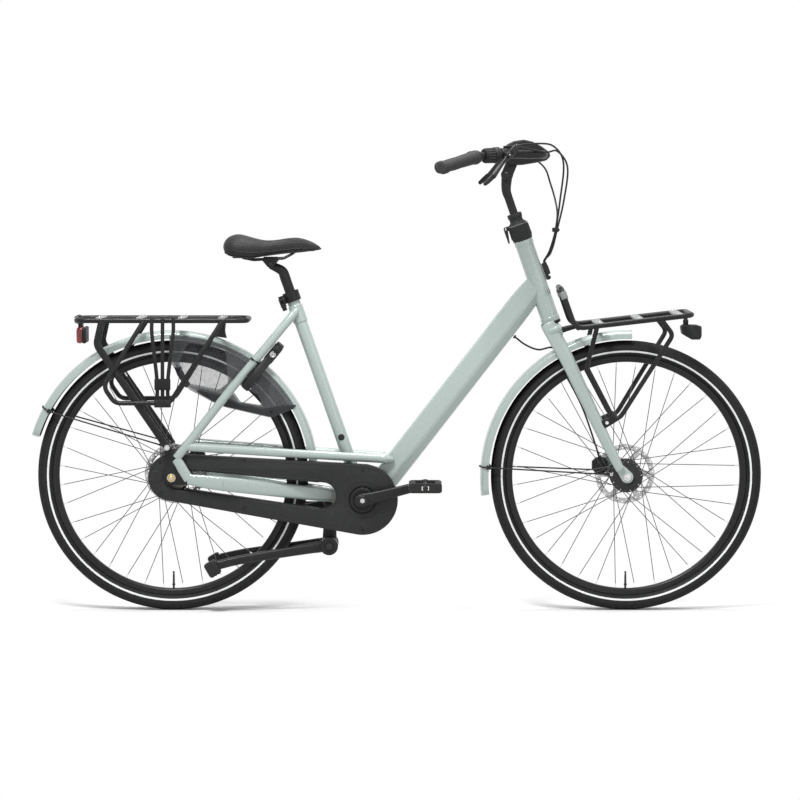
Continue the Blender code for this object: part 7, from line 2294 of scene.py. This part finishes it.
@dataclass
class FrontCarrier:
    """Front carrier with its hoop, loops, deck plates and headlight."""

    rail: float = 0.007
    loop: float = 0.0062
    y: float = 110.0

    def make(self) -> None:
        """Makes the carrier, its plates and the headlight."""
        y = self.y
        deck = [
            mm(467, 753, -y), mm(431, 855, 16 - y), mm(431, 855, y - 16), mm(467, 753, y), mm(772, 788, y),
            mm(772, 788, -y)
        ]
        path = bent(deck, 0.03, 10, True)
        tubes = [wire(path, self.rail, SATIN, 20, True)]
        for s in (RIGHT, LEFT):
            loop = [
                mm(690, 778, s * y), mm(722, 736, s * (y - 2)), mm(577, 500, s * 70), mm(498, 650, s * 88),
                mm(524, 759, s * y)
            ]
            tubes.append(wire(bent(loop, 0.02, 8), self.loop, SATIN, 18))
            foot = [
                (579, 517, s * 70, 6.2, 8.5), (562, 507, s * 64.5, 6.2, 10), (545, 498.5, s * 59.5, 6, 12)
            ]
            tubes.append(swept(drawn(foot), SATIN, ring(24, 0.8), 6, dome=0.003))
            tubes.append(screw(mm(553, 503, s * 69.5), ASIDE * s, CHROME, 0.005))
        tubes.append(crossbar(mm(474, 754), 0.0062, 0.11, SATIN))
        bracket = [(476, 754, 0, 14, 6), (452, 748, 0, 14, 7.2), (431, 742, 0, 14, 8.5)]
        tubes.append(swept(drawn(bracket), SATIN, ring(28, 0.5)))
        tubes.append(box(mm(764, 776), (0.01, 0.01, 0.02), SATIN, edge=0.0015))
        tubes.append(crossbar(mm(764, 767), 0.003, 0.015, BLACKED))
        cap = [
            spun(
                [(0.0072, 0.0), (0.0088, 0.0), (0.0088, 0.02), (0.0072, 0.02)], mm(440.5, 829, s * (y - 12)),
                unit(mm(431, 855, s * (y - 16)) - mm(467, 753, s * y)), GREY, 32, 0.0006
            )
            for s in (RIGHT, LEFT)
        ]
        tubes += cap
        piece("front_carrier_tubes", merged(tubes), "steering", "black_paint", ["front_carrier"])
        slope = math.atan2(35.0, 305.0)
        ahead, up = tilted(slope)
        places = [mm(x, 757.0 + (x - 467.0) * math.tan(slope)) for x in (531.0, 635.0, 738.0)]
        plates = [deck_plate(p, (0.022, 0.228), (0.005, 0.18), 0.099, (ahead, ASIDE, up)) for p in places]
        piece("front_carrier_plates", merged(plates), "steering", "black_paint", ["front_carrier"])
        self.headlight()

    def headlight(self) -> None:
        """Makes the headlight: a rounded case, a ribbed lens in its bezel, and its ears."""
        pin = mm(764, 767)
        corners = np.array([
            (-14, -14), (-10, -34), (14, -48), (36, -48), (40, -40), (40, -14), (30, -10), (-6, -9)
        ]) * 0.001
        outline = bent(corners + (pin[0], pin[2]), 0.006, 5, True)
        case = plate([outline], -0.03, 0.03, MOULDED, edge=0.0055)
        front = pin + np.array((0.0385, 0.0, -0.0275))
        bezel = plate(
            [block(0.026, 0.015, 0.008, 6)], -0.003, 0.0016, CASE, (front, ASIDE, UP, AHEAD), 0.0012
        )
        lens = plate([block(0.023, 0.012, 0.006, 6)], 0.0, 0.003, LENS, (front, ASIDE, UP, AHEAD), 0.0014)
        ears = [
            plate([
                wrap(
                    disc((pin[0], pin[2]), 0.0065),
                    np.array([(pin[0] - 0.0055, pin[2] - 0.0115), (pin[0] + 0.0055, pin[2] - 0.0115)])
                )
            ], a, b, MOULDED, edge=0.001)
            for a, b in ((-0.0125, -0.0065), (0.0065, 0.0125))
        ]
        bolt = [screw(pin + ASIDE * s * 0.0135, ASIDE * s, BLACKED, 0.0042) for s in (RIGHT, LEFT)]
        piece(
            "headlight_case", merged([case, bezel, lens, *ears, *bolt]), "front_lamp", "black_plastic",
            ["headlight"]
        )


# Stem, handlebar and cables


@dataclass
class Cockpit:
    """Stem, handlebar, grips, shifter, brake levers and the cables from them."""

    bar: float = 0.011
    grip: float = 0.017
    hose: float = 0.0025
    cut_heights: tuple[float, float] = (1.1, 1.008)

    def __post_init__(self) -> None:
        """Works out the directions of the right half of the handlebar."""
        self.corners = [mm(116, 1171, -310), mm(213, 1201, -195), mm(300, 1206, -140), mm(385, 1205, -84)]
        start, inner, outer = self.corners[:3]
        self.grip_way = unit(inner - start)
        self.grip_length = float(np.linalg.norm(inner - start)) - 0.014
        self.shift_way = unit(outer - inner)
        self.shift_start = inner + self.shift_way * 0.014
        self.mount = inner + self.shift_way * 0.0745
        out = unit(np.cross(self.shift_way, UP))
        self.out = out if out[0] > 0 else -out
        self.brake_pivot = self.mount + self.out * 0.03 - UP * 0.004 - self.shift_way * 0.004
        self.tip = mm(226, 1130, -268)
        self.lever_way = unit(self.tip - self.brake_pivot)
        axis = unit(np.cross(self.lever_way, self.shift_way))
        self.axis = axis if axis[2] > 0 else -axis
        self.clip = mm(419, 1008, -6)
        self.pivot = mm(291, 1153)

    def stem(self) -> None:
        """Makes the ribbed clamp on the head tube, its lever, the quill and the head."""
        top = HEAD_LENGTH
        clamp = spun([
            (0.0113, 0.075), (0.017, 0.075), (0.0195, 0.0732), (0.0195, 0.064), (0.0178, 0.0625),
            (0.0178, 0.0535), (0.02, 0.051), (0.024, 0.047), (0.0262, 0.044), (0.027, 0.026), (0.0272, 0.01),
            (0.0258, 0.0008), (0.0146, 0.0008), (0.0146, 0.0455), (0.0113, 0.0458)
        ], on_head(top), HEAD_AXIS, MOULDED, 96, 0.0008)
        t = np.radians(np.arange(0, 360, 22.5))
        low = np.array([on_head(top + 0.009, 0.0268 * math.sin(a), 0.0268 * math.cos(a)) for a in t])
        high = np.array([on_head(top + 0.04, 0.0262 * math.sin(a), 0.0262 * math.cos(a)) for a in t])
        ribs = bars(low, high, (0.0016, 0.0016), CASE, 10)
        line = spun(
            [(0.0262, 0.0), (0.0276, 0.0002), (0.0276, 0.0016), (0.0262, 0.0018)], on_head(top + 0.0425),
            HEAD_AXIS, GREY, 96, 0.0002
        )
        ear = box(
            on_head(top + 0.042, 0, -0.0285), (0.02, 0.01, 0.012), MOULDED, (HEAD_AHEAD, ASIDE, HEAD_AXIS),
            0.002
        )
        pin_place = on_head(top + 0.042, 0, -0.0345)
        pin = crossbar(pin_place, 0.0026, 0.01, STEEL)
        piece(
            "stem_clamp_cover", merged([clamp, ribs, line, ear, pin]), "steering", "black_plastic",
            ["stem_clamp"]
        )
        dressed("stem_lever", MOULDED, "stem_catch", "black_plastic", 0.001)
        quill = knob(
            [(CORE, 0.0), (0.011, 0.0), (0.011, 0.292), (CORE, 0.292)], on_head(0.075), HEAD_AXIS, SATIN, 48,
            0.0006
        )
        rows = [
            (on_head(top + 0.12), 0.0112, 0.0112), (on_head(top + 0.135), 0.0116, 0.0122),
            (on_head(top + 0.15, 0, 0.004), 0.011, 0.013), (self.pivot, 0.0096, 0.015)
        ]
        neck = swept(rows, SATIN, ring(28), 6)
        eye = crossbar(self.pivot, 0.016, 0.011, SATIN, 48)
        piece("stem_quill_bar", merged([quill, neck, eye]), "stem_post", "black_paint", ["stem_quill"])
        cover = np.array([
            (284, 1188), (281, 1212), (288, 1231), (308, 1241), (334, 1245), (357, 1240), (382, 1227),
            (402, 1212), (405, 1201), (394, 1190), (366, 1184), (330, 1178), (298, 1177)
        ]) * 0.001
        head = plate([bent(cover, 0.016, 5, True)], -0.023, 0.023, SATIN, edge=0.0062)
        cheeks = []
        for s in (RIGHT, LEFT):
            outline = wrap(disc((0.291, 1.153), 0.015), np.array([(0.29, 1.19), (0.322, 1.19)]))
            cheeks.append(plate([outline], *layer(s, 0.0114, 0.0056), SATIN, edge=0.0016))
            cheeks.append(
                knob(
                    [(CORE, 0.0024), (0.0052, 0.0024), (0.0072, 0.0012), (0.0076, -0.001), (CORE, -0.001)],
                    self.pivot + ASIDE * s * 0.0172, ASIDE * s, BLACKED, 40, 0.0003
                )
            )
        piece("stem_head_cover", merged([head, *cheeks]), "bars", "black_paint", ["stem_head"])

    def right_half(self) -> dict[str, Shape]:
        """Shapes of the right half: grip, lever mount and lever.

        The grip's radius swells at both ends, and the lever is a flat oval whose half
        sizes change along a smooth line.
        """
        n, r = self.grip_length, self.grip
        grip = spun([
            (CORE, -0.004), (r - 0.005, -0.0038), (r - 0.0006, -0.0012), (r, 0.004), (r, 0.014),
            (r - 0.0022, 0.02), (r - 0.0014, 0.045), (r - 0.0018, 0.075), (r - 0.0006, n - 0.016),
            (r + 0.0012, n - 0.008), (r + 0.0015, n - 0.001), (r - 0.002, n), (self.bar + 0.0003, n)
        ], self.corners[0], self.grip_way, GRIP, 64, 0.0012, closed=False)
        collar = spun([
            (self.bar + 0.0002, 0.0), (r - 0.0006, 0.0), (r - 0.0002, 0.001), (r - 0.0002, 0.0055),
            (r - 0.0006, 0.0065), (self.bar + 0.0002, 0.0065)
        ], self.corners[0] + self.grip_way * (n + 0.0004), self.grip_way, BLACKED, 48, 0.0004)
        place, way = self.mount, self.shift_way
        band = spun([
            (self.bar + 0.0003, -0.0085), (0.0168, -0.0085), (0.0175, -0.0075), (0.0175, 0.0075),
            (0.0168, 0.0085), (self.bar + 0.0003, 0.0085)
        ], place, way, SATIN, 56, 0.0006)
        lw = self.lever_way
        body = rod(self.brake_pivot - lw * 0.042, self.brake_pivot - lw * 0.004, 0.009, SATIN, 36, 0.0015)
        end = spun(
            [(0.006, 0.0), (0.0078, 0.0), (0.0078, 0.006), (0.0045, 0.011), (0.003, 0.011)],
            self.brake_pivot - lw * 0.041, -lw, BLACKED, 36, 0.0004
        )
        rows = [
            (place + self.out * 0.008, 0.01, 0.0095), (place + self.out * 0.016, 0.009, 0.0086),
            (self.brake_pivot - lw * 0.012, 0.0088, 0.0085)
        ]
        neck = swept(rows, SATIN, ring(28), 5)
        tank = box(
            self.brake_pivot - lw * 0.024 + self.axis * 0.0086, (0.03, 0.015, 0.005), SATIN,
            (lw, np.cross(self.axis, lw), self.axis), 0.0018
        )
        cheeks = [
            spun(
                [
                    (0.0026, 0.0), (0.0078, 0.0), (0.0085, 0.0008), (0.0085, 0.0026), (0.007, 0.0032),
                    (0.0026, 0.0032)
                ],
                self.brake_pivot + self.axis * s * 0.0048, self.axis * s, SATIN, 40, 0.0003
            )
            for s in (RIGHT, LEFT)
        ]
        pin = rod(
            self.brake_pivot - self.axis * 0.0086, self.brake_pivot + self.axis * 0.0086, 0.0024, STEEL, 24
        )
        bolt = screw(place - self.out * 0.0168, -self.out, STEEL, 0.0036)
        p, o = self.brake_pivot, self.out
        rows = [
            (p, 0.004, 0.0052), (p + lw * 0.012, 0.0042, 0.006), (p + lw * 0.03, 0.004, 0.005),
            (p + lw * 0.06 + o * 0.005, 0.0042, 0.0054), (p + lw * 0.09 + o * 0.01, 0.0045, 0.0062),
            (self.tip - lw * 0.035 + o * 0.0075, 0.0046, 0.0066),
            (self.tip - lw * 0.012 + o * 0.003, 0.0045, 0.0062), (self.tip, 0.0042, 0.005)
        ]
        blade = swept(rows, SATIN, ring(24, 0.75), 8, self.axis, 0.004)
        eye = rod(p - self.axis * 0.0042, p + self.axis * 0.0042, 0.007, SATIN, 36)
        return {
            "grip": grip + collar, "mount": merged([band, body, end, neck, tank, *cheeks, pin, bolt]),
            "lever": blade + eye
        }

    def fittings(self) -> None:
        """Makes the handlebar with what is fixed on it, on both sides."""
        near = np.array(self.corners)
        path = bent(np.vstack([near, near[::-1] * ACROSS]), 0.055, 10)
        piece("handlebar_tube", wire(path, self.bar, SATIN, 32), "bars", "black_paint", ["handlebar"])
        halves = self.right_half()
        for side, label in SIDES:
            for kind, node, body, slot in (
                ("grip", f"grip_{label}", "bars", "grip_rubber"),
                ("mount", f"brake_mount_{label}", "bars", "black_paint"),
                ("lever", f"brake_lever_{label}", f"{label}_brake", "black_paint")
            ):
                shape = halves[kind] if side < 0 else halves[kind].mirrored()
                piece(f"{kind}_{label}_shell", shape, body, slot, [node])
        sleeve = spun([
            (self.bar + 0.0003, 0.0), (0.017, 0.0), (0.0185, 0.002), (0.0188, 0.01), (0.0186, 0.024),
            (0.019, 0.0285), (self.bar + 0.0003, 0.0285)
        ], self.shift_start, self.shift_way, RIBBED, 72, 0.0008)
        house = spun([
            (self.bar + 0.0003, 0.0288), (0.0195, 0.0288), (0.0208, 0.031), (0.0212, 0.042), (0.02, 0.0475),
            (self.bar + 0.0003, 0.048)
        ], self.shift_start, self.shift_way, MOULDED, 72, 0.001)
        t = np.radians(np.arange(0.0, 360.0, 20.0))
        x = unit(np.cross(self.shift_way, UP))
        y = np.cross(self.shift_way, x)
        way = x * np.cos(t)[:, None] + y * np.sin(t)[:, None]
        ribs = bars(
            self.shift_start + way * 0.018 + self.shift_way * 0.004,
            self.shift_start + way * 0.0184 + self.shift_way * 0.026, (0.0017, 0.0017), GRIP, 8
        )
        piece(
            "twist_shifter_sleeve", merged([sleeve, house, ribs]), "shifter", "grip_rubber", ["twist_shifter"]
        )

    def routes(self) -> dict[str, Array]:
        """Middle lines of the three cables, from the levers to the head tube."""
        end = self.brake_pivot - self.lever_way * 0.0455
        clip = self.clip
        gear = [
            self.mount + UP * 0.02 + self.shift_way * 0.006, mm(366, 1234, -98), mm(412, 1226, -62),
            mm(438, 1182, -34), mm(430, 1084, -14), clip - ASIDE * 0.003, mm(404, 955, -9),
            on_head(0.1585, -0.006, 0.0355), on_head(0.146, -0.006, 0.0335)
        ]
        rear = [
            end, mm(386, 1212, -92), mm(420, 1214, -70), mm(448, 1172, -44), mm(440, 1086, -22),
            clip + np.array((0.004, -0.003, 0.0)), mm(410, 957, -7), on_head(0.1585, -0.001, 0.038),
            on_head(0.146, -0.0005, 0.0345)
        ]
        front = [
            end * ACROSS, mm(386, 1180, 96), mm(408, 1130, 60), mm(424, 1060, 18), clip + ASIDE * 0.004,
            mm(408, 950, 3), on_head(0.1585, 0.005, 0.0355), on_head(0.146, 0.005, 0.0335)
        ]
        return {
            "gear_cable": spline(gear, 14), "rear_brake_hose": spline(rear, 14),
            "front_brake_line": spline(front, 14)
        }

    def cables(self) -> None:
        """Makes each cable in three runs, and the hose down the fork.

        Each run lies between two bodies, which are listed with it but not used: the handlebar and the stem,
        the stem and the fork, and the fork and the frame.
        """
        runs = (
            ("upper", "bars", "stem_post", 1.17, 1.105), ("middle", "stem_post", "steering", 1.095, 1.02),
            ("lower", "steering", "frame", 0.995, 0.945)
        )
        ends = []
        for name, path in self.routes().items():
            falls = np.arange(len(path)) > np.argmax(path[:, 2])
            level = np.where(falls, path[:, 2], math.inf)
            cuts = [int(np.argmax(level < height)) for height in self.cut_heights]
            marks = [0, *cuts, len(path) - 1]
            for (part, a, b, high, low), first, last in zip(runs, marks, marks[1:]):
                run = wire(path[first : last + 1], self.hose, SLEEVE)
                obj = piece(f"{name}_{part}", run, "", "black_plastic", ["rear_cables"])
                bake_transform(obj)
            way = unit(path[1] - path[0])
            ends.append(rod(path[0] - way * 0.004, path[0] + way * 0.014, 0.0036, BLACKED))
        piece("cable_end_sleeves", merged(ends), "bars", "black_plastic", ["rear_cables"])
        clip = box(self.clip, (0.018, 0.02, 0.012), MOULDED, edge=0.003)
        piece(
            "cable_clip", clip + screw(self.clip + AHEAD * 0.009, AHEAD, BLACKED, 0.003), "steering",
            "black_plastic", ["rear_cables"]
        )
        top = on_head(TUBE_JOINT)
        down = unit(DOWN_TUBE_FOOT - top)
        rise = np.cross(ASIDE, down)
        exit_ = [
            top + down * d + rise * r + ASIDE * y
            for d, r, y in ((0.1499, -0.0417, 0.012), (0.1493, -0.0767, 0.02), (0.1388, -0.1116, 0.026))
        ]
        line = spline([
            *exit_, mm(418, 693, 31), mm(440, 640, 33), mm(492, 540, 38), mm(528, 440, 41), mm(539, 402.8, 41)
        ], 12)
        hose = piece(
            "front_brake_hose_run", wire(line, self.hose, SLEEVE), "", "black_plastic", ["front_brake_hose"]
        )
        tuple(exit_[0])
        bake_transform(hose)
        grommet = spun(
            [(0.0026, 0.0), (0.0052, 0.0), (0.0048, 0.004), (0.0026, 0.005)], exit_[0] + rise * 0.004, -rise,
            MOULDED, 28, 0.0004
        )
        piece("hose_grommet", grommet, "frame", "black_plastic", ["front_brake_hose"])

    def make(self) -> None:
        """Makes the stem, the handlebar and the cables."""
        self.cables()
        self.stem()
        self.fittings()


# Stage


@dataclass
class Stage:
    """Camera at the photograph's angle, pale floor, white surround and soft lamps."""

    place: tuple[float, float, float] = (0.0092, -8.5, 1.179)
    pitch: float = 4.179
    focal_pixels: float = 3219.7
    sensor: float = 36.0
    floor_half: float = 60.0
    dusk: float = 0.46
    lamps: tuple[tuple[Any, ...], ...] = (
        ("key_lamp", (-0.9, -2.0, 3.9), (0.0, 0.0, 0.5), 135.0, 0.8),
        ("fill_lamp", (2.6, -3.0, 1.4), (0.2, 0.0, 0.6), 16.0, 2.4),
        ("top_lamp", (0.4, 0.2, 3.6), (0.1, 0.0, 0.4), 70.0, 1.2)
    )

    def camera(self) -> None:
        """Makes the camera."""
        data = bpy.data.cameras.new("camera")
        data.sensor_width = self.sensor
        data.lens = self.focal_pixels / PHOTO_SIZE * self.sensor
        obj = placed("camera", data)
        obj.location = self.place
        obj.rotation_euler = (math.radians(90.0 - self.pitch), 0.0, 0.0)
        bpy.context.scene.camera = obj

    def lamp(
        self, name: str, place: Sequence[float], aim: Sequence[float], power: float, size: float
    ) -> None:
        """Makes a square area lamp that faces a point.

        Args:
            name: name of the lamp.
            place: its middle.
            aim: point that it faces.
            power: its power in watts.
            size: its side.
        """
        data = bpy.data.lights.new(name, "AREA")
        data.energy = power
        data.size = size
        obj = placed(name, data)
        obj.location = place
        way = np.asarray(aim, float) - np.asarray(place, float)
        flat = math.hypot(way[0], way[1])
        obj.rotation_euler = (math.atan2(flat, -way[2]), 0.0, math.atan2(way[1], way[0]) - math.pi / 2)

    def floor(self) -> None:
        """Makes the floor, which is lit near the wheels and plain white further off."""
        mesh = bpy.data.meshes.new("floor")
        size = self.floor_half
        mesh.from_pydata([
            (-size, -size, 0), (size, -size, 0), (size, size, 0), (-size, size, 0)
        ], [], [(0, 1, 2, 3)])
        graph = Graph("pale_floor")
        x, y, _ = graph.parts(graph.place())
        spread = (x - REAR_AXLE[0]).size().maths("MINIMUM", (x - FRONT_AXLE[0]).size())
        far = (spread**2 + (y * 1.6) ** 2) ** 0.5
        mask = graph.step(far, 0.14, 0.55)
        paper = graph.node("ShaderNodeBsdfDiffuse", None, {"Color": (0.93, 0.93, 0.93, 1.0)})
        white = graph.node("ShaderNodeEmission", None, {"Color": (1.0, 1.0, 1.0, 1.0), "Strength": 1.0})
        mixed = graph.node("ShaderNodeMixShader", None, {0: mask, 1: paper.out(), 2: white.out()})
        graph.node("ShaderNodeOutputMaterial", None, {"Surface": mixed.out()})
        mesh.materials.append(graph.owner)
        obj = placed("floor", mesh)

    def surround(self) -> None:
        """Sets a world that is white to the camera, to gloss and through plastic, and softer as light.

        The light path's gloss and transmission are added to the camera's share, held to 1,
        and the strength goes from dusk to 1 with the sum.
        """
        world = bpy.data.worlds.new("surround")
        bpy.context.scene.world = world
        graph = Graph(world)
        path = graph.node("ShaderNodeLightPath")
        gloss = path.out("Is Glossy Ray") + path.out("Is Transmission Ray")
        both = {"operation": "ADD", "use_clamp": True}
        seen = graph.node("ShaderNodeMath", both, {0: path.out("Is Camera Ray"), 1: gloss})
        level = graph.node(
            "ShaderNodeMapRange", None, {"Value": seen.out(), "To Min": self.dusk, "To Max": 1.0}
        )
        white = {"Color": (1.0, 1.0, 1.0, 1.0), "Strength": level.out()}
        back = graph.node("ShaderNodeBackground", None, white)
        graph.node("ShaderNodeOutputWorld", None, {"Surface": back.out()})

    def make(self) -> None:
        """Makes the camera, the floor, the surround and the lamps."""
        self.camera()
        self.floor()
        self.surround()
        for lamp in self.lamps:
            self.lamp(*lamp)
        bpy.context.scene.view_settings.view_transform = "Standard"


def main() -> None:
    """Builds the sub-assemblies in order."""
    logging.basicConfig(level=logging.INFO, format="%(message)s")
    Stage().make()
    Cockpit().make()
    Wheel(
        "front", FRONT_AXLE, (-0.031, 0.021), 0.043, 0.0345, 0.041,
        ((0.02, -0.04), (0.01, -0.041), (0.01, -0.0494)), 0.05, (CHROME, CHROME), 0.009, "steering"
    ).make()
    Wheel(
        "rear", REAR_AXLE, (-0.028, 0.03), 0.046, 0.031, 0.052,
        ((0.02, -0.0312), (0.02, -0.042), (0.01, -0.042), (0.01, -0.0669)), 0.0675, (BRASS, CHROME), 0.01,
        "frame"
    ).make()
    Frame().make()
    front_stay = mm(566, 366, -58.3), mm(512, 368, -57.3)
    Mudguard("front", FRONT_AXLE, "steering", (188.0, 88.0), 0.003, 176.4, *front_stay).make()
    rear_stay = mm(-606, 440, -65.2), mm(-640, 450, -66)
    Mudguard("rear", REAR_AXLE, "frame", (163.8, -2.3), REAR_FLARE, 152.0, *rear_stay).make()
    RearCarrier().make()
    for side, label in SIDES:
        CoatGuard(side, label).make()
    RingLock().make()
    ChainCase().make()
    Crankset().make()
    Pedal("right", RIGHT, ARM_WAY).make()
    Pedal("left", LEFT, -ARM_WAY).make()
    Stand().make()
    Seat().make()
    Fork().make()
    FrontCarrier().make()


if __name__ == "__main__":
    main()
